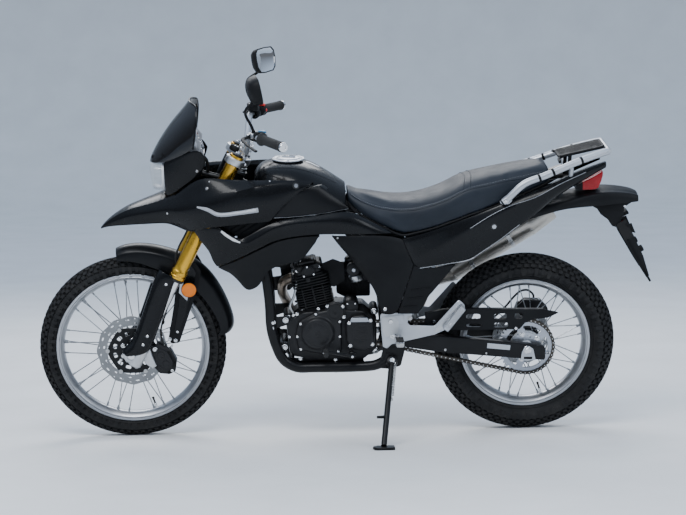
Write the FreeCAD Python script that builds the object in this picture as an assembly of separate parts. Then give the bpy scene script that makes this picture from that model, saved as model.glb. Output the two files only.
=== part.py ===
import FreeCAD, Part
import math
import os

V = FreeCAD.Vector
os.makedirs("parts", exist_ok=True)

# A dual sport motorcycle, millimetres.  Everything is drawn in the bike's own
# upright frame: x forward, y to the rider's left, z up, origin on the ground
# under the rear axle.  At the end each piece is leaned over to the left onto
# the side stand and shifted so that the origin is the bottom centre of the
# whole leaning bike.

# ---------------------------------------------------------------- sizes
LEAN_DEG = 9.0                 # how far it leans on its stand
WHEELBASE = 1440.0
REAR_R, REAR_CROWN = 334.0, 60.0      # tyre outer radius, crown radius
FRONT_R, FRONT_CROWN = 342.0, 42.0
REAR_RIM_R, REAR_RIM_HALF = 242.5, 33.0    # 18 inch rim, flange radius
FRONT_RIM_R, FRONT_RIM_HALF = 280.5, 29.0  # 21 inch rim
AXLE_R = 8.5
RUN_CLEAR = 0.06               # radial clearance of a running fit
CASTER_DEG = 27.0
YOKE_OFFSET = 35.0             # steering axis to fork legs
AXLE_LEAD = 24.0               # fork legs to front axle
LEG_Y = 104.0                  # fork legs, each side
SPROCKET_R, PINION_R = 96.0, 36.0
CHAIN_Y = 76.0
BAR_HALF = 395.0
ORIGIN_X, ORIGIN_Y = 664.5, 181.0      # bottom centre of the leaning bike

LEAN = math.radians(LEAN_DEG)
CASTER = math.radians(CASTER_DEG)
FRONT_Z = FRONT_R + (FRONT_CROWN - REAR_CROWN) * (1 / math.cos(LEAN) - 1)
REAR_AXLE = V(0, 0, REAR_R)
FRONT_AXLE = V(WHEELBASE, 0, FRONT_Z)
SIN, COS = math.sin(LEAN), math.cos(LEAN)

AX_UP = V(-math.sin(CASTER), 0, math.cos(CASTER))     # steering axis, upward
AX_FWD = V(math.cos(CASTER), 0, math.sin(CASTER))     # square to it, forward
STEER_FOOT = FRONT_AXLE - AX_FWD * (YOKE_OFFSET + AXLE_LEAD)  # level of axle


def steer(up, fwd=0.0, y=0.0):
    """A point given along the steering axis, forward of it, and sideways."""
    p = STEER_FOOT + AX_UP * up + AX_FWD * fwd
    return V(p.x, y, p.z)


def ground_z(y):
    """Height, in the upright frame, of the floor under the leaning bike."""
    return (y * SIN - REAR_CROWN * (1 - COS)) / COS


# ---------------------------------------------------------------- shapes
def fuse(shapes):
    out = shapes[0]
    if len(shapes) > 1:
        out = out.multiFuse(shapes[1:])
    return out.removeSplitter()


def rod(a, b, r):
    d = b - a
    return Part.makeCylinder(r, d.Length, a, d)


def pipe(a, b, r, ri):
    return rod(a, b, r).cut(rod(a - (b - a) * 0.1, b + (b - a) * 0.1, ri))


def cone(a, b, r1, r2):
    d = b - a
    return Part.makeCone(r1, r2, d.Length, a, d)


def box(x0, x1, y0, y1, z0, z1):
    return Part.makeBox(x1 - x0, y1 - y0, z1 - z0, V(x0, y0, z0))


def poly(points):
    pts = [V(*p) for p in points]
    return Part.makePolygon(pts + [pts[0]])


def plate(xz, y0, y1):
    """A flat outline given as (x, z) pairs, from y0 to y1."""
    f = Part.Face(poly([(x, y0, z) for x, z in xz]))
    return f.extrude(V(0, y1 - y0, 0))


def tube(points, r, bend=60.0):
    """Round bar along a route of straight runs joined by tangent arcs."""
    pts = [V(*p) for p in points]
    edges, last = [], pts[0]
    for i in range(1, len(pts) - 1):
        a, b, c = pts[i - 1], pts[i], pts[i + 1]
        u, w = (a - b), (c - b)
        lu, lw = u.Length, w.Length
        u.normalize(); w.normalize()
        ang = u.getAngle(w)
        if ang > math.pi - 0.02:
            continue
        t = min(bend / math.tan(ang / 2), 0.45 * lu, 0.45 * lw)
        p, q = b + u * t, b + w * t
        m = u + w
        m.normalize()
        rad = t * math.tan(ang / 2)
        mid = b + m * (rad / math.sin(ang / 2) - rad)
        if (p - last).Length > 1e-3:
            edges.append(Part.LineSegment(last, p).toShape())
        edges.append(Part.Arc(p, mid, q).toShape())
        last = q
    edges.append(Part.LineSegment(last, pts[-1]).toShape())
    wire = Part.Wire(edges)
    d = pts[1] - pts[0]
    circle = Part.Wire([Part.makeCircle(r, pts[0], d)])
    return wire.makePipeShell([circle], True, False)


def rounded(points, r):
    """Closed wire of lines and arcs round a planar polygon."""
    pts = [V(*p) for p in points]
    n, edges, ends = len(pts), [], []
    for i in range(n):
        a, b, c = pts[i - 1], pts[i], pts[(i + 1) % n]
        u, w = a - b, c - b
        lu, lw = u.Length, w.Length
        u.normalize(); w.normalize()
        ang = u.getAngle(w)
        ri = r[i] if isinstance(r, (list, tuple)) else r
        t = min(ri / math.tan(ang / 2), 0.42 * lu, 0.42 * lw)
        rad = t * math.tan(ang / 2)
        m = u + w
        m.normalize()
        ends.append((b + u * t, b + m * (rad / math.sin(ang / 2) - rad), b + w * t))
    for i in range(n):
        p, m, q = ends[i]
        edges.append(Part.Arc(p, m, q).toShape())
        edges.append(Part.LineSegment(q, ends[(i + 1) % n][0]).toShape())
    return Part.Wire(edges)


def loft(wires):
    return Part.makeLoft(wires, True, True)


def ring_section(cx, cz, half, low, high, r, y0=0.0):
    """Six-cornered section across the bike at one x: see tank and seat."""
    return rounded([(cx, y0 - half[0], cz + low), (cx, y0 + half[0], cz + low),
                    (cx, y0 + half[1], cz + (low + high) / 2),
                    (cx, y0 + half[2], cz + high),
                    (cx, y0 - half[2], cz + high),
                    (cx, y0 - half[1], cz + (low + high) / 2)], r)


def mirror(s):
    return s.mirror(V(0, 0, 0), V(0, 1, 0))


def pair(s):
    return Part.makeCompound([s, mirror(s)])


def shell_of(faces):
    sh = Part.makeShell(faces)
    sh.sewShape()
    so = Part.makeSolid(sh)
    if so.Volume < 0:
        so.reverse()
    return so


def tri(a, b, c):
    return Part.Face(Part.makePolygon([a, b, c, a]))


def panel(grid, off):
    """Creased sheet: rows of (x, z, y) corners, thickened by the vector off,
    which may also be a function of the corner."""
    step = off if callable(off) else (lambda p: V(*off))
    top = [[V(x, y, z) for x, z, y in row] for row in grid]
    bot = [[p + step(p) for p in row] for row in top]
    n, m = len(top), len(top[0])
    faces, sense = [], 0.0

    def side_of(a, b, c):
        k = (b - a).cross(c - a).dot(step(a))
        return k if abs(k) > 1.0 else 0.0

    for i in range(n - 1):
        for j in range(m - 1):
            ij = [(i, j), (i, j + 1), (i + 1, j + 1), (i + 1, j)]
            a, b, c, d = [top[u][v] for u, v in ij]
            ways = [((0, 1, 2), (0, 2, 3)), ((0, 1, 3), (1, 2, 3))]
            if (a - c).Length > (b - d).Length:
                ways.reverse()
            best = None
            for way in ways:
                ks = [side_of(*[(a, b, c, d)[q] for q in t]) for t in way]
                if not sense:
                    sense = ks[0] or ks[1]
                if all(k * sense >= 0 for k in ks):
                    best = way
                    break
            if best is None:
                raise ValueError("sheet folds back at row %d column %d" % (i, j))
            for g in (top, bot):
                for t in best:
                    p, q, r = [g[ij[w][0]][ij[w][1]] for w in t]
                    if min((p - q).Length, (q - r).Length, (r - p).Length) > 1e-6:
                        faces.append(tri(p, q, r))
    rim = [(0, j) for j in range(m)] + [(i, m - 1) for i in range(1, n)] + \
          [(n - 1, j) for j in range(m - 2, -1, -1)] + [(i, 0) for i in range(n - 2, 0, -1)]
    for k in range(len(rim)):
        i, j = rim[k]
        i2, j2 = rim[(k + 1) % len(rim)]
        a, b, c, d = top[i][j], top[i2][j2], bot[i2][j2], bot[i][j]
        if (a - b).Length < 1e-6:
            continue
        faces += [tri(a, b, c), tri(a, c, d)]
    return shell_of(faces)


def revolve_y(profile, centre):
    """Turn a closed wire of (radius, y) round the axle through centre."""
    f = Part.Face(profile(centre))
    return f.revolve(centre, V(0, 1, 0), 360)


parts = {}


# ---------------------------------------------------------------- wheels
def tyre(centre, R, crown, rim_r, rim_half):
    zc = centre.z
    half = crown + 1.0

    def prof(c):
        r_bead, r_wide = rim_r - 12.6, (R + rim_r) / 2 - 4
        y_b = rim_half - 5.3
        P = lambda r, y: V(c.x, y, zc + r)
        a_sh = math.radians(72)                       # tread shoulder
        top, sh = R - crown + crown * math.cos(a_sh), crown * math.sin(a_sh)
        e = [Part.Arc(P(top, -sh), P(R, 0), P(top, sh)).toShape(),
             Part.Arc(P(top, sh), P(r_wide, half), P(rim_r + 1.5, rim_half - 4.3)).toShape(),
             Part.LineSegment(P(rim_r + 1.5, rim_half - 4.3), P(r_bead, y_b)).toShape(),
             Part.LineSegment(P(r_bead, y_b), P(r_bead, y_b - 12)).toShape(),
             Part.LineSegment(P(r_bead, y_b - 12), P(rim_r + 4, y_b - 12)).toShape(),
             Part.Arc(P(rim_r + 4, y_b - 12), P(R - 22, 0), P(rim_r + 4, -y_b + 12)).toShape(),
             Part.LineSegment(P(rim_r + 4, -y_b + 12), P(r_bead, -y_b + 12)).toShape(),
             Part.LineSegment(P(r_bead, -y_b + 12), P(r_bead, -y_b)).toShape(),
             Part.LineSegment(P(r_bead, -y_b), P(rim_r + 1.5, 4.3 - rim_half)).toShape(),
             Part.Arc(P(rim_r + 1.5, 4.3 - rim_half), P(r_wide, -half), P(top, -sh)).toShape()]
        return Part.Wire(e)
    return revolve_y(prof, centre)


def rim(centre, rim_r, rim_half):
    def prof(c):
        P = lambda r, y: (c.x, y, c.z + r)
        h, r = rim_half, rim_r
        pts = [P(r, h), P(r, h - 4), P(r - 13, h - 5), P(r - 16, h - 12), P(r - 24, 8),
               P(r - 24, -8), P(r - 16, -h + 12), P(r - 13, -h + 5), P(r, -h + 4), P(r, -h),
               P(r - 15, -h), P(r - 20, -h + 8), P(r - 29, -9), P(r - 29, 9),
               P(r - 20, h - 8), P(r - 15, h)]
        return poly(pts)
    return revolve_y(prof, centre)


def hub(centre, half, flange_r, barrel_r):
    c = centre
    def prof(c):
        P = lambda r, y: (c.x, y, c.z + r)
        b = AXLE_R + RUN_CLEAR
        return poly([P(b, half), P(barrel_r + 4, half), P(flange_r, half - 12), P(flange_r, half - 18),
                     P(barrel_r, half - 22), P(barrel_r - 4, 0), P(barrel_r, -half + 22),
                     P(flange_r, -half + 18), P(flange_r, -half + 12), P(barrel_r + 4, -half), P(b, -half)])
    return revolve_y(prof, centre)


def spokes(centre, half, flange_r, rim_r, count=36, r=1.9):
    """Crossed wire spokes, four sets: (side, trailing or leading)."""
    out = []
    n = count // 4
    for side in (1, -1):
        for lead in (1, -1):
            for k in range(n):
                base = 2 * math.pi * (k + (0.25 if side < 0 else 0) + 0.0) / n
                a_hub = base + lead * 0.08
                a_rim = base + lead * 0.62 + (0.0 if side > 0 else 0.0)
                yh = side * (half - 15 - (2.4 if lead > 0 else -2.4))
                yr = side * (3.0 if lead > 0 else 7.4)
                rh, rr = flange_r - 4.0, rim_r - 27.0
                a = centre + V(math.cos(a_hub) * rh, yh, math.sin(a_hub) * rh)
                b = centre + V(math.cos(a_rim) * rr, yr, math.sin(a_rim) * rr)
                out.append(rod(a, b, r))
    return out


def disc(centre, y, r_out, r_in, t, arms, r_hub, hole_r):
    c = V(centre.x, y - t / 2, centre.z)
    ring = Part.makeCylinder(r_out, t, c, V(0, 1, 0)).cut(
        Part.makeCylinder(r_in, t, c, V(0, 1, 0)))
    carrier = Part.makeCylinder(r_hub, t, c, V(0, 1, 0)).cut(
        Part.makeCylinder(hole_r, t, c, V(0, 1, 0)))
    out = [ring, carrier]
    for k in range(arms):
        a = 2 * math.pi * k / arms
        d = V(math.cos(a), 0, math.sin(a))
        p = c + d * (r_hub - 6)
        q = c + d * (r_in + 6)
        s = V(-d.z, 0, d.x) * 9
        out.append(Part.Face(Part.makePolygon([p + s, q + s, q - s, p - s, p + s])).extrude(V(0, t, 0)))
    return fuse(out)


REAR_HUB_HALF, FRONT_HUB_HALF = 52.0, 48.0
parts["rear_tyre"] = tyre(REAR_AXLE, REAR_R, REAR_CROWN, REAR_RIM_R, REAR_RIM_HALF)
parts["rear_rim"] = rim(REAR_AXLE, REAR_RIM_R, REAR_RIM_HALF)
parts["rear_hub"] = hub(REAR_AXLE, REAR_HUB_HALF, 62, 42)
parts["rear_spokes"] = Part.makeCompound(spokes(REAR_AXLE, REAR_HUB_HALF, 62, REAR_RIM_R))
parts["front_tyre"] = tyre(FRONT_AXLE, FRONT_R, FRONT_CROWN, FRONT_RIM_R, FRONT_RIM_HALF)
parts["front_rim"] = rim(FRONT_AXLE, FRONT_RIM_R, FRONT_RIM_HALF)
parts["front_hub"] = hub(FRONT_AXLE, FRONT_HUB_HALF, 46, 32)
parts["front_spokes"] = Part.makeCompound(spokes(FRONT_AXLE, FRONT_HUB_HALF, 46, FRONT_RIM_R))
FRONT_DISC_Y = 58.0
parts["front_disc"] = fuse([
    disc(FRONT_AXLE, FRONT_DISC_Y, 131, 92, 4, 6, 60, 20),
    pipe(V(WHEELBASE, 48, FRONT_Z), V(WHEELBASE, FRONT_DISC_Y, FRONT_Z), 42, 20)])
parts["rear_sprocket"] = fuse([
    disc(REAR_AXLE, CHAIN_Y, SPROCKET_R - 8, 68, 6, 5, 44, 22),
    pipe(V(0, REAR_HUB_HALF, REAR_R), V(0, CHAIN_Y, REAR_R), 44, 22)])
parts["rear_disc"] = fuse([
    disc(REAR_AXLE, -64, 110, 84, 5, 5, 48, 20),
    pipe(V(0, -64, REAR_R), V(0, -REAR_HUB_HALF, REAR_R), 48, 20)])

# ---------------------------------------------------------------- frame
HEAD_LOW, HEAD_HIGH = 610.0, 770.0        # along the steering axis
SWING_PIVOT = V(485, 0, 378)
TUBE_R = 16.0
head = pipe(steer(HEAD_LOW), steer(HEAD_HIGH), 30, 18.0)
head_core = rod(steer(HEAD_LOW - 5), steer(HEAD_HIGH + 5), 18.0)
down_route = [(1084, 14, 898), (1004, 56, 796), (946, 84, 630), (932, 98, 430), (905, 98, 330),
              (850, 98, 276), (600, 98, 276), (528, 102, 296), (502, 104, 330)]
spar_route = [(1056, 14, 962), (950, 40, 900), (820, 56, 850), (690, 72, 818), (560, 92, 760),
              (512, 100, 650), (500, 104, 470)]
frame_bits = [head]
for side in (1, -1):
    frame_bits.append(tube([(x, side * y, z) for x, y, z in down_route], 19.0, 110))
    frame_bits.append(tube([(x, side * y, z) for x, y, z in spar_route], TUBE_R, 90))
    plate_xz = [(530, 500), (470, 505), (446, 440), (448, 340), (470, 276), (545, 272)]
    y0, y1 = (106, 118) if side > 0 else (-118, -106)
    frame_bits.append(plate(plate_xz, y0, y1))
# cross tubes: (x, z, half width)
for x, z, half in ((640, 276, 96), (860, 278, 96), (500, 470, 104), (940, 560, 88)):
    frame_bits.append(rod(V(x, -half, z), V(x, half, z), 12))
frame_bits.append(tube([(558, 92, 758), (505, 62, 746), (505, -62, 746), (558, -92, 758)], 11, 40))
for y0, y1 in ((17, 25), (-25, -17)):      # ears that hold the top of the shock
    frame_bits.append(plate([(488, 702), (512, 702), (512, 748), (496, 750)], y0, y1))
    frame_bits.append(rod(V(500, min(y0, y1), 718), V(500, max(y0, y1), 718), 9))
pivot_hole = rod(V(SWING_PIVOT.x, -140, SWING_PIVOT.z), V(SWING_PIVOT.x, 140, SWING_PIVOT.z), 10.0)
pivot_bolt = rod(V(485, -123.8, 378), V(485, 123.8, 378), 9.9)
STAND_P = V(495, 140, 306)                 # middle of the stand's eye
STAND_AX = V(0, 0.806, 0.592)
STAND_AX.normalize()
stand_bolt = fuse([rod(STAND_P - STAND_AX * 36, STAND_P - STAND_AX * 8, 18),
                   rod(STAND_P - STAND_AX * 12, STAND_P + STAND_AX * 12, 6.0),
                   rod(STAND_P + STAND_AX * 8, STAND_P + STAND_AX * 15, 11)])
cowl = [rod(V(1040, s * 14, 952), V(1208, s * 15, 1000), 7) for s in (1, -1)]
cowl += [rod(V(1150, -15, 983.5), V(1150, 15, 983.5), 6),
         tube([(1150, 0, 983.5), (1152, 0, 1030), (1180, 0, 1062)], 6, 30)]
frame = fuse(frame_bits + [pivot_bolt, stand_bolt]).cut(head_core)
parts["main_frame"] = frame

rail = [(552, 88, 770), (380, 94, 784), (160, 96, 850), (-60, 90, 926), (-180, 68, 948)]
strut = [(515, 108, 560), (330, 106, 690), (60, 96, 878)]
sub = []
for side in (1, -1):
    sub.append(tube([(x, side * y, z) for x, y, z in rail], 12.5, 120))
    sub.append(tube([(x, side * y, z) for x, y, z in strut], 11.0, 120))
for x, z, half in ((380, 784, 92), (60, 884, 92), (-150, 942, 72)):
    sub.append(rod(V(x, -half, z), V(x, half, z), 10))
parts["subframe"] = fuse(sub).cut(frame)

# swingarm: tapered box beams, cross tube, pivot tube with its bolt
arm = []
for side in (1, -1):
    secs = []
    for x, z, h, y0, y1 in ((-62, 318, 23, 92, 116), (-20, 326, 30, 90, 118), (320, 361, 31, 90, 118),
                            (440, 372, 26, 88, 104)):
        secs.append(poly([(x, side * y0, z - h), (x, side * y1, z - h), (x, side * y1, z + h), (x, side * y0, z + h)]))
    arm.append(loft(secs))
arm.append(rod(V(405, -96, 369), V(405, 96, 369), 25))
for y0, y1 in ((17, 25), (-25, -17)):      # ears that hold the foot of the shock
    arm.append(plate([(382, 372), (426, 372), (418, 426), (388, 426)], y0, y1))
for side in (1, -1):
    arm.append(plate([(400, 350), (400, 396), (470, 396), (490, 380), (470, 358)],
                     *((88, 103) if side > 0 else (-103, -88))))
arm.append(rod(V(485, -103, 378), V(485, 103, 378), 20))
swing = fuse(arm)
swing = swing.cut(rod(V(0, -130, REAR_R), V(0, 130, REAR_R), AXLE_R + 0.05)).cut(pivot_hole)
parts["swingarm"] = swing
parts["rear_axle"] = fuse([rod(V(0, -132, REAR_R), V(0, 132, REAR_R), AXLE_R),
                           rod(V(0, 118.2, REAR_R), V(0, 132, REAR_R), 15),
                           rod(V(0, -132, REAR_R), V(0, -118.2, REAR_R), 15)])
shock_a, shock_b = V(402, 0, 414), V(500, 0, 718)
sdir = (shock_b - shock_a)
sdir.normalize()
coils = [rod(shock_a + sdir * (76 + 20 * k), shock_a + sdir * (86 + 20 * k), 35) for k in range(8)]
parts["rear_shock"] = fuse([rod(shock_a, shock_a + sdir * 60, 12), rod(shock_a + sdir * 48, shock_a + sdir * 66, 36),
                            rod(shock_a + sdir * 50, shock_a + sdir * 250, 25),
                            rod(shock_a + sdir * 250, shock_b, 14),
                            rod(shock_a + sdir * 236, shock_a + sdir * 250, 36),
                            rod(shock_a - V(0, 16, 0), shock_a + V(0, 16, 0), 15),
                            rod(shock_b - V(0, 16, 0), shock_b + V(0, 16, 0), 15)] + coils)

# ---------------------------------------------------------------- engine
case = plate([(872, 330), (880, 440), (820, 484), (700, 492), (590, 486), (545, 440), (545, 340),
              (590, 300), (800, 298)], -92, 92)
bay = fuse([Part.makeCylinder(54, 32, V(600, 61, 405), V(0, 1, 0)), box(540, 600, 61, 93, 340, 470)])
case = case.cut(bay)                       # room for the chain at the output shaft
parts["crankcase"] = fuse([case, rod(V(600, 55, 405), V(600, 84, 405), 22)])
CYL_LEAN = math.radians(12)
cyl_up = V(math.sin(CYL_LEAN), 0, math.cos(CYL_LEAN))
cyl_fw = V(math.cos(CYL_LEAN), 0, -math.sin(CYL_LEAN))
CYL_FOOT = V(760, 0, 470)


def block(up0, up1, fw0, fw1, half):
    a = CYL_FOOT
    pts = []
    for u, w in ((up0, fw0), (up0, fw1), (up1, fw1), (up1, fw0)):
        p = a + cyl_up * u + cyl_fw * w
        pts.append((p.x, p.z))
    return plate(pts, -half, half)


cylinder = [block(24, 104, -52, 52, 52)]
for k in range(6):
    cylinder.append(block(26 + 13 * k, 31 + 13 * k, -68, 68, 70))
parts["cylinder"] = fuse(cylinder).cut(case)
headb = [block(104.2, 150, -58, 62, 60), block(150, 186, -50, 50, 52), block(186, 198, -36, 36, 44)]
for k in range(3):
    headb.append(block(108 + 14 * k, 113 + 14 * k, -70, 70, 72))
parts["cylinder_head"] = fuse(headb)
left = fuse([Part.makeCylinder(70, 32, V(762, 92.2, 402), V(0, 1, 0)),
             Part.makeCylinder(52, 40, V(762, 92.2, 402), V(0, 1, 0)),
             Part.makeCylinder(40, 22, V(706, 92.2, 482), V(0, 1, 0)),
             plate([(676, 330), (835, 345), (835, 450), (700, 500)], 92.2, 110)])
sprocket_cover = fuse([Part.makeCylinder(50, 34, V(606, 92.2, 412), V(0, 1, 0)),
                       plate([(552, 352), (640, 346), (640, 430), (552, 470)], 92.2, 116)])
parts["left_covers"] = Part.makeCompound([left, sprocket_cover])
right = fuse([Part.makeCylinder(86, 34, V(640, -126.2, 396), V(0, 1, 0)),
              Part.makeCylinder(62, 26, V(790, -118.2, 400), V(0, 1, 0)),
              plate([(590, 320), (840, 332), (848, 440), (600, 480)], -112, -92.2)])
parts["clutch_cover"] = right
# carburettor behind the cylinder, with its rubber and the air box
carb_a, carb_b = V(692, 0, 618), V(560, 0, 646)
cd = carb_b - carb_a
cd.normalize()
carb = fuse([rod(carb_a, carb_a + cd * 40, 24), rod(carb_a + cd * 36, carb_a + cd * 96, 31),
                             rod(carb_a + cd * 60 + V(0, 0, 60), carb_a + cd * 60 - V(0, 0, 62), 27)])
airbox = loft([rounded([(600, -62, 590), (600, 62, 590), (600, 62, 728), (600, -62, 728)], 14),
                         rounded([(522, -68, 560), (522, 68, 560), (522, 68, 730), (522, -68, 730)], 14)])
parts["intake"] = fuse([carb, airbox, rod(V(602, 0, 637), V(560, 0, 646), 30)])
# exhaust: down between engine and frame, out to the right, low and back up
header_route = [(838, -16, 590), (880, -26, 572), (890, -66, 528), (872, -132, 462), (836, -144, 380),
                (770, -148, 302), (600, -150, 292), (470, -152, 296), (400, -156, 380), (350, -162, 490), (326, -164, 532)]
header = tube(header_route, 19, 60)
parts["exhaust_header"] = header.cut(parts["cylinder_head"])
muf_a, muf_b = V(330, -164, 526), V(-118, -164, 794)
md = muf_b - muf_a
muffler = fuse([cone(muf_a, muf_a + md * 0.16, 28, 50), rod(muf_a + md * 0.16, muf_a + md * 0.8, 50),
                cone(muf_a + md * 0.8, muf_b, 50, 38)])
parts["muffler"] = muffler.cut(rod(muf_b - md * 0.05, muf_b + md * 0.1, 18)).cut(header)

# ---------------------------------------------------------------- bodywork
# tank: x, bottom z, top z, half widths at bottom / middle / top, corner radius
tank_rows = (
    (960, 930, 1000, 50, 80, 52, 18),
    (905, 890, 1026, 95, 150, 90, 34),
    (800, 858, 1022, 105, 165, 96, 36),
    (715, 850, 984, 104, 158, 84, 34),
    (655, 850, 940, 96, 138, 66, 26),
)
tank = loft([ring_section(x, 0, (a, b, c), lo, hi, r) for x, lo, hi, a, b, c, r in tank_rows])
tunnel = plate([(600, 800), (600, 846), (700, 852), (820, 884), (930, 932), (1000, 962), (1000, 800)], -90, 90)
parts["fuel_tank"] = tank.cut(tunnel)
parts["fuel_cap"] = fuse([Part.makeCylinder(46, 10, V(860, 0, 1027), V(0.05, 0, 1)),
                          Part.makeCylinder(40, 16, V(860, 0, 1027), V(0.05, 0, 1))]).cut(tank)

T = 4.0
# upper shroud: rows of (x, z, y) from the top edge down
shroud = [
    [(1290, 893, 100), (1225, 962, 122), (1157, 1001, 138), (1069, 994, 156), (955, 994, 176), (891, 996, 184), (782, 985, 176)],
    [(1290, 880, 108), (1248, 879, 150), (1193, 906, 176), (1086, 944, 208), (976, 978, 214), (880, 970, 206), (750, 968, 184)],
    [(1290, 840, 106), (1236, 836, 150), (1183, 870, 186), (1128, 872, 214), (990, 900, 224), (900, 905, 206), (850, 945, 190)],
    [(1290, 814, 100), (1214, 771, 140), (1177, 825, 176), (1117, 836, 200), (1035, 851, 208), (926, 860, 198), (919, 866, 192)],
]
parts["shrouds"] = pair(panel(shroud, (0, -T, 0)))
# lower fairing: beside the front of the engine
lower = [
    [(1176, 818, 166), (1117, 829, 186), (1035, 844, 196), (926, 852, 186), (860, 850, 178), (760, 860, 172)],
    [(1164, 776, 168), (1110, 782, 196), (1010, 790, 210), (910, 806, 206), (850, 815, 190), (753, 820, 172)],
    [(1137, 732, 160), (1060, 715, 190), (1002, 736, 206), (897, 780, 204), (820, 793, 188), (753, 795, 170)],
]
belly = [
    [(1137, 726, 156), (1058, 709, 182), (1002, 728, 198), (897, 772, 196), (820, 784, 180), (753, 788, 164)],
    [(1142, 688, 150), (1075, 674, 168), (1002, 680, 186), (925, 700, 184), (850, 725, 172), (772, 748, 158)],
    [(1110, 670, 144), (1075, 653, 150), (1023, 601, 156), (955, 612, 158), (830, 680, 158), (790, 722, 152)],
]
up_p, low_p = panel(lower, (0, -T, 0)), panel(belly, (0, -T, 0))
parts["lower_fairings"] = Part.makeCompound([up_p, mirror(up_p), low_p, mirror(low_p)])
# side panel under the tank and seat
side = [
    [(745, 846, 166), (655, 872, 150), (578, 829, 140), (498, 790, 134), (458, 772, 132)],
    [(750, 790, 172), (640, 800, 166), (560, 770, 156), (490, 735, 148), (440, 715, 138)],
    [(705, 768, 162), (620, 755, 172), (545, 725, 164), (480, 695, 154), (425, 688, 141)],
    [(646, 716, 160), (585, 705, 166), (530, 685, 160), (475, 665, 152), (410, 664, 140)],
    [(564, 652, 150), (535, 645, 156), (510, 640, 156), (468, 632, 150), (402, 640, 137)],
    [(552, 590, 146), (530, 588, 152), (505, 585, 152), (466, 578, 149), (392, 612, 136)],
    [(543, 530, 146), (525, 528, 151), (500, 526, 152), (455, 524, 149), (380, 560, 137)],
    [(539, 487, 144), (520, 487, 150), (497, 487, 151), (460, 487, 149), (416, 490, 144)],
]
parts["side_panels"] = pair(panel(side, (0, -T, 0)))
tail = [
    [(455, 764, 132), (358, 786, 132), (180, 846, 134), (108, 876, 132), (-60, 930, 118), (-281, 1011, 66)],
    [(421, 690, 142), (300, 735, 146), (180, 815, 146), (80, 870, 142), (-80, 915, 122), (-281, 1003, 70)],
    [(400, 660, 138), (288, 672, 142), (178, 740, 144), (60, 800, 140), (-80, 872, 122), (-279, 995, 72)],
    [(391, 648, 130), (270, 645, 130), (171, 675, 130), (40, 775, 124), (-100, 880, 104), (-277, 987, 66)],
]
parts["tail_panels"] = pair(panel(tail, (0, -T, 0)))
# nose: centre ridge and two flanks, one moulding
nose = []
for s in (1, -1):
    rows = [
        [(1543, 796, 0), (1442, 868, 0), (1330, 926, 0)],
        [(1541, 793, s * 16), (1436, 878, s * 48), (1330, 922, s * 62)],
        [(1530, 790, s * 30), (1430, 846, s * 74), (1292, 892, s * 100)],
        [(1525, 786, s * 28), (1420, 802, s * 62), (1292, 816, s * 98)],
    ]
    nose.append((rows, s))
gridn = [nose[0][0][3], nose[0][0][2], nose[0][0][1], nose[0][0][0], nose[1][0][1], nose[1][0][2], nose[1][0][3]]
parts["beak"] = panel(gridn, lambda p: V(-3, -math.copysign(min(T, abs(p.y)), p.y), -T))

# windscreen, rows from the bottom edge up, thickened backwards
screen = [
    [(1205, 1100, 128), (1300, 1040, 92), (1352, 1036, 48), (1361, 1038, 0), (1352, 1036, -48), (1300, 1040, -92), (1205, 1100, -128)],
    [(1192, 1150, 126), (1272, 1110, 98), (1322, 1098, 52), (1334, 1104, 0), (1322, 1098, -52), (1272, 1110, -98), (1192, 1150, -126)],
    [(1188, 1205, 116), (1240, 1172, 90), (1274, 1166, 50), (1283, 1180, 0), (1274, 1166, -50), (1240, 1172, -90), (1188, 1205, -116)],
    [(1182, 1244, 100), (1204, 1236, 76), (1224, 1236, 42), (1232, 1232, 0), (1224, 1236, -42), (1204, 1236, -76), (1182, 1244, -100)],
    [(1178, 1262, 82), (1190, 1268, 60), (1198, 1270, 34), (1201, 1268, 0), (1198, 1270, -34), (1190, 1268, -60), (1178, 1262, -82)],
]
parts["windscreen"] = panel(screen, (-4, 0, -1))
parts["headlight"] = loft([
    rounded([(1234 - 0.474 * (z - 930), y, z) for y, z in ((-70, 930), (70, 930), (96, 1000), (60, 1044), (-60, 1044), (-96, 1000))], 16),
    rounded([(1296, -66, 934), (1296, 66, 934), (1296, 92, 1000), (1296, 60, 1044), (1296, -60, 1044), (1296, -92, 1000)], 16)])
parts["headlight_lens"] = loft([
    rounded([(1296.3, -66, 934), (1296.3, 66, 934), (1296.3, 92, 1000), (1296.3, 60, 1040), (1296.3, -60, 1040), (1296.3, -92, 1000)], 16),
    rounded([(1350, -40, 952), (1350, 40, 952), (1350, 50, 1005), (1350, 40, 1034), (1350, -40, 1034), (1350, -50, 1005)], 12)])
cluster = plate([(1224, 1104), (1196, 1142), (1158, 1080), (1166, 1046), (1186, 1050)], -72, 72)
parts["instruments"] = cluster
parts["cowl_stay"] = fuse(cowl).cut(cluster).cut(parts["headlight"]).cut(frame).cut(head_core)

# seat: x, z bottom, z top, half widths (bottom, middle, top), radius
seat_rows = (
    (648, 885, 940, 66, 82, 50, 14),
    (575, 826, 910, 104, 122, 74, 18),
    (480, 800, 890, 116, 134, 86, 20),
    (370, 806, 901, 120, 142, 98, 22),
    (290, 826, 932, 120, 144, 104, 24),
    (215, 850, 968, 118, 142, 108, 26),
    (80, 892, 996, 112, 132, 100, 24),
    (-78, 948, 1016, 92, 108, 80, 18),
)
seat = loft([ring_section(x, 0, (a, b, c), lo, hi, r) for x, lo, hi, a, b, c, r in seat_rows])
seat_hollow = plate([(576, 700), (570, 846), (480, 836), (370, 838), (290, 858), (215, 884), (80, 924), (-72, 976),
                     (-90, 976), (-90, 840), (200, 760), (400, 700)], -110, 110)
parts["seat"] = seat.cut(seat_hollow)
rail_route = [(94, 146, 896), (64, 150, 924), (20, 150, 964), (-49, 142, 986), (-160, 122, 1026), (-286, 92, 1062)]
bars = [tube([(x, s * y, z) for x, y, z in rail_route], 12, 40) for s in (1, -1)]
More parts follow.
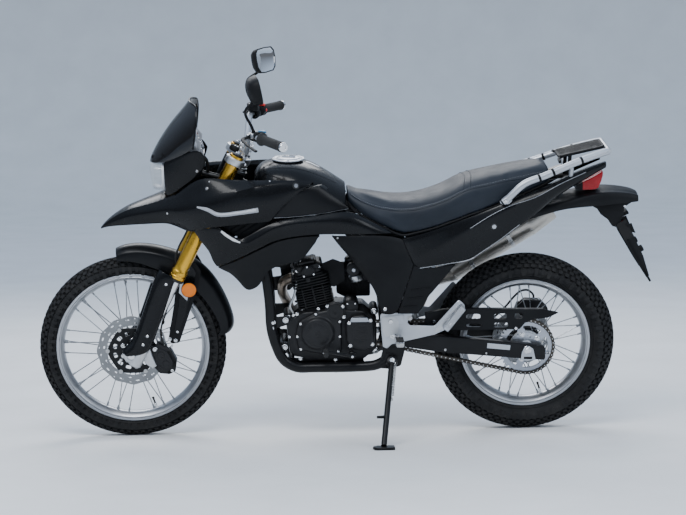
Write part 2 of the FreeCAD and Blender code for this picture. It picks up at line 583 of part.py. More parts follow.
bars.append(rod(V(-286, -92, 1062), V(-286, 92, 1062), 11))
for s in (1, -1):
    bars.append(rod(V(-150, s * 124, 1022), V(-150, s * 76, 940), 9))
parts["grab_rails"] = fuse(bars).cut(parts["subframe"])
parts["tail_panels"] = parts["tail_panels"].cut(Part.makeCompound(
    [rod(V(-150, s * 130, 1032), V(-150, s * 70, 930), 9.5) for s in (1, -1)]))
RACK_C, RACK_T = V(-193, 0, 1060), 10.0         # middle of its top face
rack_fw = V(170, 0, -38)                       # along it, forward and down
rack_fw.normalize()
rack_up = V(-rack_fw.z, 0, rack_fw.x)
rc = [RACK_C + rack_fw * a + V(0, b, 0) - rack_up * RACK_T for a, b in ((87, 62), (87, -62), (-87, -68), (-87, 68))]
rack_s = Part.Face(Part.makePolygon(rc + [rc[0]])).extrude(rack_up * RACK_T)
RACK_HOLES = [(a, b) for a in (-50, 50) for b in (-45, 45)]
for a, b in RACK_HOLES:
    p = RACK_C + rack_fw * a + V(0, b, 0)
    rack_s = rack_s.cut(rod(p - rack_up * 30, p + rack_up * 30, 3.3))
stays = [rod(V(x, s * 58, z0), V(x, s * 58, z1), 7) for s in (1, -1) for x, z0, z1 in ((-150, 940, 1044),)]
parts["luggage_rack"] = fuse([rack_s] + stays).cut(parts["subframe"]).cut(parts["grab_rails"])
fender = [
    [(60, 800, 96), (60, 840, 60), (60, 846, 0), (60, 840, -60), (60, 800, -96)],
    [(-120, 852, 92), (-120, 872, 60), (-120, 878, 0), (-120, 872, -60), (-120, 852, -92)],
    [(-270, 876, 80), (-270, 908, 56), (-270, 914, 0), (-270, 908, -56), (-270, 876, -80)],
    [(-400, 868, 62), (-400, 892, 44), (-400, 896, 0), (-400, 892, -44), (-400, 868, -62)],
]
# number plate arm: a flat plate hanging rearward, with two holes
PLATE_TOP, PLATE_END, PLATE_T = V(-334, 0, 788), V(-450, 0, 574), 6.0
PLATE_HOLE_Y, PLATE_HOLE_AT, PLATE_HOLE_R = 73.0, 150.0, 3.3
pl_dir = PLATE_END - PLATE_TOP
pl_dir.normalize()
pl_n = V(pl_dir.z, 0, -pl_dir.x)
pc = [PLATE_TOP + V(0, -46, 0), PLATE_TOP + V(0, 46, 0), PLATE_TOP + pl_dir * 60 + V(0, 84, 0), PLATE_END + V(0, 84, 0),
      PLATE_END + V(0, -84, 0), PLATE_TOP + pl_dir * 60 + V(0, -84, 0)]
pc = [p - pl_n * (PLATE_T / 2) for p in pc]
plate_arm = Part.Face(Part.makePolygon(pc + [pc[0]])).extrude(pl_n * PLATE_T)
for s in (1, -1):
    hp = PLATE_TOP + pl_dir * PLATE_HOLE_AT + V(0, s * PLATE_HOLE_Y, 0)
    plate_arm = plate_arm.cut(rod(hp - pl_n * 20, hp + pl_n * 20, PLATE_HOLE_R))
bracket = fuse([plate([(-312, 902), (-378, 896), (-352, 816), (-330, 768), (-312, 772)], -48, 48),
                plate_arm])
parts["rear_fender"] = fuse([panel(fender, (0, 0, -5)), bracket])
parts["tail_light"] = loft([poly([(-180, -62, 916), (-180, 62, 916), (-180, 62, 932), (-180, -62, 932)]),
                            poly([(-250, -56, 918), (-250, 56, 918), (-250, 60, 958), (-250, -60, 958)]),
                            poly([(-272, -50, 950), (-272, 50, 950), (-272, 52, 976), (-272, -52, 976)])])

# ---------------------------------------------------------------- footrests, chain
fb = [(538, 483), (414, 489), (440, 450), (430, 438), (330, 436), (252, 532), (230, 500), (262, 452),
      (298, 420), (340, 402), (497, 366), (512, 352), (528, 358)]
brk = plate(fb, 124, 132)
parts["foot_brackets"] = pair(fuse([brk, rod(V(500, 118, 455), V(500, 126, 455), 12), rod(V(490, 118, 400), V(490, 126, 400), 12)]))
peg = fuse([rod(V(470, 132.3, 388), V(470, 150, 388), 14), rod(V(470, 146, 388), V(470, 222, 392), 12)])
ppeg = fuse([rod(V(285, 132.3, 455), V(285, 152, 455), 11), rod(V(286, 148, 450), V(240, 150, 502), 10)]).cut(brk)
parts["footpegs"] = Part.makeCompound([peg, mirror(peg), ppeg, mirror(ppeg)])
gear = fuse([rod(V(640, 118.2, 330), V(640, 150, 330), 8), rod(V(640, 145, 330), V(740, 150, 350), 7),
             rod(V(736, 140, 350), V(736, 196, 352), 9)])
brake = fuse([rod(V(535, -182, 350), V(535, -118.4, 350), 8), rod(V(535, -178, 350), V(740, -186, 356), 7),
              rod(V(736, -216, 356), V(736, -180, 356), 9)])
parts["foot_controls"] = Part.makeCompound([gear, brake])


def chain_loop(c1, r1, c2, r2, y, w, t):
    """Closed band round two sprockets: c1 rear, c2 front, in the xz plane."""
    d = c2 - c1
    D = d.Length
    base = math.atan2(d.z, d.x)
    def outline(q):
        R1, R2 = r1 + q, r2 + q
        b = math.acos((R1 - R2) / D)
        P = lambda c, R, a: V(c.x + R * math.cos(a), y - w / 2, c.z + R * math.sin(a))
        up, dn = base + b, base - b
        e = [Part.LineSegment(P(c1, R1, up), P(c2, R2, up)).toShape(),
             Part.Arc(P(c2, R2, up), P(c2, R2, base), P(c2, R2, dn)).toShape(),
             Part.LineSegment(P(c2, R2, dn), P(c1, R1, dn)).toShape(),
             Part.Arc(P(c1, R1, dn), P(c1, R1, base + math.pi), P(c1, R1, up)).toShape()]
        return Part.Face(Part.Wire(e))
    return outline(t / 2).cut(outline(-t / 2)).extrude(V(0, w, 0))


parts["chain"] = chain_loop(V(0, 0, REAR_R), SPROCKET_R + 4, V(600, 0, 405), PINION_R, CHAIN_Y, 16, 14)
guard_xz = [(372, 470), (300, 484), (226, 485), (-60, 478), (-114, 466), (-78, 446), (-20, 440), (6, 428), (26, 404), (240, 404), (372, 420)]
parts["chain_guard"] = fuse([plate(guard_xz, 87, 90), plate([(372, 470), (300, 484), (226, 485), (-60, 478), (-60, 474), (226, 481), (300, 480), (372, 466)], 69, 88)])
# rear brake caliper above the axle, on a bracket inside the right arm, with its hose
caliper_r = plate([(10, 418), (22, 452), (-8, 478), (-70, 474), (-98, 440), (-84, 410), (-40, 400)], -84, -44)
caliper_r = caliper_r.cut(Part.makeCylinder(115.5, 15, V(0, -71.5, REAR_R), V(0, 1, 0)))
bracket_r = plate([(52, 330), (52, 372), (18, 462), (-70, 470), (-90, 440), (-34, 376), (18, 358), (26, 330)], -89.9, -83.9)
hose_r = tube([(-44, -78, 460), (-43, -78, 487), (-22, -78, 506), (4, -78, 503), (28, -79, 482), (62, -80, 440), (110, -83, 396),
               (165, -84, 377), (236, -84, 381)], 4, 30)
clip_r = box(222, 244, -89.9, -78, 374, 388)
caliper_r = fuse([caliper_r, bracket_r, hose_r, clip_r])
parts["rear_caliper"] = caliper_r

# ---------------------------------------------------------------- front end
stem = rod(steer(HEAD_LOW - 42), steer(HEAD_HIGH + 34), 17.5)


def clamp(up0, up1, r_leg):
    bits = [rod(steer(up0), steer(up1), 26)]
    for s in (1, -1):
        bits.append(rod(steer(up0, YOKE_OFFSET, s * LEG_Y), steer(up1, YOKE_OFFSET, s * LEG_Y), r_leg + 8))
    a = [steer(up0, -16, -44), steer(up0, -16, 44), steer(up0, YOKE_OFFSET - 14, LEG_Y + 8),
         steer(up0, YOKE_OFFSET + 18, LEG_Y - 8), steer(up0, YOKE_OFFSET + 6, 0), steer(up0, YOKE_OFFSET + 18, -LEG_Y + 8),
         steer(up0, YOKE_OFFSET - 14, -LEG_Y - 8)]
    bits.append(Part.Face(Part.makePolygon(a + [a[0]])).extrude(AX_UP * (up1 - up0)))
    return fuse(bits)


LEG_R = 26.0
legs_cut = [rod(steer(300, YOKE_OFFSET, s * LEG_Y), steer(900, YOKE_OFFSET, s * LEG_Y), LEG_R) for s in (1, -1)]
upper_clamp = clamp(HEAD_HIGH + 4, HEAD_HIGH + 30, LEG_R)
lower_clamp = clamp(HEAD_LOW - 44, HEAD_LOW - 12, LEG_R)
risers = [rod(steer(HEAD_HIGH + 30, 12, s * 42), steer(HEAD_HIGH + 78, 12, s * 42), 14) for s in (1, -1)]
BAR_C = steer(HEAD_HIGH + 84, 12)
caps = [box(BAR_C.x - 19, BAR_C.x + 19, s * 42 - 16, s * 42 + 16, BAR_C.z - 18, BAR_C.z + 18) for s in (1, -1)]
bar_route = [(BAR_C.x, -82, BAR_C.z), (BAR_C.x, 82, BAR_C.z)]
r = [(BAR_C.x, 0, BAR_C.z), (BAR_C.x, 92, BAR_C.z), (BAR_C.x - 12, 190, 1158), (BAR_C.x - 42, 260, 1166), (882, BAR_HALF, 1158)]
half_bar = tube(r, 11, 60)
parts["handlebar"] = fuse([half_bar, mirror(half_bar)])
clamps = fuse([upper_clamp, lower_clamp, stem] + risers + caps)
clamps = clamps.cut(legs_cut[0]).cut(legs_cut[1]).cut(rod(V(BAR_C.x, -90, BAR_C.z), V(BAR_C.x, 90, BAR_C.z), 11))
parts["triple_clamps"] = clamps
gold = [rod(steer(330, YOKE_OFFSET, s * LEG_Y), steer(HEAD_HIGH + 40, YOKE_OFFSET, s * LEG_Y), LEG_R) for s in (1, -1)]
parts["fork_tubes"] = Part.makeCompound(gold)
low = []
for s in (1, -1):
    leg = fuse([rod(steer(20, YOKE_OFFSET, s * LEG_Y), steer(329.7, YOKE_OFFSET, s * LEG_Y), 20),
                rod(steer(-34, YOKE_OFFSET, s * LEG_Y), steer(80, YOKE_OFFSET, s * LEG_Y), 27),
                Part.makeCylinder(30, 44, V(WHEELBASE, s * LEG_Y - 22, FRONT_Z), V(0, 1, 0))])
    leg = leg.cut(rod(V(WHEELBASE, -140, FRONT_Z), V(WHEELBASE, 140, FRONT_Z), AXLE_R + 0.05))
    low.append(leg.cut(rod(V(WHEELBASE, s * 126.1, FRONT_Z), V(WHEELBASE, s * 150, FRONT_Z), 16)))
parts["fork_lowers"] = Part.makeCompound(low)
parts["front_axle"] = fuse([rod(V(WHEELBASE, -134, FRONT_Z), V(WHEELBASE, 134, FRONT_Z), AXLE_R),
                            rod(V(WHEELBASE, 126.3, FRONT_Z), V(WHEELBASE, 134, FRONT_Z), 14),
                            rod(V(WHEELBASE, -134, FRONT_Z), V(WHEELBASE, -126.3, FRONT_Z), 14)])
guard = []
for s in (1, -1):
    g = pipe(steer(90, YOKE_OFFSET, s * LEG_Y), steer(320, YOKE_OFFSET, s * LEG_Y), 36, 31.5)
    half_space = Part.makeBox(400, 200, 600, V(-200, -100, -50))
    m = [steer(60, YOKE_OFFSET - 4, s * LEG_Y - 60), steer(60, YOKE_OFFSET - 4, s * LEG_Y + 60),
         steer(60, YOKE_OFFSET - 80, s * LEG_Y + 60), steer(60, YOKE_OFFSET - 80, s * LEG_Y - 60)]
    back = Part.Face(Part.makePolygon(m + [m[0]])).extrude(AX_UP * 300)
    flat_xz = [(1316, 686), (1284, 667), (1362, 440), (1404, 374), (1428, 340), (1447, 368), (1437, 402), (1402, 500)]
    guard.append(fuse([g.cut(back), plate(flat_xz, *((134.6, 138.6) if s > 0 else (-138.6, -134.6)))]))
parts["fork_guards"] = Part.makeCompound(guard)

# front fender: arc band over the tyre, rows across
fen_r = FRONT_R + 26
fen = []
for deg, more in ((78, 0), (95, 4), (110, 9), (128, 17), (145, 11), (158, 4), (172, 0)):
    a = math.radians(deg)
    row = []
    for y, dr in ((58, -26), (50, 2), (26, 14), (0, 17), (-26, 14), (-50, 2), (-58, -26)):
        q = fen_r + dr + more
        row.append((WHEELBASE + q * math.cos(a), FRONT_Z + q * math.sin(a), y))
    fen.append(row)
top = [[V(x, y, z) for x, z, y in row] for row in fen]


def radial_panel(rows, centre, t):
    """Like panel, but thickened away from the axle."""
    tg = [[V(x, y, z) for x, z, y in row] for row in rows]
    def out(p):
        d = V(p.x - centre.x, 0, p.z - centre.z)
        d.normalize()
        return p + d * t
    bg = [[out(p) for p in row] for row in tg]
    n, m, faces = len(tg), len(tg[0]), []
    for g in (tg, bg):
        for i in range(n - 1):
            for j in range(m - 1):
                a, b, c, d = g[i][j], g[i][j + 1], g[i + 1][j + 1], g[i + 1][j]
                faces += [tri(a, b, c), tri(a, c, d)]
    rim_ij = [(0, j) for j in range(m)] + [(i, m - 1) for i in range(1, n)] + \
             [(n - 1, j) for j in range(m - 2, -1, -1)] + [(i, 0) for i in range(n - 2, 0, -1)]
    for k in range(len(rim_ij)):
        i, j = rim_ij[k]
        i2, j2 = rim_ij[(k + 1) % len(rim_ij)]
        a, b, c, d = tg[i][j], tg[i2][j2], bg[i2][j2], bg[i][j]
        faces += [tri(a, b, c), tri(a, c, d)]
    return shell_of(faces)


fender_band = radial_panel(fen, FRONT_AXLE, 3.5)
stays_f = []
for s in (1, -1):
    stay = [(1205, 677), (1245, 672), (1262, 600), (1300, 372), (1270, 372), (1200, 560), (1180, 640)]
    y0, y1 = (58, 63) if s > 0 else (-63, -58)
    stays_f.append(plate(stay, y0, y1))
parts["front_fender"] = fuse([fender_band] + stays_f)
cal = fuse([plate([(1372, 356), (1340, 372), (1300, 350), (1276, 300), (1290, 262), (1340, 262), (1372, 300)], 66, 88),
            plate([(1340, 372), (1300, 350), (1276, 300), (1290, 262), (1320, 262), (1340, 300)], 46, 88)])
cal = cal.cut(Part.makeCylinder(136.5, 16, V(WHEELBASE, FRONT_DISC_Y - 8, FRONT_Z), V(0, 1, 0)))
# brake line from the caliper, up inside the leg and in front of the tube to a clip under the lower yoke
line = [(1322, 77, 352), (1331, 76, 384), (1334, 71, 420), (1316, 70, 480), (1295, 70, 545), (1262, 70, 606), (1265, 70, 646), (1273, 70, 688),
        (1262, 70, 727), (1236, 70, 776)]
top = [steer(548, 74, 68), steer(584, 68, 60)]
line_s = tube(line + [(q.x, q.y, q.z) for q in top], 3.6, 60)
c0 = [steer(574, 53.6, 52), steer(574, 75, 52), steer(574, 75, 68), steer(574, 53.6, 68)]
clip = Part.Face(Part.makePolygon(c0 + [c0[0]])).extrude(AX_UP * 18)
parts["front_caliper"] = fuse([cal, line_s, clip])

# grips, levers and mirrors
gd = V(882, BAR_HALF, 1158) - V(BAR_C.x - 42, 260, 1166)
gd.normalize()
gend = V(882, BAR_HALF, 1158)
grip = fuse([pipe(gend - gd * 128, gend + gd * 4, 17, 11.05), Part.makeCylinder(20, 5, gend - gd * 132, gd).cut(
    rod(gend - gd * 140, gend, 11.05)), Part.makeCylinder(16, 6, gend + gd * 4, gd)])
parts["grips"] = pair(grip)
perch_c = V(BAR_C.x - 40, 232, 1163)
pd = V(BAR_C.x - 42, 260, 1166) - V(BAR_C.x - 12, 190, 1158)
pd.normalize()
bar_room = tube(r, 11.05, 60)
pod = rod(perch_c - pd * 14, perch_c + pd * 14, 19)
lever = tube([(perch_c.x + 14, perch_c.y + 6, perch_c.z - 4), (perch_c.x + 52, 262, 1160), (perch_c.x + 30, 330, 1152),
              (perch_c.x + 2, 400, 1146)], 6, 40)
ctrl = fuse([pod, lever, rod(V(perch_c.x + 4, perch_c.y, perch_c.z), V(perch_c.x + 30, perch_c.y + 6, perch_c.z), 9)]).cut(bar_room)
parts["hand_controls"] = pair(ctrl)
mir = []
base = perch_c + V(10, -4, 12)
stalk = tube([(base.x, base.y, base.z), (base.x + 30, base.y + 14, base.z + 60), (base.x + 22, 312, 1300), (958, 330, 1345)], 5, 60)
glass = [(940, 268, 1306), (936, 392, 1300), (946, 408, 1340), (958, 400, 1386), (960, 290, 1392), (952, 262, 1360)]
back = [(978, 282, 1318), (976, 380, 1314), (982, 394, 1342), (988, 388, 1376), (990, 300, 1380), (984, 276, 1356)]


def flat(points, n):
    """Push points along x so that they lie in one plane."""
    c = V(*points[0])
    return [(c.x - ((y - c.y) * n[1] + (z - c.z) * n[2]) / n[0], y, z) for x, y, z in points]


MN = (0.93, -0.12, -0.24)
shell = loft([rounded(flat(glass, MN), 14), rounded(flat(back, MN), 12)])
# the right mirror is turned in towards the rider
shell_r = mirror(shell)
shell_r.rotate(V(948, -332, 1345), V(0, 0, 1), -27)
shell_r.translate(V(-14, 0, 0))
left_m = fuse([stalk, shell]).cut(ctrl).cut(bar_room)
right_m = fuse([mirror(stalk), shell_r]).cut(mirror(ctrl)).cut(mirror(bar_room))
parts["mirrors"] = Part.makeCompound([left_m, right_m])

# ---------------------------------------------------------------- side stand
FOOT_Y = 402.0
foot = V(540, FOOT_Y - 6, ground_z(FOOT_Y - 6) + 12)
knee = STAND_P + V(6, 34, -22)
stand_leg = tube([STAND_P + V(2, 12, -6), knee, foot], 11, 30)
eye = rod(STAND_P - STAND_AX * 7.7, STAND_P + STAND_AX * 7.7, 20)
# foot pad lies flat on the floor: a slab square to the leaning bike's ground
gn = V(0, -SIN, COS)
gx, gy = V(1, 0, 0), V(0, COS, SIN)
fc = V(540, FOOT_Y, ground_z(FOOT_Y))
pad = [fc + gx * a + gy * b for a, b in ((-38, -22), (30, -26), (40, 0), (30, 26), (-38, 22))]
pad_s = Part.Face(Part.makePolygon(pad + [pad[0]])).extrude(gn * 10)
stand = fuse([stand_leg, eye, pad_s])
stand = stand.cut(rod(STAND_P - STAND_AX * 40, STAND_P - STAND_AX * 7.7, 20)).cut(
    rod(STAND_P + STAND_AX * 7.7, STAND_P + STAND_AX * 22, 14))
parts["side_stand"] = stand.cut(rod(STAND_P - STAND_AX * 40, STAND_P + STAND_AX * 40, 6.06))

# ---------------------------------------------------------------- out
def place(s):
    s = s.copy()
    s.rotate(V(0, 0, 0), V(1, 0, 0), -LEAN_DEG)
    s.translate(V(-ORIGIN_X, -REAR_CROWN * SIN - ORIGIN_Y, REAR_CROWN * (1 - COS)))
    return s


low_c, high_c = V(1e9, 1e9, 1e9), V(-1e9, -1e9, -1e9)
for name in sorted(parts):
    s = place(parts[name])
    bad = [k for k, x in enumerate(s.Solids) if not x.isValid() or x.Volume < 1]
    b = s.BoundBox
    low_c = V(min(low_c.x, b.XMin), min(low_c.y, b.YMin), min(low_c.z, b.ZMin))
    high_c = V(max(high_c.x, b.XMax), max(high_c.y, b.YMax), max(high_c.z, b.ZMax))
    print("%-18s solids %2d faces %4d vol %9.1f cm3 %s" % (name, len(s.Solids), len(s.Faces), s.Volume / 1000, "BAD %s" % bad if bad or not s.Solids else ""))
    s.exportStep("parts/%s.step" % name)
print("box", [round(v, 1) for v in (*low_c, *high_c)], "centre", round((low_c.x + high_c.x) / 2, 1), round((low_c.y + high_c.y) / 2, 1))
print("nodes", len(parts))
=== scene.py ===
import bpy
import bmesh
import math
from mathutils import Vector, Matrix, Quaternion


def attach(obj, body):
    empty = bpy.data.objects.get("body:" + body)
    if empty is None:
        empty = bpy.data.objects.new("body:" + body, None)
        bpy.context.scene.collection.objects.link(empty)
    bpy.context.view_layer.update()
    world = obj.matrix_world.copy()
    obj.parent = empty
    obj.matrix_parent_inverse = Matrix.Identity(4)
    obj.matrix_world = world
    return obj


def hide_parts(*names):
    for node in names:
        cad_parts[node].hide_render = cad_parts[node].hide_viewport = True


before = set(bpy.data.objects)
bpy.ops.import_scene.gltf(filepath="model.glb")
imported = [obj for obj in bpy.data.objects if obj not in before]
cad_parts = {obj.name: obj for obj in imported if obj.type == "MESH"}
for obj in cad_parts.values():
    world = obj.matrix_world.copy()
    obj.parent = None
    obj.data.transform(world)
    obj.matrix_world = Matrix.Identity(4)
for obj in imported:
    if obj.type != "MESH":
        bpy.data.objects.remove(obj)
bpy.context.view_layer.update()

# ------------------------------------------------------------------ frame
# Pieces are drawn in the bike's own upright frame, in millimetres: x forward,
# y to the rider's left, z up, origin on the ground under the rear axle.  They
# are then leaned over onto the side stand.
LEAN = math.radians(9.0)
SIN, COS = math.sin(LEAN), math.cos(LEAN)
CROWN = 60.0
TO_WORLD = (Matrix.Translation((-0.6645, -(CROWN * SIN + 181.0) / 1000, CROWN * (1 - COS) / 1000))
            @ Matrix.Rotation(-LEAN, 4, 'X') @ Matrix.Scale(0.001, 4))
WB, FZ = 1440.0, 342.0 - 18.0 * (1 / COS - 1)
REAR = Vector((0, 0, 334.0))
FRONT = Vector((WB, 0, FZ))
CASTER = math.radians(27.0)
UP = Vector((-math.sin(CASTER), 0, math.cos(CASTER)))
FWD = Vector((math.cos(CASTER), 0, math.sin(CASTER)))
FOOT = FRONT - FWD * 59.0
X = Vector((1, 0, 0))
Y = Vector((0, 1, 0))


def V(*a):
    return Vector(a)


def steer(up, fwd=0.0, y=0.0):
    p = FOOT + UP * up + FWD * fwd
    return Vector((p.x, y, p.z))


# ------------------------------------------------------------------ materials
def new_mat(name):
    m = bpy.data.materials.new(name)
    m.use_nodes = True
    nt = m.node_tree
    nt.nodes.clear()
    out = nt.nodes.new("ShaderNodeOutputMaterial")
    b = nt.nodes.new("ShaderNodeBsdfPrincipled")
    nt.links.new(b.outputs[0], out.inputs[0])
    return m, nt, b


def coords(nt, scale=(1, 1, 1)):
    tc = nt.nodes.new("ShaderNodeTexCoord")
    mp = nt.nodes.new("ShaderNodeMapping")
    mp.inputs["Scale"].default_value = scale
    nt.links.new(tc.outputs["Object"], mp.inputs[0])
    return mp.outputs[0]


def noise(nt, vec, scale, detail=3.0, rough=0.55):
    n = nt.nodes.new("ShaderNodeTexNoise")
    n.inputs["Scale"].default_value = scale
    n.inputs["Detail"].default_value = detail
    n.inputs["Roughness"].default_value = rough
    nt.links.new(vec, n.inputs["Vector"])
    return n.outputs["Fac"]


def ramp(nt, fac, lo, hi, a=0.3, b=0.7):
    r = nt.nodes.new("ShaderNodeMapRange")
    r.inputs["From Min"].default_value = a
    r.inputs["From Max"].default_value = b
    r.inputs["To Min"].default_value = lo
    r.inputs["To Max"].default_value = hi
    nt.links.new(fac, r.inputs["Value"])
    return r.outputs["Result"]


def mix_colour(nt, fac, c1, c2):
    r = nt.nodes.new("ShaderNodeMix")
    r.data_type = 'RGBA'
    r.inputs[6].default_value = (*c1, 1)
    r.inputs[7].default_value = (*c2, 1)
    nt.links.new(fac, r.inputs[0])
    return r.outputs[2]


def bump(nt, b, height, strength, dist):
    n = nt.nodes.new("ShaderNodeBump")
    n.inputs["Strength"].default_value = strength
    n.inputs["Distance"].default_value = dist
    nt.links.new(height, n.inputs["Height"])
    nt.links.new(n.outputs[0], b.inputs["Normal"])
    return n


def material(name, c1, c2, rough, metal=0.0, grain=0.0, grain_scale=300.0, grain_dist=0.0004,
             patch_scale=6.0, coat=0.0, coat_rough=0.05, spec=0.5, stretch=(1, 1, 1), dust=None):
    """Two-tone surface with slow patches, finer speckle, uneven roughness and a grain."""
    m, nt, b = new_mat(name)
    vec = coords(nt, stretch)
    n1 = noise(nt, vec, patch_scale, 4.0)
    col = mix_colour(nt, ramp(nt, n1, 0.0, 1.0), c1, c2)
    if dust:
        n3 = noise(nt, vec, 22.0, 5.0, 0.65)
        mx = nt.nodes.new("ShaderNodeMix")
        mx.data_type = 'RGBA'
        nt.links.new(ramp(nt, n3, 0.0, dust[3], 0.45, 0.8), mx.inputs[0])
        nt.links.new(col, mx.inputs[6])
        mx.inputs[7].default_value = (*dust[:3], 1)
        col = mx.outputs[2]
    nt.links.new(col, b.inputs["Base Color"])
    n2 = noise(nt, vec, patch_scale * 3.1, 3.0)
    nt.links.new(ramp(nt, n2, rough[0], rough[1]), b.inputs["Roughness"])
    b.inputs["Metallic"].default_value = metal
    b.inputs["Specular IOR Level"].default_value = spec
    if coat:
        b.inputs["Coat Weight"].default_value = coat
        b.inputs["Coat Roughness"].default_value = coat_rough
    if grain:
        bump(nt, b, noise(nt, vec, grain_scale, 2.0), grain, grain_dist)
    return m


MAT = {
    "gloss": material("gloss_black", (0.0024, 0.0026, 0.0032), (0.0045, 0.0050, 0.0060), (0.22, 0.32), coat=0.16, coat_rough=0.08, spec=0.14, grain=0.05, grain_scale=40),
    "paint": material("frame_black", (0.0036, 0.0037, 0.0041), (0.0075, 0.0076, 0.0085), (0.30, 0.44), grain=0.15, grain_scale=500, coat=0.06, coat_rough=0.2, spec=0.20),
    "plastic": material("black_plastic", (0.0042, 0.0044, 0.0052), (0.0088, 0.0090, 0.0100), (0.48, 0.62), grain=0.5, grain_scale=900, spec=0.16),
    "gloss2": material("gloss_black_soft", (0.0032, 0.0035, 0.0042), (0.0060, 0.0065, 0.0076), (0.28, 0.38), coat=0.08, coat_rough=0.16, spec=0.14, grain=0.08, grain_scale=60),
    "plastic2": material("moulded_black", (0.0042, 0.0045, 0.0052), (0.0080, 0.0084, 0.0095), (0.38, 0.50), grain=0.25, grain_scale=700, spec=0.15),
    "seat": material("seat_vinyl", (0.008, 0.0115, 0.0175), (0.014, 0.0195, 0.028), (0.46, 0.58), grain=0.6, grain_scale=650, spec=0.28),
    "tyre": material("tyre_rubber", (0.009, 0.009, 0.0095), (0.016, 0.016, 0.0165), (0.66, 0.84), grain=0.5, grain_scale=450, spec=0.20, dust=(0.06, 0.056, 0.05, 0.25)),
    "rim": material("rim_silver", (0.40, 0.41, 0.43), (0.52, 0.53, 0.55), (0.30, 0.42), metal=1.0, grain=0.08, grain_scale=200),
    "silver": material("silver_paint", (0.44, 0.46, 0.49), (0.54, 0.56, 0.59), (0.30, 0.42), metal=0.75, grain=0.15, grain_scale=700),
    "alu": material("cast_aluminium", (0.50, 0.51, 0.52), (0.66, 0.67, 0.68), (0.30, 0.48), metal=1.0, grain=0.3, grain_scale=420),
    "steel": material("bright_steel", (0.42, 0.42, 0.42), (0.58, 0.58, 0.57), (0.22, 0.36), metal=1.0, grain=0.1, grain_scale=300),
    "disc": material("disc_steel", (0.20, 0.205, 0.21), (0.30, 0.305, 0.31), (0.26, 0.36), metal=0.9, grain=0.12, grain_scale=260),
    "steelblue": material("sprocket_steel", (0.34, 0.36, 0.40), (0.46, 0.48, 0.52), (0.26, 0.38), metal=0.9, grain=0.1, grain_scale=260),
    "spoke": material("spoke_wire", (0.24, 0.25, 0.26), (0.36, 0.37, 0.38), (0.24, 0.34), metal=1.0),
    "can": material("brushed_can", (0.40, 0.37, 0.33), (0.54, 0.51, 0.46), (0.30, 0.44), metal=1.0, grain=0.25, grain_scale=260, stretch=(1, 6, 6)),
    "bolt": material("bolt_steel", (0.28, 0.28, 0.285), (0.44, 0.44, 0.45), (0.24, 0.38), metal=1.0),
    "chrome": material("chrome", (0.72, 0.72, 0.72), (0.80, 0.80, 0.80), (0.06, 0.14), metal=1.0),
    "gold": material("gold_anodised", (0.66, 0.36, 0.035), (0.80, 0.46, 0.06), (0.24, 0.34), metal=1.0, grain=0.05, grain_scale=200),
    "engine": material("engine_black", (0.006, 0.006, 0.0066), (0.0125, 0.0125, 0.0135), (0.34, 0.50), grain=0.6, grain_scale=380, spec=0.28, dust=(0.03, 0.028, 0.025, 0.15)),
    "header": material("heated_steel", (0.16, 0.125, 0.095), (0.26, 0.22, 0.18), (0.26, 0.42), metal=0.9, grain=0.2, grain_scale=240),
    "chain": material("chain_steel", (0.035, 0.031, 0.027), (0.10, 0.088, 0.074), (0.36, 0.6), metal=0.8, grain=0.3, grain_scale=300),
    "rubber": material("grip_rubber", (0.008, 0.008, 0.008), (0.015, 0.015, 0.015), (0.66, 0.8), grain=0.4, grain_scale=500),
    "cast": material("rough_iron", (0.05, 0.046, 0.042), (0.10, 0.09, 0.08), (0.5, 0.7), metal=0.6, grain=0.5, grain_scale=300),
    "red": material("red_lens", (0.26, 0.004, 0.007), (0.42, 0.008, 0.014), (0.14, 0.22), coat=0.2, spec=0.25, grain=0.1, grain_scale=120),
    "amber": material("amber_reflector", (0.66, 0.15, 0.006), (0.80, 0.21, 0.010), (0.18, 0.26), coat=0.2, spec=0.25),
    "grey": material("grey_plastic", (0.30, 0.31, 0.33), (0.38, 0.39, 0.41), (0.35, 0.48), grain=0.3, grain_scale=600),
    "white": material("white_trim", (0.62, 0.63, 0.64), (0.70, 0.71, 0.72), (0.25, 0.35)),
    "yellow": material("yellow_plastic", (0.75, 0.5, 0.03), (0.85, 0.6, 0.05), (0.3, 0.4)),
    "bluepl": material("blue_plastic", (0.05, 0.16, 0.30), (0.07, 0.22, 0.38), (0.3, 0.4)),
    "redpl": material("red_plastic", (0.60, 0.015, 0.01), (0.70, 0.03, 0.02), (0.3, 0.4)),
}


def glass_mat(name, colour, rough, alpha, coat=1.0):
    m, nt, b = new_mat(name)
    b.inputs["Base Color"].default_value = (*colour, 1)
    b.inputs["Roughness"].default_value = rough
    b.inputs["Alpha"].default_value = alpha
    b.inputs["Coat Weight"].default_value = coat
    b.inputs["Coat Roughness"].default_value = 0.03
    vec = coords(nt)
    bump(nt, b, noise(nt, vec, 30, 2.0), 0.04, 0.0005)
    return m


MAT["screen"] = glass_mat("smoked_screen", (0.006, 0.006, 0.007), 0.10, 0.93, coat=0.15)
MAT["lens"] = glass_mat("clear_lens", (0.55, 0.58, 0.60), 0.05, 0.22)
MAT["mirror"] = material("mirror_glass", (0.80, 0.82, 0.84), (0.84, 0.86, 0.88), (0.03, 0.06), metal=1.0)

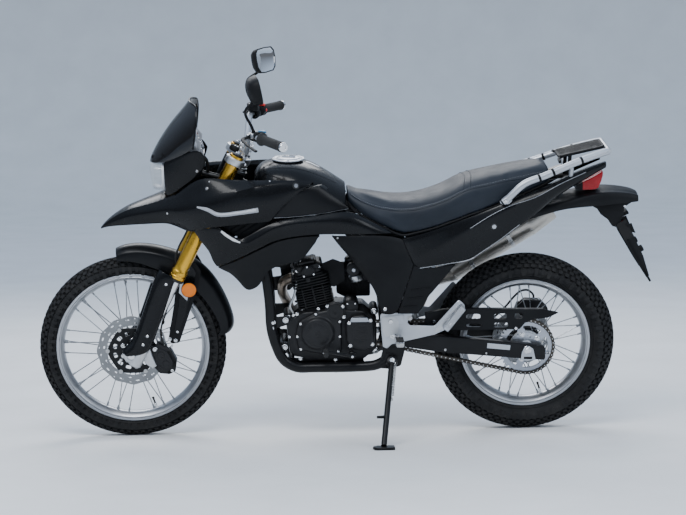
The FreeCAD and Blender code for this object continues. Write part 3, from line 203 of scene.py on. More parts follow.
NODE_MAT = {
    "main_frame": "paint", "cowl_stay": "paint", "subframe": "paint", "swingarm": "paint", "rear_shock": "steel", "crankcase": "engine",
    "cylinder": "engine", "cylinder_head": "engine", "left_covers": "engine", "clutch_cover": "engine", "intake": "rubber",
    "exhaust_header": "steel", "muffler": "silver", "fuel_tank": "gloss", "fuel_cap": "chrome", "shrouds": "gloss",
    "lower_fairings": "gloss", "side_panels": "gloss", "tail_panels": "gloss", "beak": "gloss", "windscreen": "screen",
    "headlight": "plastic", "headlight_lens": "lens", "instruments": "plastic", "seat": "seat", "grab_rails": "silver",
    "luggage_rack": "paint", "rear_fender": "plastic", "tail_light": "red", "foot_brackets": "alu", "footpegs": "steel",
    "foot_controls": "alu", "chain": "chain", "chain_guard": "plastic", "rear_caliper": "engine", "rear_axle": "steel",
    "rear_tyre": "tyre", "rear_rim": "rim", "rear_hub": "alu", "rear_spokes": "chrome", "rear_sprocket": "steel", "rear_disc": "steel",
    "front_tyre": "tyre", "front_rim": "rim", "front_hub": "engine", "front_spokes": "chrome", "front_disc": "steel",
    "triple_clamps": "alu", "fork_tubes": "gold", "fork_lowers": "alu", "front_axle": "steel", "fork_guards": "plastic",
    "front_fender": "gloss", "front_caliper": "engine", "handlebar": "alu", "grips": "rubber", "hand_controls": "plastic",
    "mirrors": "plastic", "side_stand": "paint",
}
for node, mname in NODE_MAT.items():
    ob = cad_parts.get(node)
    if ob is None:
        continue
    ob.data.materials.clear()
    ob.data.materials.append(MAT[mname])


# ------------------------------------------------------------------ mesh kit
class Piece:
    """Collects faces in the bike frame (mm) and becomes one object."""

    def __init__(self, name, body, node=None, slot=None):
        self.name, self.body, self.nodes, self.slot = name, body, node, slot
        self.v, self.f, self.fm, self.mats = [], [], [], []

    def mi(self, mat):
        if mat not in self.mats:
            self.mats.append(mat)
        return self.mats.index(mat)

    def add(self, verts, faces, mat):
        k, m = len(self.v), self.mi(mat)
        self.v += [Vector(p) for p in verts]
        for f in faces:
            self.f.append([k + i for i in f])
            self.fm.append(m)

    # -- primitives
    def grid(self, rows, mat, close_u=False, close_v=False, flip=False):
        n, m = len(rows), len(rows[0])
        faces = []
        for i in range(n if close_u else n - 1):
            for j in range(m if close_v else m - 1):
                a, b = i * m + j, i * m + (j + 1) % m
                c, d = ((i + 1) % n) * m + (j + 1) % m, ((i + 1) % n) * m + j
                faces.append([d, c, b, a] if flip else [a, b, c, d])
        self.add([p for r in rows for p in r], faces, mat)

    def rings(self, rings, mat, cap0=True, cap1=True, closed=False):
        """Loft through rings of points, each in the same order."""
        n, m = len(rings), len(rings[0])
        faces = []
        for i in range(n if closed else n - 1):
            for j in range(m):
                a, b = i * m + j, i * m + (j + 1) % m
                c, d = ((i + 1) % n) * m + (j + 1) % m, ((i + 1) % n) * m + j
                faces.append([a, b, c, d])
        if not closed:
            if cap0:
                faces.append(list(range(m))[::-1])
            if cap1:
                faces.append([(n - 1) * m + j for j in range(m)])
        self.add([p for r in rings for p in r], faces, mat)

    def lathe(self, prof, centre, axis, mat, segs=48, closed=False, start=None):
        """prof: (radius, distance along axis)."""
        ax = Vector(axis).normalized()
        u = start.normalized() if start else ax.orthogonal().normalized()
        w = ax.cross(u)
        c = Vector(centre)
        rows = []
        for k in range(segs):
            a = 2 * math.pi * k / segs
            d = u * math.cos(a) + w * math.sin(a)
            rows.append([c + d * r + ax * t for r, t in prof])
        m = len(prof)
        faces = []
        for i in range(segs):
            i2 = (i + 1) % segs
            for j in range(m if closed else m - 1):
                j2 = (j + 1) % m
                a, b, c2, d2 = i * m + j, i * m + j2, i2 * m + j2, i2 * m + j
                idx = [a]
                if prof[j2][0] > 1e-6 or prof[j][0] > 1e-6:
                    quad = [a, d2, c2, b]
                    if prof[j][0] < 1e-6:
                        quad = [a, c2, b]
                    elif prof[j2][0] < 1e-6:
                        quad = [a, d2, b]
                    faces.append(quad)
        self.add([p for r in rows for p in r], faces, mat)

    def cyl(self, a, b, r, mat, segs=24, r2=None, ch=None):
        """Round bar from a to b with a small chamfer at both ends."""
        a, b = Vector(a), Vector(b)
        L = (b - a).length
        r2 = r if r2 is None else r2
        c = min(r, r2, L) * 0.12 if ch is None else ch
        self.lathe([(0, 0), (r - c, 0), (r, c), (r2, L - c), (r2 - c, L), (0, L)], a, b - a, mat, segs)

    def pipe(self, a, b, r, ri, mat, segs=32, ch=0.6):
        a, b = Vector(a), Vector(b)
        L = (b - a).length
        self.lathe([(ri, 0), (r - ch, 0), (r, ch), (r, L - ch), (r - ch, L), (ri, L)], a, b - a, mat, segs, closed=True)

    def sweep(self, pts, r, mat, segs=14, sub=8, caps=True, squash=(1.0, 1.0), up=None, smooth=True):
        """Tube on a smooth curve through pts; r may be a list, one per point."""
        pts = [Vector(p) for p in pts]
        rr = list(r) if isinstance(r, (list, tuple)) else [r] * len(pts)
        path, rad = spline(pts, rr, sub) if smooth and len(pts) > 2 else (pts, rr)
        rings, prev = [], None
        for i, p in enumerate(path):
            t = (path[min(i + 1, len(path) - 1)] - path[max(i - 1, 0)]).normalized()
            if prev is None:
                n = (Vector(up) - t * Vector(up).dot(t)).normalized() if up else t.orthogonal().normalized()
            else:
                n = (prev - t * prev.dot(t)).normalized()
            prev = n
            b = t.cross(n)
            rings.append([p + (n * math.cos(2 * math.pi * k / segs) * squash[0] +
                               b * math.sin(2 * math.pi * k / segs) * squash[1]) * rad[i] for k in range(segs)])
        self.rings(rings, mat, caps, caps)
        return path

    def prism(self, outline, y0, y1, mat, ch=1.0):
        """Flat outline of (x, z) pairs, thick in y, with chamfered edges."""
        area = sum(outline[i - 1][0] * outline[i][1] - outline[i][0] * outline[i - 1][1] for i in range(len(outline)))
        o = outline if area > 0 else outline[::-1]
        inner = inset(o, ch)
        ya, yb = min(y0, y1), max(y0, y1)
        R = [[V(x, ya, z) for x, z in inner], [V(x, ya + ch, z) for x, z in o],
             [V(x, yb - ch, z) for x, z in o], [V(x, yb, z) for x, z in inner]]
        self.rings(R, mat)

    def slab(self, outline, n, t, mat, ch=1.0):
        """Planar polygon of points, extruded t along n, chamfered."""
        n = Vector(n).normalized()
        pts = [Vector(p) for p in outline]
        c = sum(pts, Vector()) / len(pts)
        u = (pts[1] - pts[0]).normalized()
        w = n.cross(u)
        flat2 = [((p - c).dot(u), (p - c).dot(w)) for p in pts]
        area = sum(flat2[i - 1][0] * flat2[i][1] - flat2[i][0] * flat2[i - 1][1] for i in range(len(flat2)))
        if area < 0:
            flat2 = flat2[::-1]
        inner = inset(flat2, ch)
        f = lambda q, h: [c + u * a + w * b + n * h for a, b in q]
        self.rings([f(inner, 0), f(flat2, ch), f(flat2, t - ch), f(inner, t)], mat)

    def bolt(self, p, n, r, h, mat, kind="hex", washer=None):
        p, n = Vector(p), Vector(n).normalized()
        u = n.orthogonal().normalized()
        if washer:
            self.lathe([(0, 0), (washer, 0), (washer, 1.2), (washer - 0.6, 1.8), (0, 1.8)], p, n, mat, 20)
            p = p + n * 1.6
        if kind == "hex":
            w = n.cross(u)
            ring = lambda rad, hh: [p + (u * math.cos(math.pi * k / 3) + w * math.sin(math.pi * k / 3)) * rad + n * hh for k in range(6)]
            self.rings([ring(r, 0), ring(r, h * 0.82), ring(r * 0.86, h)], mat, cap0=False)
        elif kind == "allen":
            self.lathe([(r, 0), (r, h * 0.8), (r * 0.88, h), (r * 0.55, h), (r * 0.5, h * 0.45), (0, h * 0.4)], p, n, mat, 18)
        else:
            self.lathe([(r, 0), (r * 0.96, h * 0.35), (r * 0.75, h * 0.75), (r * 0.4, h * 0.96), (0, h)], p, n, mat, 18)

    def mirror_y(self):
        """Add the same again on the other side."""
        k, n = len(self.v), len(self.f)
        self.v += [V(p.x, -p.y, p.z) for p in self.v[:k]]
        for i in range(n):
            self.f.append([k + q for q in self.f[i]][::-1])
            self.fm.append(self.fm[i])
        return self

    def make(self, smooth=35.0, bevel=0.0, bevel_seg=2, bevel_angle=40.0, subsurf=0, solid=0.0, solid_off=-1.0,
             crease=None, merge=0.0, rim_mat=None):
        me = bpy.data.meshes.new(self.name)
        me.from_pydata([TO_WORLD @ p for p in self.v], [], self.f)
        for m in self.mats:
            me.materials.append(MAT[m])
        me.polygons.foreach_set("material_index", self.fm)
        me.update()
        bm = bmesh.new()
        bm.from_mesh(me)
        if merge:
            bmesh.ops.remove_doubles(bm, verts=bm.verts, dist=merge / 1000)
        bmesh.ops.recalc_face_normals(bm, faces=bm.faces)
        if crease:
            lay = bm.edges.layers.float.get("crease_edge") or bm.edges.layers.float.new("crease_edge")
            for e in bm.edges:
                w = crease(e)
                if w:
                    e[lay] = w
        bm.to_mesh(me)
        bm.free()
        ob = bpy.data.objects.new(self.name, me)
        bpy.context.scene.collection.objects.link(ob)
        if solid:
            md = ob.modifiers.new("thick", 'SOLIDIFY')
            md.thickness, md.offset = solid / 1000, solid_off
        if subsurf:
            md = ob.modifiers.new("sub", 'SUBSURF')
            md.levels = md.render_levels = subsurf
        if bevel:
            md = ob.modifiers.new("bevel", 'BEVEL')
            md.width, md.segments = bevel / 1000, bevel_seg
            md.limit_method, md.angle_limit = 'ANGLE', math.radians(bevel_angle)
            md.harden_normals = False
        if solid or subsurf or bevel:
            dg = bpy.context.evaluated_depsgraph_get()
            me2 = bpy.data.meshes.new_from_object(ob.evaluated_get(dg))
            me2.name = self.name
            ob.modifiers.clear()
            ob.data = me2
            me = me2
        me.polygons.foreach_set("use_smooth", [True] * len(me.polygons))
        me.set_sharp_from_angle(angle=math.radians(smooth))
        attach(ob, self.body)
        if self.nodes:
            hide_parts(*([self.nodes] if isinstance(self.nodes, str) else self.nodes))
        return ob


def inset(poly2, d):
    """Shrink a counter-clockwise polygon of (a, b) pairs by d."""
    out, n = [], len(poly2)
    for i in range(n):
        (ax, ay), (bx, by), (cx, cy) = poly2[i - 1], poly2[i], poly2[(i + 1) % n]
        u = Vector((bx - ax, by - ay)).normalized()
        w = Vector((cx - bx, cy - by)).normalized()
        nu, nw = Vector((-u.y, u.x)), Vector((-w.y, w.x))
        m = nu + nw
        if m.length < 1e-6:
            m = nu
        m.normalize()
        k = min(d / max(0.35, m.dot(nu)), 3 * d)
        out.append((bx + m.x * k, by + m.y * k))
    return out


def spline(pts, vals, sub):
    """Smooth curve through the points (centripetal), with a value at each."""
    P = [pts[0] * 2 - pts[1]] + pts + [pts[-1] * 2 - pts[-2]]
    Q = [vals[0]] + list(vals) + [vals[-1]]
    out, val = [], []
    for i in range(1, len(P) - 2):
        p0, p1, p2, p3 = P[i - 1:i + 3]
        t0 = 0.0
        t1 = t0 + max((p1 - p0).length, 1e-4) ** 0.5
        t2 = t1 + max((p2 - p1).length, 1e-4) ** 0.5
        t3 = t2 + max((p3 - p2).length, 1e-4) ** 0.5
        for k in range(sub):
            s = k / sub
            t = t1 + (t2 - t1) * s
            a1 = p0 * ((t1 - t) / (t1 - t0)) + p1 * ((t - t0) / (t1 - t0))
            a2 = p1 * ((t2 - t) / (t2 - t1)) + p2 * ((t - t1) / (t2 - t1))
            a3 = p2 * ((t3 - t) / (t3 - t2)) + p3 * ((t - t2) / (t3 - t2))
            b1 = a1 * ((t2 - t) / (t2 - t0)) + a2 * ((t - t0) / (t2 - t0))
            b2 = a2 * ((t3 - t) / (t3 - t1)) + a3 * ((t - t1) / (t3 - t1))
            out.append(b1 * ((t2 - t) / (t2 - t1)) + b2 * ((t - t1) / (t2 - t1)))
            val.append(Q[i] + (Q[i + 1] - Q[i]) * (s * s * (3 - 2 * s)))
    out.append(pts[-1])
    val.append(vals[-1])
    return out, val


def round_poly(pts, r, seg=4):
    """Round the corners of a closed (a, b) outline; r is one number or a list."""
    out, n = [], len(pts)
    for i in range(n):
        a, b, c = Vector(pts[i - 1]), Vector(pts[i]), Vector(pts[(i + 1) % n])
        u, w = a - b, c - b
        lu, lw = u.length, w.length
        u.normalize(); w.normalize()
        ang = u.angle(w)
        ri = r[i] if isinstance(r, (list, tuple)) else r
        t = min(ri / math.tan(ang / 2), 0.45 * lu, 0.45 * lw)
        if ri < 0.01 or t < 0.01:
            out.append((b.x, b.y))
            continue
        p, q = b + u * t, b + w * t
        for k in range(seg + 1):
            s = k / seg
            x = p * (1 - s) ** 2 + b * 2 * s * (1 - s) + q * s * s
            out.append((x.x, x.y))
    return out


# ------------------------------------------------------------------ camera, floor, light
def setup_stage():
    cam = bpy.data.cameras.new("camera")
    cam.sensor_width, cam.lens = 36.0, 2125.85 / 686 * 36.0
    cam.clip_start, cam.clip_end = 0.1, 100
    co = bpy.data.objects.new("camera", cam)
    yaw, pit, rol = -0.0317824, 0.0971811, -0.0147563
    f0 = V(math.sin(yaw), -math.cos(yaw), 0)
    r0 = V(-math.cos(yaw), -math.sin(yaw), 0)
    u0 = V(0, 0, 1)
    fw = f0 * math.cos(pit) - u0 * math.sin(pit)
    u1 = u0 * math.cos(pit) + f0 * math.sin(pit)
    rt = r0 * math.cos(rol) + u1 * math.sin(rol)
    up = u1 * math.cos(rol) - r0 * math.sin(rol)
    m = Matrix((rt, up, -fw)).transposed().to_4x4()
    m.translation = V(0.2469965, 7.6395055, 1.4091756)
    co.matrix_world = m
    bpy.context.scene.collection.objects.link(co)
    bpy.context.scene.camera = co
    # floor and a soft backdrop
    me = bpy.data.meshes.new("floor")
    rows, R = [], 24.0
    prof = [(R, 0.0), (-11.0, 0.0)] + [(-11.0 - 2.5 * math.sin(a * math.pi / 24), 2.5 - 2.5 * math.cos(a * math.pi / 24)) for a in range(1, 13)] + [(-13.5, 9.0)]
    for x in (-15.0, 15.0):
        rows.append([(x, yy, zz) for yy, zz in prof])
    n = len(prof)
    me.from_pydata(rows[0] + rows[1], [], [[i, i + 1, n + i + 1, n + i] for i in range(n - 1)])
    me.polygons.foreach_set("use_smooth", [True] * len(me.polygons))
    fm, nt, b = new_mat("floor_pale")
    vec = coords(nt)
    nt.links.new(mix_colour(nt, ramp(nt, noise(nt, vec, 3.0, 4.0), 0, 1), (0.76, 0.76, 0.75), (0.82, 0.82, 0.81)), b.inputs["Base Color"])
    b.inputs["Roughness"].default_value = 0.8
    bump(nt, b, noise(nt, vec, 220.0, 3.0), 0.15, 0.001)
    me.materials.append(fm)
    fl = bpy.data.objects.new("floor", me)
    bpy.context.scene.collection.objects.link(fl)
    w = bpy.data.worlds.new("world")
    bpy.context.scene.world = w
    w.use_nodes = True
    bg = w.node_tree.nodes["Background"]
    wt = w.node_tree
    tc = wt.nodes.new("ShaderNodeTexCoord")
    sx = wt.nodes.new("ShaderNodeSeparateXYZ")
    wt.links.new(tc.outputs["Generated"], sx.inputs[0])
    wt.links.new(mix_colour(wt, ramp(wt, sx.outputs["Z"], 0.0, 1.0, 0.02, 0.75), (0.15, 0.16, 0.18), (0.70, 0.88, 1.16)), bg.inputs[0])
    bg.inputs[1].default_value = 1.0

    def area(name, loc, target, size, power, col=(1, 1, 1)):
        li = bpy.data.lights.new(name, 'AREA')
        li.shape, li.size, li.size_y, li.energy, li.color = 'RECTANGLE', size[0], size[1], power, col
        lo = bpy.data.objects.new(name, li)
        lo.location = loc
        d = Vector(target) - Vector(loc)
        lo.rotation_euler = d.to_track_quat('-Z', 'Y').to_euler()
        bpy.context.scene.collection.objects.link(lo)

    area("key", (1.4, 3.0, 4.6), (0, 0, 0.5), (3.4, 1.6), 190)
    area("fill", (-3.6, 2.8, 2.6), (0, 0, 0.6), (2.4, 1.4), 50, (0.90, 0.95, 1.0))
    area("rim", (0.4, -3.2, 3.4), (0, 0, 0.7), (3.5, 1.6), 110)


setup_stage()

# ------------------------------------------------------------------ wheels
def polar_sheet(piece, centre, y, radii, n, hole, mat, wave=None):
    """Flat ring of cells in the wheel plane; hole(i, k) leaves a cell out."""
    rows = []
    for i, r in enumerate(radii):
        row = []
        for k in range(n):
            a = 2 * math.pi * k / n
            rr = r + (wave(i, a) if wave else 0.0)
            row.append(V(centre.x + rr * math.cos(a), y, centre.z + rr * math.sin(a)))
        rows.append(row)
    verts = [p for r in rows for p in r]
    faces = []
    for i in range(len(radii) - 1):
        for k in range(n):
            if hole(i, k):
                continue
            a, b = i * n + k, i * n + (k + 1) % n
            faces.append([a, b, b + n, a + n])
    used = sorted({i for f in faces for i in f})
    idx = {v: i for i, v in enumerate(used)}
    piece.add([verts[i] for i in used], [[idx[i] for i in f] for f in faces], mat)


def tyre_piece(name, body, node, C, R, crown, rim_r, rim_half, pitch_n, rows):
    p = Piece(name, body, node)
    groove = 8.5
    half = crown + 1.0
    a_sh = math.radians(72)
    prof = []
    base = crown - groove
    for k in range(-10, 11):
        a = a_sh * k / 10
        prof.append((R - crown + base * math.cos(a), base * math.sin(a) * 1.04))
    top, sh = prof[-1]
    r_wide = (R + rim_r) / 2 - 4
    side = [(top - 6, sh + 5.5), (top - 14, half - 1.4), (r_wide + 4, half - 0.2), (r_wide - 6, half - 0.6), (r_wide - 12, half - 2.4),
            (rim_r + 17, rim_half + 0.5 * (half - rim_half) + 2.0), (rim_r + 12.0, rim_half + 3.6), (rim_r + 10.5, rim_half + 4.4), (rim_r + 8.5, rim_half + 3.6),
            (rim_r + 7.4, rim_half + 0.8), (rim_r + 3.0, rim_half - 2.6), (rim_r - 5, rim_half - 5.6), (rim_r - 12.4, rim_half - 6.0)]
    inner = [(rim_r - 12.4, rim_half - 16), (rim_r + 6, rim_half - 15), ((R + rim_r) / 2, crown * 0.62), (R - 30, crown * 0.3), (R - 26, 0)]
    left = prof[10:] + side + inner
    ring = [(r, t) for r, t in left] + [(r, -t) for r, t in left[::-1][1:-1]]
    p.lathe(ring, C, Y, "tyre", 144, closed=True, start=V(1, 0, 0))

    def block(th, a, lc, wa, h0=-1.5, skew=0.0, lift=0.0, tap=0.82):
        """A tread block: th wheel angle, a across the crown, lc along (mm), wa across (mm)."""
        d = V(math.cos(th), 0, math.sin(th))
        t = V(-math.sin(th), 0, math.cos(th))
        n = d * math.cos(a) + Y * math.sin(a)
        s = -d * math.sin(a) + Y * math.cos(a)
        c0 = C + d * (R - crown) + n * (base + h0)
        hh = groove - h0 + lift - 0.25
        rings = []
        for f, h in ((1.0, 0.0), ((1 + tap) / 2 + 0.03, hh - 1.3), (tap - 0.02, hh)):
            q = []
            for u, w in ((-1, -1), (1, -1), (1, 1), (-1, 1)):
                x, yv = u * lc / 2 * f, w * wa / 2 * f
                q.append(c0 + t * (x + yv * skew) + s * yv + n * h)
            rings.append(q)
        p.rings(rings, "tyre", cap0=False)
    for k in range(pitch_n):
        th = 2 * math.pi * k / pitch_n
        st = 2 * math.pi / pitch_n
        for a_deg, lc, wa, off, skew in rows:
            a = math.radians(a_deg)
            block(th + st * off, a, lc, wa, skew=skew)
            if a_deg:
                block(th + st * off, -a, lc, wa, skew=-skew)
        # shoulder lugs that run down the sidewall
        for sgn in (1, -1):
            d = V(math.cos(th + st * 0.5), 0, math.sin(th + st * 0.5))
            t = V(-math.sin(th + st * 0.5), 0, math.cos(th + st * 0.5))
            w2 = 2 * math.pi * R / pitch_n * (0.27 if k % 2 else 0.22)
            long = 26 if k % 2 else 17
            top_p = C + d * (top + 1.5) + Y * sgn * (sh + 3.0)
            q = []
            for rr, yy, ww in ((top + 3.5, sh - 1.0, 1.0), (top + 1.5, sh + 8.2, 0.94), (top - 9, half + 1.6, 0.9), (top - long, half + 0.9, 0.72), (top - long - 3, half - 2.0, 0.66)):
                q.append([C + d * rr + Y * sgn * yy - t * w2 * ww, C + d * rr + Y * sgn * yy + t * w2 * ww])
            verts = [v for row in q for v in row]
            # inner copies close the lug against the carcass
            inn = [v - Y * sgn * 5.0 - d * 1.0 for v in verts]
            m = len(verts)
            faces = [[2 * i, 2 * i + 1, 2 * i + 3, 2 * i + 2] for i in range(len(q) - 1)]
            faces += [[m + 2 * i, m + 2 * i + 2, 2 * i + 2, 2 * i] for i in range(len(q) - 1)]
            faces += [[2 * i + 1, 2 * i + 3, m + 2 * i + 3, m + 2 * i + 1] for i in range(len(q) - 1)]
            faces += [[0, m, m + 1, 1]]
            e = 2 * (len(q) - 1)
            faces += [[e, e + 1, m + e + 1, m + e]]
            p.add(verts + inn, faces, "tyre")
    return p.make(smooth=32)


tyre_piece("front_tyre_tread", "front_wheel", "front_tyre", FRONT, 342.0, 42.0, 280.5, 29.0, 78,
           [(0, 17, 17, 0.0, 0.0), (21, 18, 12, 0.5, 0.25), (41, 17, 13, 0.0, -0.2), (60, 17, 13, 0.5, 0.15)])
tyre_piece("rear_tyre_tread", "rear_wheel", "rear_tyre", REAR, 334.0, 60.0, 242.5, 33.0, 72,
           [(0, 19, 20, 0.0, 0.0), (17, 19, 14, 0.5, 0.22), (33, 19, 15, 0.0, -0.2), (48, 19, 14, 0.5, 0.15), (63, 18, 15, 0.0, 0.1)])


def rim_piece(name, body, node, C, r, h, spoke_pts):
    p = Piece(name, body, node)
    prof = [(r, h - 0.8), (r - 0.3, h - 3.0), (r - 1.6, h - 4.2), (r - 10, h - 5.0), (r - 14.5, h - 7.5), (r - 15.5, h - 13), (r - 19, h - 16), (r - 24, 8), (r - 24.6, 0)]
    back = [(r - 29.6, 0), (r - 29, 8.0), (r - 27.6, 11.0), (r - 22.0, h - 9.0), (r - 19.0, h - 6.2), (r - 15.2, h - 1.6), (r - 13.6, h - 0.4), (r - 11.5, h - 0.1),
            (r - 9.8, h - 1.3), (r - 7.6, h - 2.2), (r - 4.6, h - 1.4), (r - 3.0, h - 0.2), (r - 1.2, h + 0.0)]
    # outline runs: outer channel half, then inner face half
    outline = prof + [(a, -b) for a, b in prof[:-1]][::-1] + [(a, -b) for a, b in back[1:][::-1]] + [back[0]] + back[1:]
    p.lathe(outline, C, Y, "rim", 128, closed=True, start=V(1, 0, 0))
    # spoke nipples and valve
    for q, d in spoke_pts:
        n = (q - C).normalized()
        p.lathe([(0, -3), (4.6, -3), (5.0, 0.5), (3.6, 1.6), (3.3, 12.5), (2.6, 14.0), (0, 14.0)], q, d, "spoke", 8)
    a = math.radians(252)
    n = V(math.cos(a), 0, math.sin(a))
    vb = C + n * (r - 29)
    p.lathe([(0, 2), (7.0, 2), (7.0, -3.5), (4.6, -4.0), (4.4, -18), (0, -18)], vb, n, "chrome", 12)
    p.lathe([(0, -17), (3.6, -17), (3.6, -34), (4.4, -34.5), (4.4, -42), (0, -43)], vb, n, "rubber", 12)
    p.make(smooth=38)


def wheel_spokes(C, half, flange_r, rim_r, count=36):
    out, n = [], count // 4
    for side in (1, -1):
        for lead in (1, -1):
            for k in range(n):
                b = 2 * math.pi * (k + (0.25 if side < 0 else 0)) / n
                ah, ar = b + lead * 0.08, b + lead * 0.62
                yh = side * (half - 15 - (2.4 if lead > 0 else -2.4))
                yr = side * (3.0 if lead > 0 else 7.4)
                rh, rr = flange_r - 4.0, rim_r - 27.0
                out.append((C + V(math.cos(ah) * rh, yh, math.sin(ah) * rh), C + V(math.cos(ar) * rr, yr, math.sin(ar) * rr), side, lead))
    return out


for nm, C, half, fl, rr, hh in (("front", FRONT, 48.0, 46.0, 280.5, 29.0), ("rear", REAR, 52.0, 62.0, 242.5, 33.0)):
    sp = wheel_spokes(C, half, fl, rr)
    rim_piece(nm + "_rim_silver", nm + "_wheel", nm + "_rim", C, rr, hh, [(b + (a - b).normalized() * 1.0, (a - b).normalized()) for a, b, s, l in sp])
    p = Piece(nm + "_wire_spokes", nm + "_wheel", nm + "_spokes")
    for a, b, side, lead in sp:
        d = (b - a).normalized()
        out = V(0, side * (4.4 if lead < 0 else -4.4), 0)
        p.sweep([a + out * 1.1 - d * 2, a + out * 0.9, a + d * 4 + out * 0.25, a + d * 14, b - d * 10], 1.9, "spoke", 7, 4)
        p.bolt(a + out * 1.1, out, 3.4, 1.6, "spoke", "round")
    p.make(smooth=50)


def hub_piece(name, body, node, C, half, fr, br, mat, lip):
    p = Piece(name, body, node)
    b = 8.9
    prof = [(b, half), (br - 10, half), (br - 8, half - 1.5), (br + 3, half - 1.5), (br + 5, half - 3.5), (br + 5, half - 9), (fr - 3, half - 11.6), (fr - 0.6, half - 12.4), (fr, half - 13.4),
            (fr, half - 17), (fr - 1, half - 18), (fr - 8, half - 18.6), (br + 4, half - 22), (br, half - 27), (br - 3, half - 34), (br - 4, 0)]
    full = prof + [(r, -t) for r, t in prof[:-1]][::-1]
    p.lathe(full, C, Y, mat, 72, closed=True, start=V(1, 0, 0))
    # cooling ribs and spoke seats
    for s in (1, -1):
        for k in range(18):
            a = 2 * math.pi * (k + 0.5) / 18
            q = C + V(math.cos(a) * (fr - 4), s * (half - 12.2), math.sin(a) * (fr - 4))
            p.lathe([(0, 0), (4.2, 0), (4.0, 1.3), (2.4, 1.0), (0, 0.9)], q, V(0, s, 0), mat, 10)
    for t in (-16, -8, 0, 8, 16):
        p.lathe([(br - 5, t - 1.6), (br + 1.0, t - 1.2), (br + 1.0, t + 1.2), (br - 5, t + 1.6)], C, Y, mat, 48, start=V(1, 0, 0))
    p.make(smooth=35)


hub_piece("front_hub_cast", "front_wheel", "front_hub", FRONT, 48.0, 46.0, 32.0, "engine", 0)
hub_piece("rear_hub_cast", "rear_wheel", "rear_hub", REAR, 52.0, 62.0, 42.0, "engine", 0)


def make_sheet(p, t, sub=2, smooth=35, edge=0.0):
    """Round the holes with subdivision first, then give the sheet its thickness."""
    ob = p.make(smooth=smooth)
    md = ob.modifiers.new("sub", 'SUBSURF')
    md.levels = md.render_levels = sub
    md.boundary_smooth = 'ALL'
    md = ob.modifiers.new("thick", 'SOLIDIFY')
    md.thickness, md.offset = t / 1000, 0.0
    if edge:
        md = ob.modifiers.new("bevel", 'BEVEL')
        md.width, md.segments, md.limit_method, md.angle_limit = edge / 1000, 1, 'ANGLE', math.radians(50)
    dg = bpy.context.evaluated_depsgraph_get()
    me2 = bpy.data.meshes.new_from_object(ob.evaluated_get(dg))
    ob.modifiers.clear()
    ob.data = me2
    me2.polygons.foreach_set("use_smooth", [True] * len(me2.polygons))
    me2.set_sharp_from_angle(angle=math.radians(smooth))
    return ob


# front disc: grey wave ring with slots, black carrier with round windows
FD_Y = 58.0
p = Piece("front_disc_ring", "front_wheel", "front_disc", "steel")
wave = lambda amp, n, last: (lambda i, a: amp * math.cos(n * a) if i == last else 0.0)
radii = [93, 97, 101, 107, 110, 113, 119, 123, 128.5]
polar_sheet(p, FRONT, FD_Y, radii, 96, lambda i, k: (i == 2 and k % 8 in (1, 2)) or (i == 5 and k % 8 in (5, 6)) or (i == 6 and k % 8 == 1), "disc",
            lambda i, a: (2.2 * math.cos(12 * a) if i == 8 else (1.2 * math.cos(12 * a) if i == 7 else (-1.4 * math.cos(6 * a) if i == 0 else 0))))
make_sheet(p, 4.0, 1)
p = Piece("front_disc_carrier", "front_wheel", None, "engine_black")
radii = [21, 34, 44, 50, 58, 72, 80, 88]
polar_sheet(p, FRONT, FD_Y + 1.5, radii, 60, lambda i, k: (i == 1 and k % 10 in (2, 3, 4)) or (i in (4,) and k % 5 in (1, 2, 3)) , "paint",
            lambda i, a: 3.0 * math.cos(6 * a) if i == 7 else 0.0)
make_sheet(p, 6.0, 1)
p = Piece("front_disc_bobbins", "front_wheel", None, "steel")
for k in range(6):
    a = 2 * math.pi * k / 6 + 0.0
    d = V(math.cos(a), 0, math.sin(a))
    p.lathe([(0, -6), (8, -6), (8, 6.0), (7.2, 7.0), (3.2, 7.0), (2.8, 5.8), (0, 5.8)], FRONT + d * 91 + Y * (FD_Y), Y, "steel", 20)
for k in range(6):
    a = 2 * math.pi * (k + 0.5) / 6
    d = V(math.cos(a), 0, math.sin(a))
    p.bolt(FRONT + d * 39 + Y * (FD_Y + 4.5), Y, 6.2, 6, "chrome", "allen", washer=8.5)
p.lathe([(9, 40), (31, 40), (32, 41), (32, 60.5), (30, 62.5), (16, 62.5), (14.5, 61), (9, 61)], V(WB, 0, FZ), Y, "alu", 40, closed=True)
p.make(smooth=35)

# rear disc, right side
p = Piece("rear_disc_ring", "rear_wheel", "rear_disc", "steel")
radii = [85, 89, 93, 98, 102, 107]
polar_sheet(p, REAR, -64.0, radii, 80, lambda i, k: (i == 1 and k % 8 in (1, 2)) or (i == 3 and k % 8 in (5, 6)), "disc",
            lambda i, a: (2.0 * math.cos(10 * a) if i == 5 else 0))
make_sheet(p, 4.0, 1)
p = Piece("rear_disc_carrier", "rear_wheel", None, "steel")
polar_sheet(p, REAR, -64.0, [21, 34, 44, 52, 66, 78, 87], 50, lambda i, k: (i == 3 and k % 10 in (2, 3, 4, 5, 6, 7)) or (i == 4 and k % 10 in (3, 4, 5, 6)), "steel")
make_sheet(p, 4.2, 1)
p = Piece("rear_disc_bolts", "rear_wheel", None, "steel")
for k in range(5):
    a = 2 * math.pi * (k + 0.5) / 5
    p.bolt(REAR + V(math.cos(a), 0, math.sin(a)) * 39 - Y * 66, -Y, 6.2, 6, "chrome", "allen", washer=8.5)
p.lathe([(9, -66), (30, -66), (31, -65), (31, -48), (9, -48)], V(0, 0, 334), Y, "alu", 36, closed=True)
p.make(smooth=35)

# rear sprocket: teeth, rounded windows, five bolts
CH_Y, N_T = 76.0, 40
p = Piece("rear_sprocket_toothed", "rear_wheel", "rear_sprocket")
n = N_T * 6


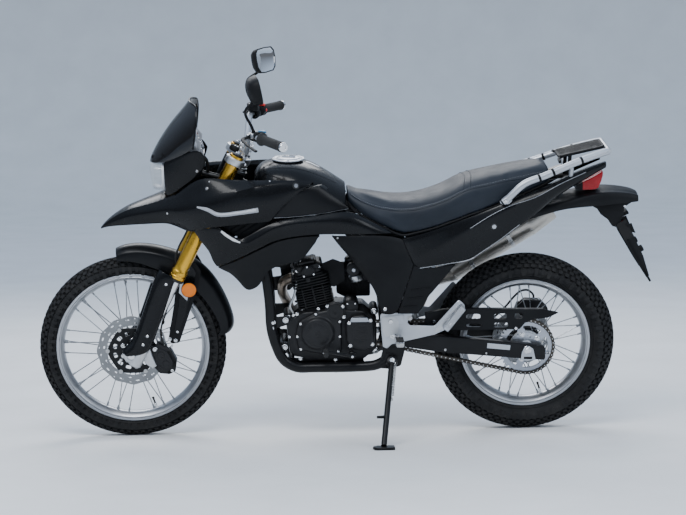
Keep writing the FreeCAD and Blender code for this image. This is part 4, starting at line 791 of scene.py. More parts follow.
def tooth(i, a):
    if i == 7:
        u = (a * N_T / (2 * math.pi)) % 1.0
        return 6.0 * max(0.0, math.cos(2 * math.pi * u)) ** 0.8 - 5.5 * max(0.0, -math.cos(2 * math.pi * u))
    return 0.0


polar_sheet(p, REAR, CH_Y, [22, 36, 46, 54, 68, 80, 87, 98.5], n,
            lambda i, k: (i == 3 and k % 48 in range(9, 40)) or (i == 4 and k % 48 in range(6, 42)) or (i == 1 and k % 48 in range(20, 29)), "steelblue", tooth)
make_sheet(p, 6.4, 1)
p = Piece("rear_sprocket_bolts", "rear_wheel", None, "steel")
for k in range(5):
    a = 2 * math.pi * (k) / 5
    p.bolt(REAR + V(math.cos(a), 0, math.sin(a)) * 50 + Y * (CH_Y + 3), Y, 7, 6, "chrome", "hex", washer=10)
p.lathe([(9, 50), (50, 50), (57, 56), (58, 58), (58, 72.5), (9, 72.5)], V(0, 0, 334), Y, "alu", 48, closed=True)
p.lathe([(9, 72), (24, 72), (24, 84), (20, 86), (9, 86)], V(0, 0, 334), Y, "alu", 36, closed=True)
p.make(smooth=35)


# chain: one closed loop of plates and rollers
def chain_path(c1, r1, c2, r2, count):
    d = c2 - c1
    D = math.hypot(d.x, d.z)
    base = math.atan2(d.z, d.x)
    b = math.acos((r1 - r2) / D)
    up, dn = base + b, base - b
    L = math.sqrt(D * D - (r1 - r2) ** 2)
    # start at the top of the rear sprocket, go forward
    segs = [("l", L), ("a2", r2 * (up - dn)), ("l2", L), ("a1", r1 * (2 * math.pi - (up - dn)))]
    total = sum(s for _, s in segs)
    P = lambda c, R, a: V(c.x + R * math.cos(a), 0, c.z + R * math.sin(a))
    pts = []
    for k in range(count):
        s = total * k / count
        if s < segs[0][1]:
            f = s / L
            pts.append(P(c1, r1, up).lerp(P(c2, r2, up), f))
            continue
        s -= segs[0][1]
        if s < segs[1][1]:
            pts.append(P(c2, r2, up - s / r2))
            continue
        s -= segs[1][1]
        if s < segs[2][1]:
            pts.append(P(c2, r2, dn).lerp(P(c1, r1, dn), s / L))
            continue
        s -= segs[2][1]
        pts.append(P(c1, r1, dn - s / r1))
    return pts, total


_, tot = chain_path(REAR, 100, V(600, 0, 405), 36, 10)
NL = int(round(tot / 15.875 / 2)) * 2
cpts, _ = chain_path(REAR, 100, V(600, 0, 405), 36, NL)
p = Piece("chain_links", "chassis", "chain")
for k in range(NL):
    a, b = cpts[k], cpts[(k + 1) % NL]
    t = (b - a).normalized()
    w = V(-t.z, 0, t.x)
    L = (b - a).length
    outer = k % 2 == 0
    out = []
    for c0, s0 in ((0, -1), (L, 1)):
        for j in range(5):
            ang = math.radians(-72 + 36 * j)
            out.append((c0 + s0 * math.cos(ang) * 6.9, s0 * math.sin(ang) * 6.9))
    out.insert(5, (L / 2, 4.9 * (1 if out[4][1] > 0 else -1)))
    out.append((L / 2, 4.9 * (1 if out[-1][1] > 0 else -1)))
    for s in (1, -1):
        y0, y1 = (6.0, 7.8) if outer else (3.9, 5.6)
        R0 = [[a + t * u * 1.0 + w * v + Y * (CH_Y + s * yy) for u, v in (out if yy != y1 else inset(out, 0.0))] for yy in (y0, y1)]
        p.rings(R0, "chain", cap0=True, cap1=True)
        if outer:
            for q in (a, b):
                p.lathe([(0, 0), (2.7, 0), (2.3, 0.9), (0, 1.1)], q + Y * (CH_Y + s * 7.6), V(0, s, 0), "steel", 7)
    p.cyl(a - Y * 3.8 + Y * CH_Y, a + Y * 3.8 + Y * CH_Y, 5.0, "chain", 8, ch=0.3)
p.make(smooth=30)
# small sprocket at the engine
p = Piece("output_sprocket", "chassis", None, "steel")
polar_sheet(p, V(600, 0, 405), CH_Y, [8, 14, 24, 34.5], 14 * 6, lambda i, k: False, "steel",
            lambda i, a: (5.0 * max(0.0, math.cos(14 * a)) - 4.5 * max(0.0, -math.cos(14 * a))) if i == 3 else 0.0)
make_sheet(p, 6.4, 1)

# ------------------------------------------------------------------ body skins
from mathutils.bvhtree import BVHTree

TO_BIKE = TO_WORLD.inverted()


def skin(name, body, nodes, verts, faces, mat, creases=(), sub=2, t=3.5, edge=0.9, mirror=True, smooth=30, out=Vector((0, 1, 0)),
         boundary='PRESERVE_CORNERS', slot=None):
    """Open surface from (x, z, y) points: subdivided, then thickened inward, edges eased.
    creases: (i, j, weight) by vertex number."""
    P = [V(x, y, z) for x, z, y in verts]
    tot = Vector()
    for f in faces:
        a, b, c = P[f[0]], P[f[1]], P[f[2]]
        tot += (b - a).cross(c - a)
    if tot.dot(out) < 0:
        faces = [f[::-1] for f in faces]
    allv, allf, allc = list(P), [list(f) for f in faces], [tuple(c) for c in creases]
    if mirror:
        k = len(P)
        onmid = {i for i, p in enumerate(P) if abs(p.y) < 0.01}
        idx = {i: (i if i in onmid else None) for i in range(k)}
        for i in range(k):
            if i not in onmid:
                idx[i] = len(allv)
                allv.append(V(P[i].x, -P[i].y, P[i].z))
        allf += [[idx[i] for i in f][::-1] for f in faces]
        allc += [(idx[a], idx[b], w) for a, b, w in creases]
    me = bpy.data.meshes.new(name)
    me.from_pydata([TO_WORLD @ p for p in allv], [], allf)
    me.materials.append(MAT[mat])
    me.update()
    if allc:
        bm = bmesh.new()
        bm.from_mesh(me)
        bm.verts.ensure_lookup_table()
        lay = bm.edges.layers.float.get("crease_edge") or bm.edges.layers.float.new("crease_edge")
        for a, b, w in allc:
            e = bm.edges.get((bm.verts[a], bm.verts[b]))
            if e:
                e[lay] = w
        bm.to_mesh(me)
        bm.free()
    ob = bpy.data.objects.new(name, me)
    bpy.context.scene.collection.objects.link(ob)
    if sub:
        md = ob.modifiers.new("sub", 'SUBSURF')
        md.levels = md.render_levels = sub
        md.boundary_smooth = boundary
    if t:
        md = ob.modifiers.new("thick", 'SOLIDIFY')
        md.thickness, md.offset = t / 1000, -1.0
        md.use_even_offset = False
    if edge:
        md = ob.modifiers.new("bevel", 'BEVEL')
        md.width, md.segments, md.limit_method, md.angle_limit = edge / 1000, 2, 'ANGLE', math.radians(48)
    dg = bpy.context.evaluated_depsgraph_get()
    me2 = bpy.data.meshes.new_from_object(ob.evaluated_get(dg))
    ob.modifiers.clear()
    ob.data = me2
    me2.polygons.foreach_set("use_smooth", [True] * len(me2.polygons))
    me2.set_sharp_from_angle(angle=math.radians(smooth))
    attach(ob, body)
    if nodes:
        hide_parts(*([nodes] if isinstance(nodes, str) else nodes))
    return ob


def grid_skin(name, body, nodes, rows, mat, cr_rows=(), cr_cols=(), **kw):
    n, m = len(rows), len(rows[0])
    verts = [p for r in rows for p in r]
    faces = [[i * m + j, i * m + j + 1, (i + 1) * m + j + 1, (i + 1) * m + j] for i in range(n - 1) for j in range(m - 1)]
    cr = []
    for i, w, a, b in cr_rows:
        cr += [(i * m + j, i * m + j + 1, w) for j in range(a, min(b, m - 1))]
    for j, w, a, b in cr_cols:
        cr += [(i * m + j, (i + 1) * m + j, w) for i in range(a, min(b, n - 1))]
    return skin(name, body, nodes, verts, faces, mat, creases=cr, **kw)


class Surface:
    """Finds where a line across the bike meets a finished piece."""

    def __init__(self, *obs):
        vs, fs = [], []
        for ob in obs:
            k = len(vs)
            vs += [TO_BIKE @ v.co for v in ob.data.vertices]
            fs += [[k + i for i in p.vertices] for p in ob.data.polygons]
        self.tree = BVHTree.FromPolygons(vs, fs)

    def y(self, x, z, side=1):
        hit = self.tree.ray_cast(V(x, side * 600, z), V(0, -side, 0))
        return (hit[0].y, hit[1]) if hit[0] is not None else (None, None)

    def top(self, x, y, z0=2000):
        hit = self.tree.ray_cast(V(x, y, z0), V(0, 0, -1))
        return (hit[0].z, hit[1]) if hit[0] is not None else (None, None)


def strip(p, surf, pts, widths, h, mat, side=1, sub=6, sink=1.5):
    """A raised band on the surface: pts (x, z) along it, widths across it."""
    P = [V(x, 0, z) for x, z in pts]
    path, w = spline(P, list(widths), sub) if len(P) > 2 else (P, list(widths))
    rings = []
    for i, q in enumerate(path):
        t = (path[min(i + 1, len(path) - 1)] - path[max(i - 1, 0)]).normalized()
        s = V(-t.z, 0, t.x)
        row = []
        for u, hh in ((-0.5, -sink), (-0.5, h * 0.6), (-0.38, h), (0.38, h), (0.5, h * 0.6), (0.5, -sink)):
            x, z = q.x + s.x * w[i] * u, q.z + s.z * w[i] * u
            y, n = surf.y(x, z, side)
            if y is None:
                y = rings[-1][len(row)].y if rings else 0
            row.append(V(x, y + side * hh, z))
        rings.append(row)
    p.rings(rings, mat)


def screw(p, surf, x, z, r, h, mat, side=1, kind="allen", washer=None, sink=0.6):
    y, n = surf.y(x, z, side)
    if y is None:
        return
    if n.y * side < 0:
        n = -n
    q = V(x, y, z) - n * sink
    if washer:
        p.lathe([(0, 0), (washer, 0), (washer, 1.4), (washer - 0.8, 2.0), (0, 2.0)], q, n, "rubber", 22)
        q = q + n * 1.6
    p.bolt(q, n, r, h, mat, kind)


# nose and upper shrouds in one smooth skin: rows from the middle outwards
R0 = [(1543, 794, 0), (1520, 823, 0), (1480, 853, 0), (1442, 874, 0), (1395, 895, 0), (1346, 914, 0), (1308, 931, 0)]
R1 = [(1542, 793, 7), (1522, 816, 19), (1482, 845, 33), (1440, 868, 46), (1392, 883, 59), (1341, 899, 76), (1302, 915, 88)]
R2 = [(1542, 791, 10), (1521, 806, 23), (1480, 826, 43), (1438, 845, 60), (1389, 858, 78), (1337, 868, 98), (1296, 878, 116)]
R3 = [(1541, 789, 8), (1521, 799, 20), (1480, 806, 37), (1438, 812, 53), (1388, 818, 70), (1335, 825, 88), (1292, 830, 104)]
R4 = [(1541, 789, 4), (1520, 797, 12), (1480, 803, 26), (1438, 809, 42), (1388, 815, 58), (1335, 821, 76), (1290, 826, 92)]
S0 = [(1262, 921, 84), (1226, 949, 96), (1190, 977, 108), (1160, 990, 120), (1108, 990, 134), (1050, 984, 146), (975, 984, 158), (895, 986, 164), (838, 981, 160), (772, 973, 152)]
S1 = [(1264, 932, 101), (1229, 962, 113), (1193, 989, 127), (1162, 1001, 142), (1110, 1001, 156), (1052, 996, 166), (977, 996, 178), (897, 997, 184), (836, 994, 180), (774, 986, 168)]
S2 = [(1250, 880, 144), (1205, 901, 170), (1165, 917, 188), (1120, 934, 200), (1076, 951, 208), (1032, 969, 212), (977, 980, 208), (900, 985, 198), (838, 977, 192), (790, 975, 182)]
S3 = [(1244, 838, 140), (1206, 850, 172), (1166, 868, 196), (1118, 884, 212), (1062, 898, 222), (1006, 908, 226), (946, 914, 222), (900, 920, 213), (868, 930, 206), (838, 948, 196)]
S4 = [(1240, 808, 122), (1209, 800, 142), (1176, 822, 172), (1112, 833, 196), (1062, 840, 206), (1010, 846, 210), (962, 849, 208), (930, 850, 204), (924, 855, 200), (918, 862, 196)]
S5 = [(1238, 810, 108), (1205, 806, 126), (1174, 826, 154), (1110, 836, 176), (1060, 842, 186), (1008, 848, 190), (960, 852, 188), (930, 854, 186), (926, 858, 184), (920, 866, 182)]
# inner edge of the nose runs on as a flange along the shroud
rows = [R0 + S0, R1 + S1, R2 + S2, R3 + S3, R4 + S4]
n_r0 = len(R0)
rows.append([(x, z + 2, max(y - 14, 0)) for x, z, y in R4] + S5)
verts = [p for r in rows for p in r]
m = len(rows[0])
faces = []
for i in range(len(rows) - 1):
    for j in range(m - 1):
        if i == 0 and j == n_r0 - 1:
            continue
        faces.append([i * m + j, i * m + j + 1, (i + 1) * m + j + 1, (i + 1) * m + j])
cr = []
for i, w in ((1, 0.55), (2, 0.35), (4, 0.75)):
    cr += [(i * m + j, i * m + j + 1, w) for j in range(m - 1)]
for j in range(n_r0, m - 4):
    cr.append((1 * m + j, 1 * m + j + 1, 0.85))
for j in range(n_r0 + 1, n_r0 + 6):
    cr.append((2 * m + j, 2 * m + j + 1, 0.9))
# facet behind: the crease turns down to the lower corner
cr += [(i * m + n_r0 + 6, (i + 1) * m + n_r0 + 6, 0.6) for i in (2, 3)]
nose = skin("nose_and_shrouds", "chassis", ["beak", "shrouds"], verts, faces, "gloss", creases=cr, sub=2, t=3.2, edge=0.8, out=Vector((0, 1, 0.6)))
SH = Surface(nose)

p = Piece("shroud_trim", "chassis", None, "silver_paint")
for s in (1, -1):
    strip(p, SH, [(1187, 903), (1150, 897), (1112, 881), (1040, 888), (970, 898)], [6, 13, 15, 15, 17], 1.6, "grey", s)
    strip(p, SH, [(1176, 901), (1150, 896), (1112, 881.5), (1040, 888), (978, 897)], [1.5, 6, 7, 7, 8], 2.4, "silver", s)
    screw(p, SH, 836, 976, 7.0, 4.5, "bolt", s, "allen", washer=12)
    screw(p, SH, 928, 994, 4.0, 2.2, "bolt", s, "round")
    screw(p, SH, 1150, 966, 5.4, 2.4, "bolt", s, "allen", washer=8)
    screw(p, SH, 1142, 989, 3.6, 2.0, "bolt", s, "round")
    screw(p, SH, 1296, 866, 4.0, 2.0, "steel", s, "round")
p.make(smooth=40)

# upper band of the lower fairing, from the scoop back under the seat's nose
B0 = [(1206, 815, 140), (1174, 820, 168), (1112, 831, 190), (1078, 806, 198), (1034, 787, 202), (985, 812, 202), (928, 847, 198), (860, 856, 188), (790, 861, 178), (715, 868, 166), (646, 877, 152), (573, 831, 142), (505, 797, 138)]
B1 = [(1178, 772, 152), (1140, 779, 178), (1086, 791, 200), (1050, 780, 208), (1012, 774, 212), (970, 797, 212), (922, 831, 209), (858, 842, 199), (786, 847, 189), (706, 852, 177), (632, 858, 164), (565, 822, 148), (503, 795, 141)]
B2 = [(1144, 731, 156), (1108, 741, 180), (1060, 760, 200), (1030, 762, 208), (996, 763, 210), (962, 785, 211), (918, 815, 209), (857, 827, 199), (783, 832, 190), (700, 836, 180), (625, 838, 169), (560, 813, 153), (501, 793, 144)]
B3 = [(1140, 703, 156), (1097, 716, 178), (1052, 736, 194), (1022, 744, 201), (991, 751, 205), (958, 773, 207), (916, 800, 206), (857, 812, 197), (780, 816, 187), (698, 818, 179), (620, 816, 171), (556, 803, 157), (500, 791, 147)]
B4 = [(1122, 678, 154), (1090, 692, 170), (1056, 709, 184), (1026, 725, 193), (999, 739, 198), (962, 758, 201), (925, 777, 200), (862, 791, 192), (780, 796, 182), (700, 794, 175), (618, 789, 168), (552, 790, 160), (498, 788, 149)]
B5 = [(1120, 680, 142), (1088, 694, 156), (1055, 711, 170), (1025, 727, 179), (998, 741, 184), (961, 760, 187), (924, 779, 186), (861, 793, 178), (780, 798, 168), (700, 796, 161), (618, 791, 154), (552, 792, 146), (498, 790, 137)]
BT = [(x, z - 3, y - 15) for x, z, y in B0]
band = grid_skin("fairing_upper", "chassis", None, [BT, B0, B1, B2, B3, B4, B5], "gloss",
                 cr_rows=[(1, 0.8, 0, 20), (5, 0.8, 0, 20), (2, 0.35, 0, 20)], cr_cols=[(0, 0.7, 0, 9), (4, 0.5, 0, 3), (2, 0.4, 0, 3)], t=3.2)
# belly, below the seam
L0 = [(1118, 673, 148), (1088, 686, 164), (1054, 702, 178), (997, 732, 191), (942, 760, 196), (899, 779, 194), (842, 786, 184), (795, 788, 175), (754, 786, 168)]
L1 = [(1102, 664, 150), (1068, 674, 166), (1032, 686, 180), (985, 708, 190), (938, 728, 192), (892, 742, 188), (838, 756, 178), (800, 766, 171), (762, 778, 166)]
L2 = [(1078, 652, 148), (1052, 656, 162), (1018, 664, 174), (978, 676, 182), (942, 684, 184), (892, 694, 180), (832, 702, 172), (802, 722, 166), (768, 762, 162)]
L3 = [(1056, 632, 146), (1038, 628, 154), (1010, 632, 164), (972, 648, 172), (955, 668, 178), (908, 684, 176), (828, 692, 170), (804, 714, 163), (772, 757, 160)]
L4 = [(1041, 613, 144), (1024, 590, 148), (1005, 585, 156), (970, 605, 164), (956, 640, 172), (926, 681, 172), (825, 690, 166), (806, 711, 160), (775, 754, 158)]
LT = [(x, z + 3, y - 14) for x, z, y in L0]
LB = [(x, z + 2, y - 16) for x, z, y in L4]
belly = grid_skin("fairing_lower", "chassis", "lower_fairings", [LT, L0, L1, L2, L3, L4, LB], "gloss2",
                  cr_rows=[(1, 0.85, 0, 20), (3, 0.45, 0, 5), (5, 0.8, 0, 20)], cr_cols=[(0, 0.7, 0, 9), (4, 0.3, 3, 6)], t=3.2)
# scoop mouth behind the band, and the bright trim along its lower lip
p = Piece("scoop_grille", "chassis", None, "black_plastic")
for s in (1, -1):
    o = [V(1120, s * 158, 842), V(1030, s * 168, 776), V(960, s * 168, 820), V(915, s * 166, 862)]
    p.slab(o, (0, s, 0), 2.0, "plastic", 0.5)
    for k in range(5):
        f = (k + 0.7) / 5.4
        a, b = V(1106, s * 166, 838).lerp(V(1034, s * 172, 786), f), V(1106, s * 166, 838).lerp(V(930, s * 172, 856), f)
        p.sweep([a, (a + b) / 2 + V(0, s * 3, 0), b], 2.2, "plastic", 6, 3)
p.make(smooth=35)
BN = Surface(band, belly)
p = Piece("scoop_trim", "chassis", None, "silver_paint")
for s in (1, -1):
    strip(p, BN, [(1103, 817), (1086, 804), (1062, 789), (1036, 778)], [8, 9, 9, 5], 1.8, "white", s)
p.make(smooth=40)

# knee panels beside the tank
K0 = [(843, 946, 188), (820, 955, 182), (790, 963, 172), (762, 968, 158), (747, 965, 149), (728, 950, 143)]
K1 = [(882, 905, 191), (832, 906, 187), (782, 908, 177), (732, 912, 162), (706, 915, 152), (684, 914, 141)]
K2 = [(917, 864, 193), (850, 865, 186), (780, 869, 175), (712, 875, 160), (672, 880, 150), (648, 882, 143)]
KT = [(x - 8, z + 2, y - 18) for x, z, y in K0]
KB = [(x, z - 6, y - 8) for x, z, y in K2]
knee = grid_skin("knee_panels", "chassis", None, [KT, K0, K1, K2, KB], "gloss2", cr_rows=[(1, 0.7, 0, 9), (3, 0.9, 0, 9)], cr_cols=[(5, 0.6, 0, 9), (0, 0.6, 0, 9)], t=3.0)
# thin pale line along the seam under the knee panel
KS = Surface(knee, band)
p = Piece("seam_line", "chassis", None, "silver_paint")
for s in (1, -1):
    strip(p, KS, [(914, 861.5), (850, 861.5), (780, 865), (712, 871.5), (650, 878.5)], [2.6] * 5, 0.9, "grey", s, sub=8)
p.make(smooth=40)

# side panels: flat facets with eased edges
sv = {"a0": (712, 786, 163), "a1": (640, 786, 168), "a2": (570, 785, 164), "a3": (500, 779, 152), "a4": (458, 764, 142),
      "b0": (702, 771, 167), "b1": (600, 757, 178), "b2": (503, 716, 170), "b3": (418, 671, 151),
      "c1": (632, 708, 177), "c2": (563, 648, 179), "c3": (479, 667, 166),
      "d1": (657, 716, 160), "d2": (612, 655, 158), "d3": (586, 620, 154), "d4": (551, 569, 150), "d5": (539, 484, 148),
      "e1": (515, 595, 162), "e2": (503, 540, 158), "e3": (500, 486, 155), "f1": (447, 578, 152), "f2": (475, 490, 151)}
keys = list(sv)
ix = {k: i for i, k in enumerate(keys)}
sf = ["a0 a1 b1 b0", "a1 a2 b1", "a2 a3 b2 b1", "a3 a4 b3 b2", "b0 b1 c1", "b1 c2 c1", "b1 b2 c3 c2", "b2 b3 c3",
      "b0 c1 d1", "c1 c2 d2 d1", "c2 d3 d2", "c2 c3 f1 e1", "c3 b3 f1", "c2 e1 d3", "d3 e1 e2 d4", "e1 f1 f2 e2", "e2 f2 e3", "d4 e2 e3 d5"]
# inward returns along the free edges
ring = ["a0", "b0", "d1", "d2", "d3", "d4", "d5", "e3", "f2", "f1", "b3"]
for k in ring:
    x, z, y = sv[k]
    sv[k + "_"] = (x - 5 if k[0] in "abd" else x + 2, z - (3 if k in ("a0", "b0", "d1") else 0), y - 16)
keys = list(sv)
ix = {k: i for i, k in enumerate(keys)}
faces = [[ix[k] for k in f.split()] for f in sf]
for a, b in zip(ring[:-1], ring[1:]):
    faces.append([ix[a], ix[b], ix[b + "_"], ix[a + "_"]])
cr = []
for line, w in (("b0 c1 c2 c3", 0.9), ("b1 b2 b3", 0.55), ("a0 b0 d1 d2 d3 d4 d5 e3 f2 f1 b3", 0.85), ("a0 a1 a2 a3 a4", 0.9), ("c2 e1 e2 e3", 0.25), ("a4 b3", 0.8)):
    q = line.split()
    cr += [(ix[a], ix[b], w) for a, b in zip(q[:-1], q[1:])]
side_a = skin("side_panels_front", "chassis", "side_panels", [sv[k] for k in keys], faces, "plastic2", creases=cr, sub=2, t=3.0)
G = {"b3": (416, 668, 148), "g1": (390, 650, 146), "g2": (294, 664, 140), "g3": (268, 665, 134), "h4": (306, 617, 134), "h3": (366, 548, 140), "h2": (383, 515, 141), "h1": (402, 487, 143),
     "f2": (473, 490, 148), "f1": (445, 578, 149), "m1": (400, 600, 149), "m2": (430, 520, 148)}
gi = {k: i for i, k in enumerate(G)}
gf = ["b3 g1 m1 f1", "g1 g2 h4 m1", "g2 g3 h4", "m1 h4 h3", "f1 m1 h3 m2", "m2 h3 h2", "f1 m2 f2", "m2 h2 h1 f2"]
gl = list(G.values())
rim = ["g3", "h4", "h3", "h2", "h1", "f2"]
for k in rim:
    x, z, y = G[k]
    gi[k + "_"] = len(gl)
    gl.append((x + 4, z + 3, y - 18))
gfaces = [[gi[k] for k in f.split()] for f in gf] + [[gi[a], gi[b], gi[b + "_"], gi[a + "_"]] for a, b in zip(rim[:-1], rim[1:])]
cr = []
for line, w in (("g3 h4 h3 h2 h1 f2", 0.8), ("b3 g1 g2 g3", 0.9), ("b3 f1 f2", 0.9)):
    q = line.split()
    cr += [(gi[a], gi[b], w) for a, b in zip(q[:-1], q[1:])]
side_b = skin("side_panels_rear", "chassis", None, gl, gfaces, "plastic2", creases=cr, sub=2, t=3.0)
SD = Surface(side_a, side_b)
p = Piece("side_panel_details", "chassis", None, "black_plastic")
for s in (1, -1):
    for a, b in (((428, 577), (352, 582)), ((466, 513), (404, 516)), ((438, 545), (378, 549))):
        strip(p, SD, [a, ((a[0] + b[0]) / 2, (a[1] + b[1]) / 2), b], [3.0, 4.5, 2.5], 2.2, "plastic2", s, sub=4)
    screw(p, SD, 521, 508, 6.5, 3.5, "chrome", s, "allen", washer=9)
    screw(p, SD, 690, 778, 4.0, 2.0, "steel", s, "round")
p.make(smooth=40)

# tail panels
T0 = [(458, 763, 138), (358, 789, 140), (270, 821, 140), (179, 852, 140), (108, 883, 138), (40, 908, 132), (-30, 932, 124), (-105, 963, 112), (-190, 996, 92), (-281, 1019, 68)]
T1 = [(416, 673, 150), (344, 712, 152), (285, 757, 152), (181, 822, 152), (108, 862, 149), (40, 891, 145), (-30, 913, 139), (-105, 950, 126), (-190, 985, 105), (-281, 1012, 77)]
T2 = [(403, 662, 149), (330, 682, 151), (262, 714, 152), (178, 762, 152), (104, 802, 149), (36, 842, 144), (-32, 874, 136), (-105, 918, 122), (-190, 962, 103), (-281, 1006, 77)]
T3 = [(391, 651, 144), (294, 666, 143), (212, 680, 141), (169, 707, 139), (104, 750, 137), (33, 804, 133), (-28, 846, 125), (-95, 903, 111), (-188, 951, 93), (-281, 998, 69)]
T4 = [(392, 654, 130), (294, 669, 128), (212, 684, 126), (169, 711, 124), (104, 755, 121), (33, 809, 117), (-28, 851, 109), (-95, 908, 96), (-188, 956, 79), (-279, 1001, 56)]
TT = [(x, z - 2, y - 22) for x, z, y in T0]
tail = grid_skin("tail_panels_skin", "chassis", "tail_panels", [TT, T0, T1, T2, T3, T4], "gloss",
                 cr_rows=[(1, 0.7, 0, 20), (2, 0.8, 0, 20), (4, 0.85, 0, 20)], cr_cols=[(0, 0.6, 0, 9), (9, 0.6, 0, 9)], t=3.0)
TL = Surface(tail)
p = Piece("tail_details", "chassis", None, "silver_paint")
for s in (1, -1):
    screw(p, TL, 129, 806, 7.5, 3.0, "silver", s, "allen", washer=12)
    strip(p, TL, [(395, 656), (300, 669), (216, 684), (172, 710), (107, 754), (36, 808)], [2.6] * 6, 1.0, "grey", s, sub=8)
    strip(p, TL, [(214, 802), (143, 846), (72, 880), (-21, 909), (-110, 952), (-205, 989)], [1.6] * 6, 0.8, "grey", s, sub=8)
p.make(smooth=40)

# ------------------------------------------------------------------ tank, cap, screen, lamp, seat
def half_loft(name, body, node, secs, mat, sub=2, smooth=40, crease_lines=(), caps=True, edge=0.0, t=0.0, out=None):
    """Closed body from half sections (x, [(y, z) from the top middle round to the bottom middle])."""
    n = len(secs[0][1])
    verts, idx = [], {}
    full = 2 * n - 2
    for i, (x, pts) in enumerate(secs):
        ring = [(y, z) for y, z in pts] + [(-y, z) for y, z in pts[1:-1]][::-1]
        for j, (y, z) in enumerate(ring):
            xx = x(y, z) if callable(x) else x
            verts.append(V(xx, y, z))
    faces = []
    for i in range(len(secs) - 1):
        for j in range(full):
            faces.append([i * full + j, i * full + (j + 1) % full, (i + 1) * full + (j + 1) % full, (i + 1) * full + j])
    if caps:
        for base in (0, (len(secs) - 1) * full):
            for j in range(n - 1):
                a, b = base + j, base + j + 1
                c, d = base + (full - j - 1) % full if j < n - 2 else base + n - 1, base + (full - j) % full
                q = []
                for v in (a, b, c, d):
                    if v not in q:
                        q.append(v)
                if len(q) > 2:
                    faces.append(q)
    me = bpy.data.meshes.new(name)
    me.from_pydata([TO_WORLD @ p for p in verts], [], faces)
    me.materials.append(MAT[mat])
    bm = bmesh.new()
    bm.from_mesh(me)
    bmesh.ops.recalc_face_normals(bm, faces=bm.faces)
    bm.verts.ensure_lookup_table()
    lay = bm.edges.layers.float.get("crease_edge") or bm.edges.layers.float.new("crease_edge")
    for j, w, i0, i1 in crease_lines:
        for i in range(i0, min(i1, len(secs) - 1)):
            for jj in (j, (full - j) % full):
                e = bm.edges.get((bm.verts[i * full + jj], bm.verts[(i + 1) * full + jj]))
                if e:
                    e[lay] = w
    if caps:
        for i in (0, len(secs) - 1):
            for j in range(full):
                e = bm.edges.get((bm.verts[i * full + j], bm.verts[i * full + (j + 1) % full]))
                if e:
                    e[lay] = 0.75
    bm.to_mesh(me)
    bm.free()
    ob = bpy.data.objects.new(name, me)
    bpy.context.scene.collection.objects.link(ob)
    md = ob.modifiers.new("sub", 'SUBSURF')
    md.levels = md.render_levels = sub
    dg = bpy.context.evaluated_depsgraph_get()
    me2 = bpy.data.meshes.new_from_object(ob.evaluated_get(dg))
    ob.modifiers.clear()
    ob.data = me2
    me2.polygons.foreach_set("use_smooth", [True] * len(me2.polygons))
    me2.set_sharp_from_angle(angle=math.radians(smooth))
    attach(ob, body)
    if node:
        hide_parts(*([node] if isinstance(node, str) else node))
    return ob


tank = half_loft("tank_body", "chassis", "fuel_tank", [
    (984, [(0, 984), (40, 982), (66, 972), (74, 950), (72, 936), (60, 926), (0, 926)]),
    (966, [(0, 1016), (48, 1013), (82, 1000), (104, 966), (102, 938), (92, 912), (0, 958)]),
    (930, [(0, 1031), (58, 1028), (100, 1013), (132, 972), (130, 930), (94, 895), (0, 936)]),
    (870, [(0, 1036), (66, 1033), (116, 1014), (156, 968), (158, 905), (100, 868), (0, 906)]),
    (815, [(0, 1033), (68, 1029), (120, 1006), (160, 958), (162, 890), (102, 856), (0, 884)]),
    (765, [(0, 1014), (64, 1009), (112, 984), (150, 940), (152, 880), (102, 852), (0, 872)]),
    (715, [(0, 984), (58, 979), (100, 956), (134, 920), (140, 872), (100, 850), (0, 860)]),
    (680, [(0, 962), (50, 956), (88, 934), (118, 902), (128, 866), (98, 850), (0, 854)]),
    (657, [(0, 946), (46, 940), (80, 920), (106, 894), (116, 866), (96, 852), (0, 852)]),
], "gloss", sub=2, crease_lines=[(2, 0.25, 0, 9), (5, 0.6, 0, 9)])
TK = Surface(tank)

p = Piece("tank_cap_lid", "chassis", "fuel_cap")
cap_c, cap_n = V(860, 0, 1033), V(0.055, 0, 1).normalized()
p.lathe([(0, 0), (57, 0), (58.5, 1.5), (58.5, 3.4), (57, 4.8), (49, 5.4), (47, 4.2), (44, 4.2), (42.5, 6.6), (40, 7.8), (20, 9.3), (0, 9.6)], cap_c, cap_n, "silver", 64, start=V(1, 0, 0))
for k in range(5):
    a = 2 * math.pi * k / 5 + 0.3
    q = cap_c + V(math.cos(a), 0, 0) * 51 + Y * 51 * math.sin(a) + cap_n * (4.6 - 0.055 * 51 * math.cos(a) * 0.9)
    p.bolt(q, cap_n, 3.6, 2.2, "chrome", "allen")
f = lambda a, b, h: cap_c + V(1, 0, -0.055) * a + Y * b + cap_n * h
p.slab([f(-26, -13, 8.4), f(14, -13, 8.4), f(22, -6, 8.4), f(22, 6, 8.4), f(14, 13, 8.4), f(-26, 13, 8.4)], cap_n, 4.2, "chrome", 1.2)
p.lathe([(0, 12.0), (6.2, 12.0), (6.2, 13.0), (5.0, 13.4), (0, 13.2)], f(2, 0, 0), cap_n, "steel", 20)
p.slab([f(0.5, -0.9, 13.2), f(3.5, -0.9, 13.2), f(3.5, 0.9, 13.2), f(0.5, 0.9, 13.2)], cap_n, 0.5, "plastic", 0.1)
p.make(smooth=35)

# moulded cover lines on the tank: a top spine and a seam behind the cap
p = Piece("tank_details", "chassis", None, "silver_paint")


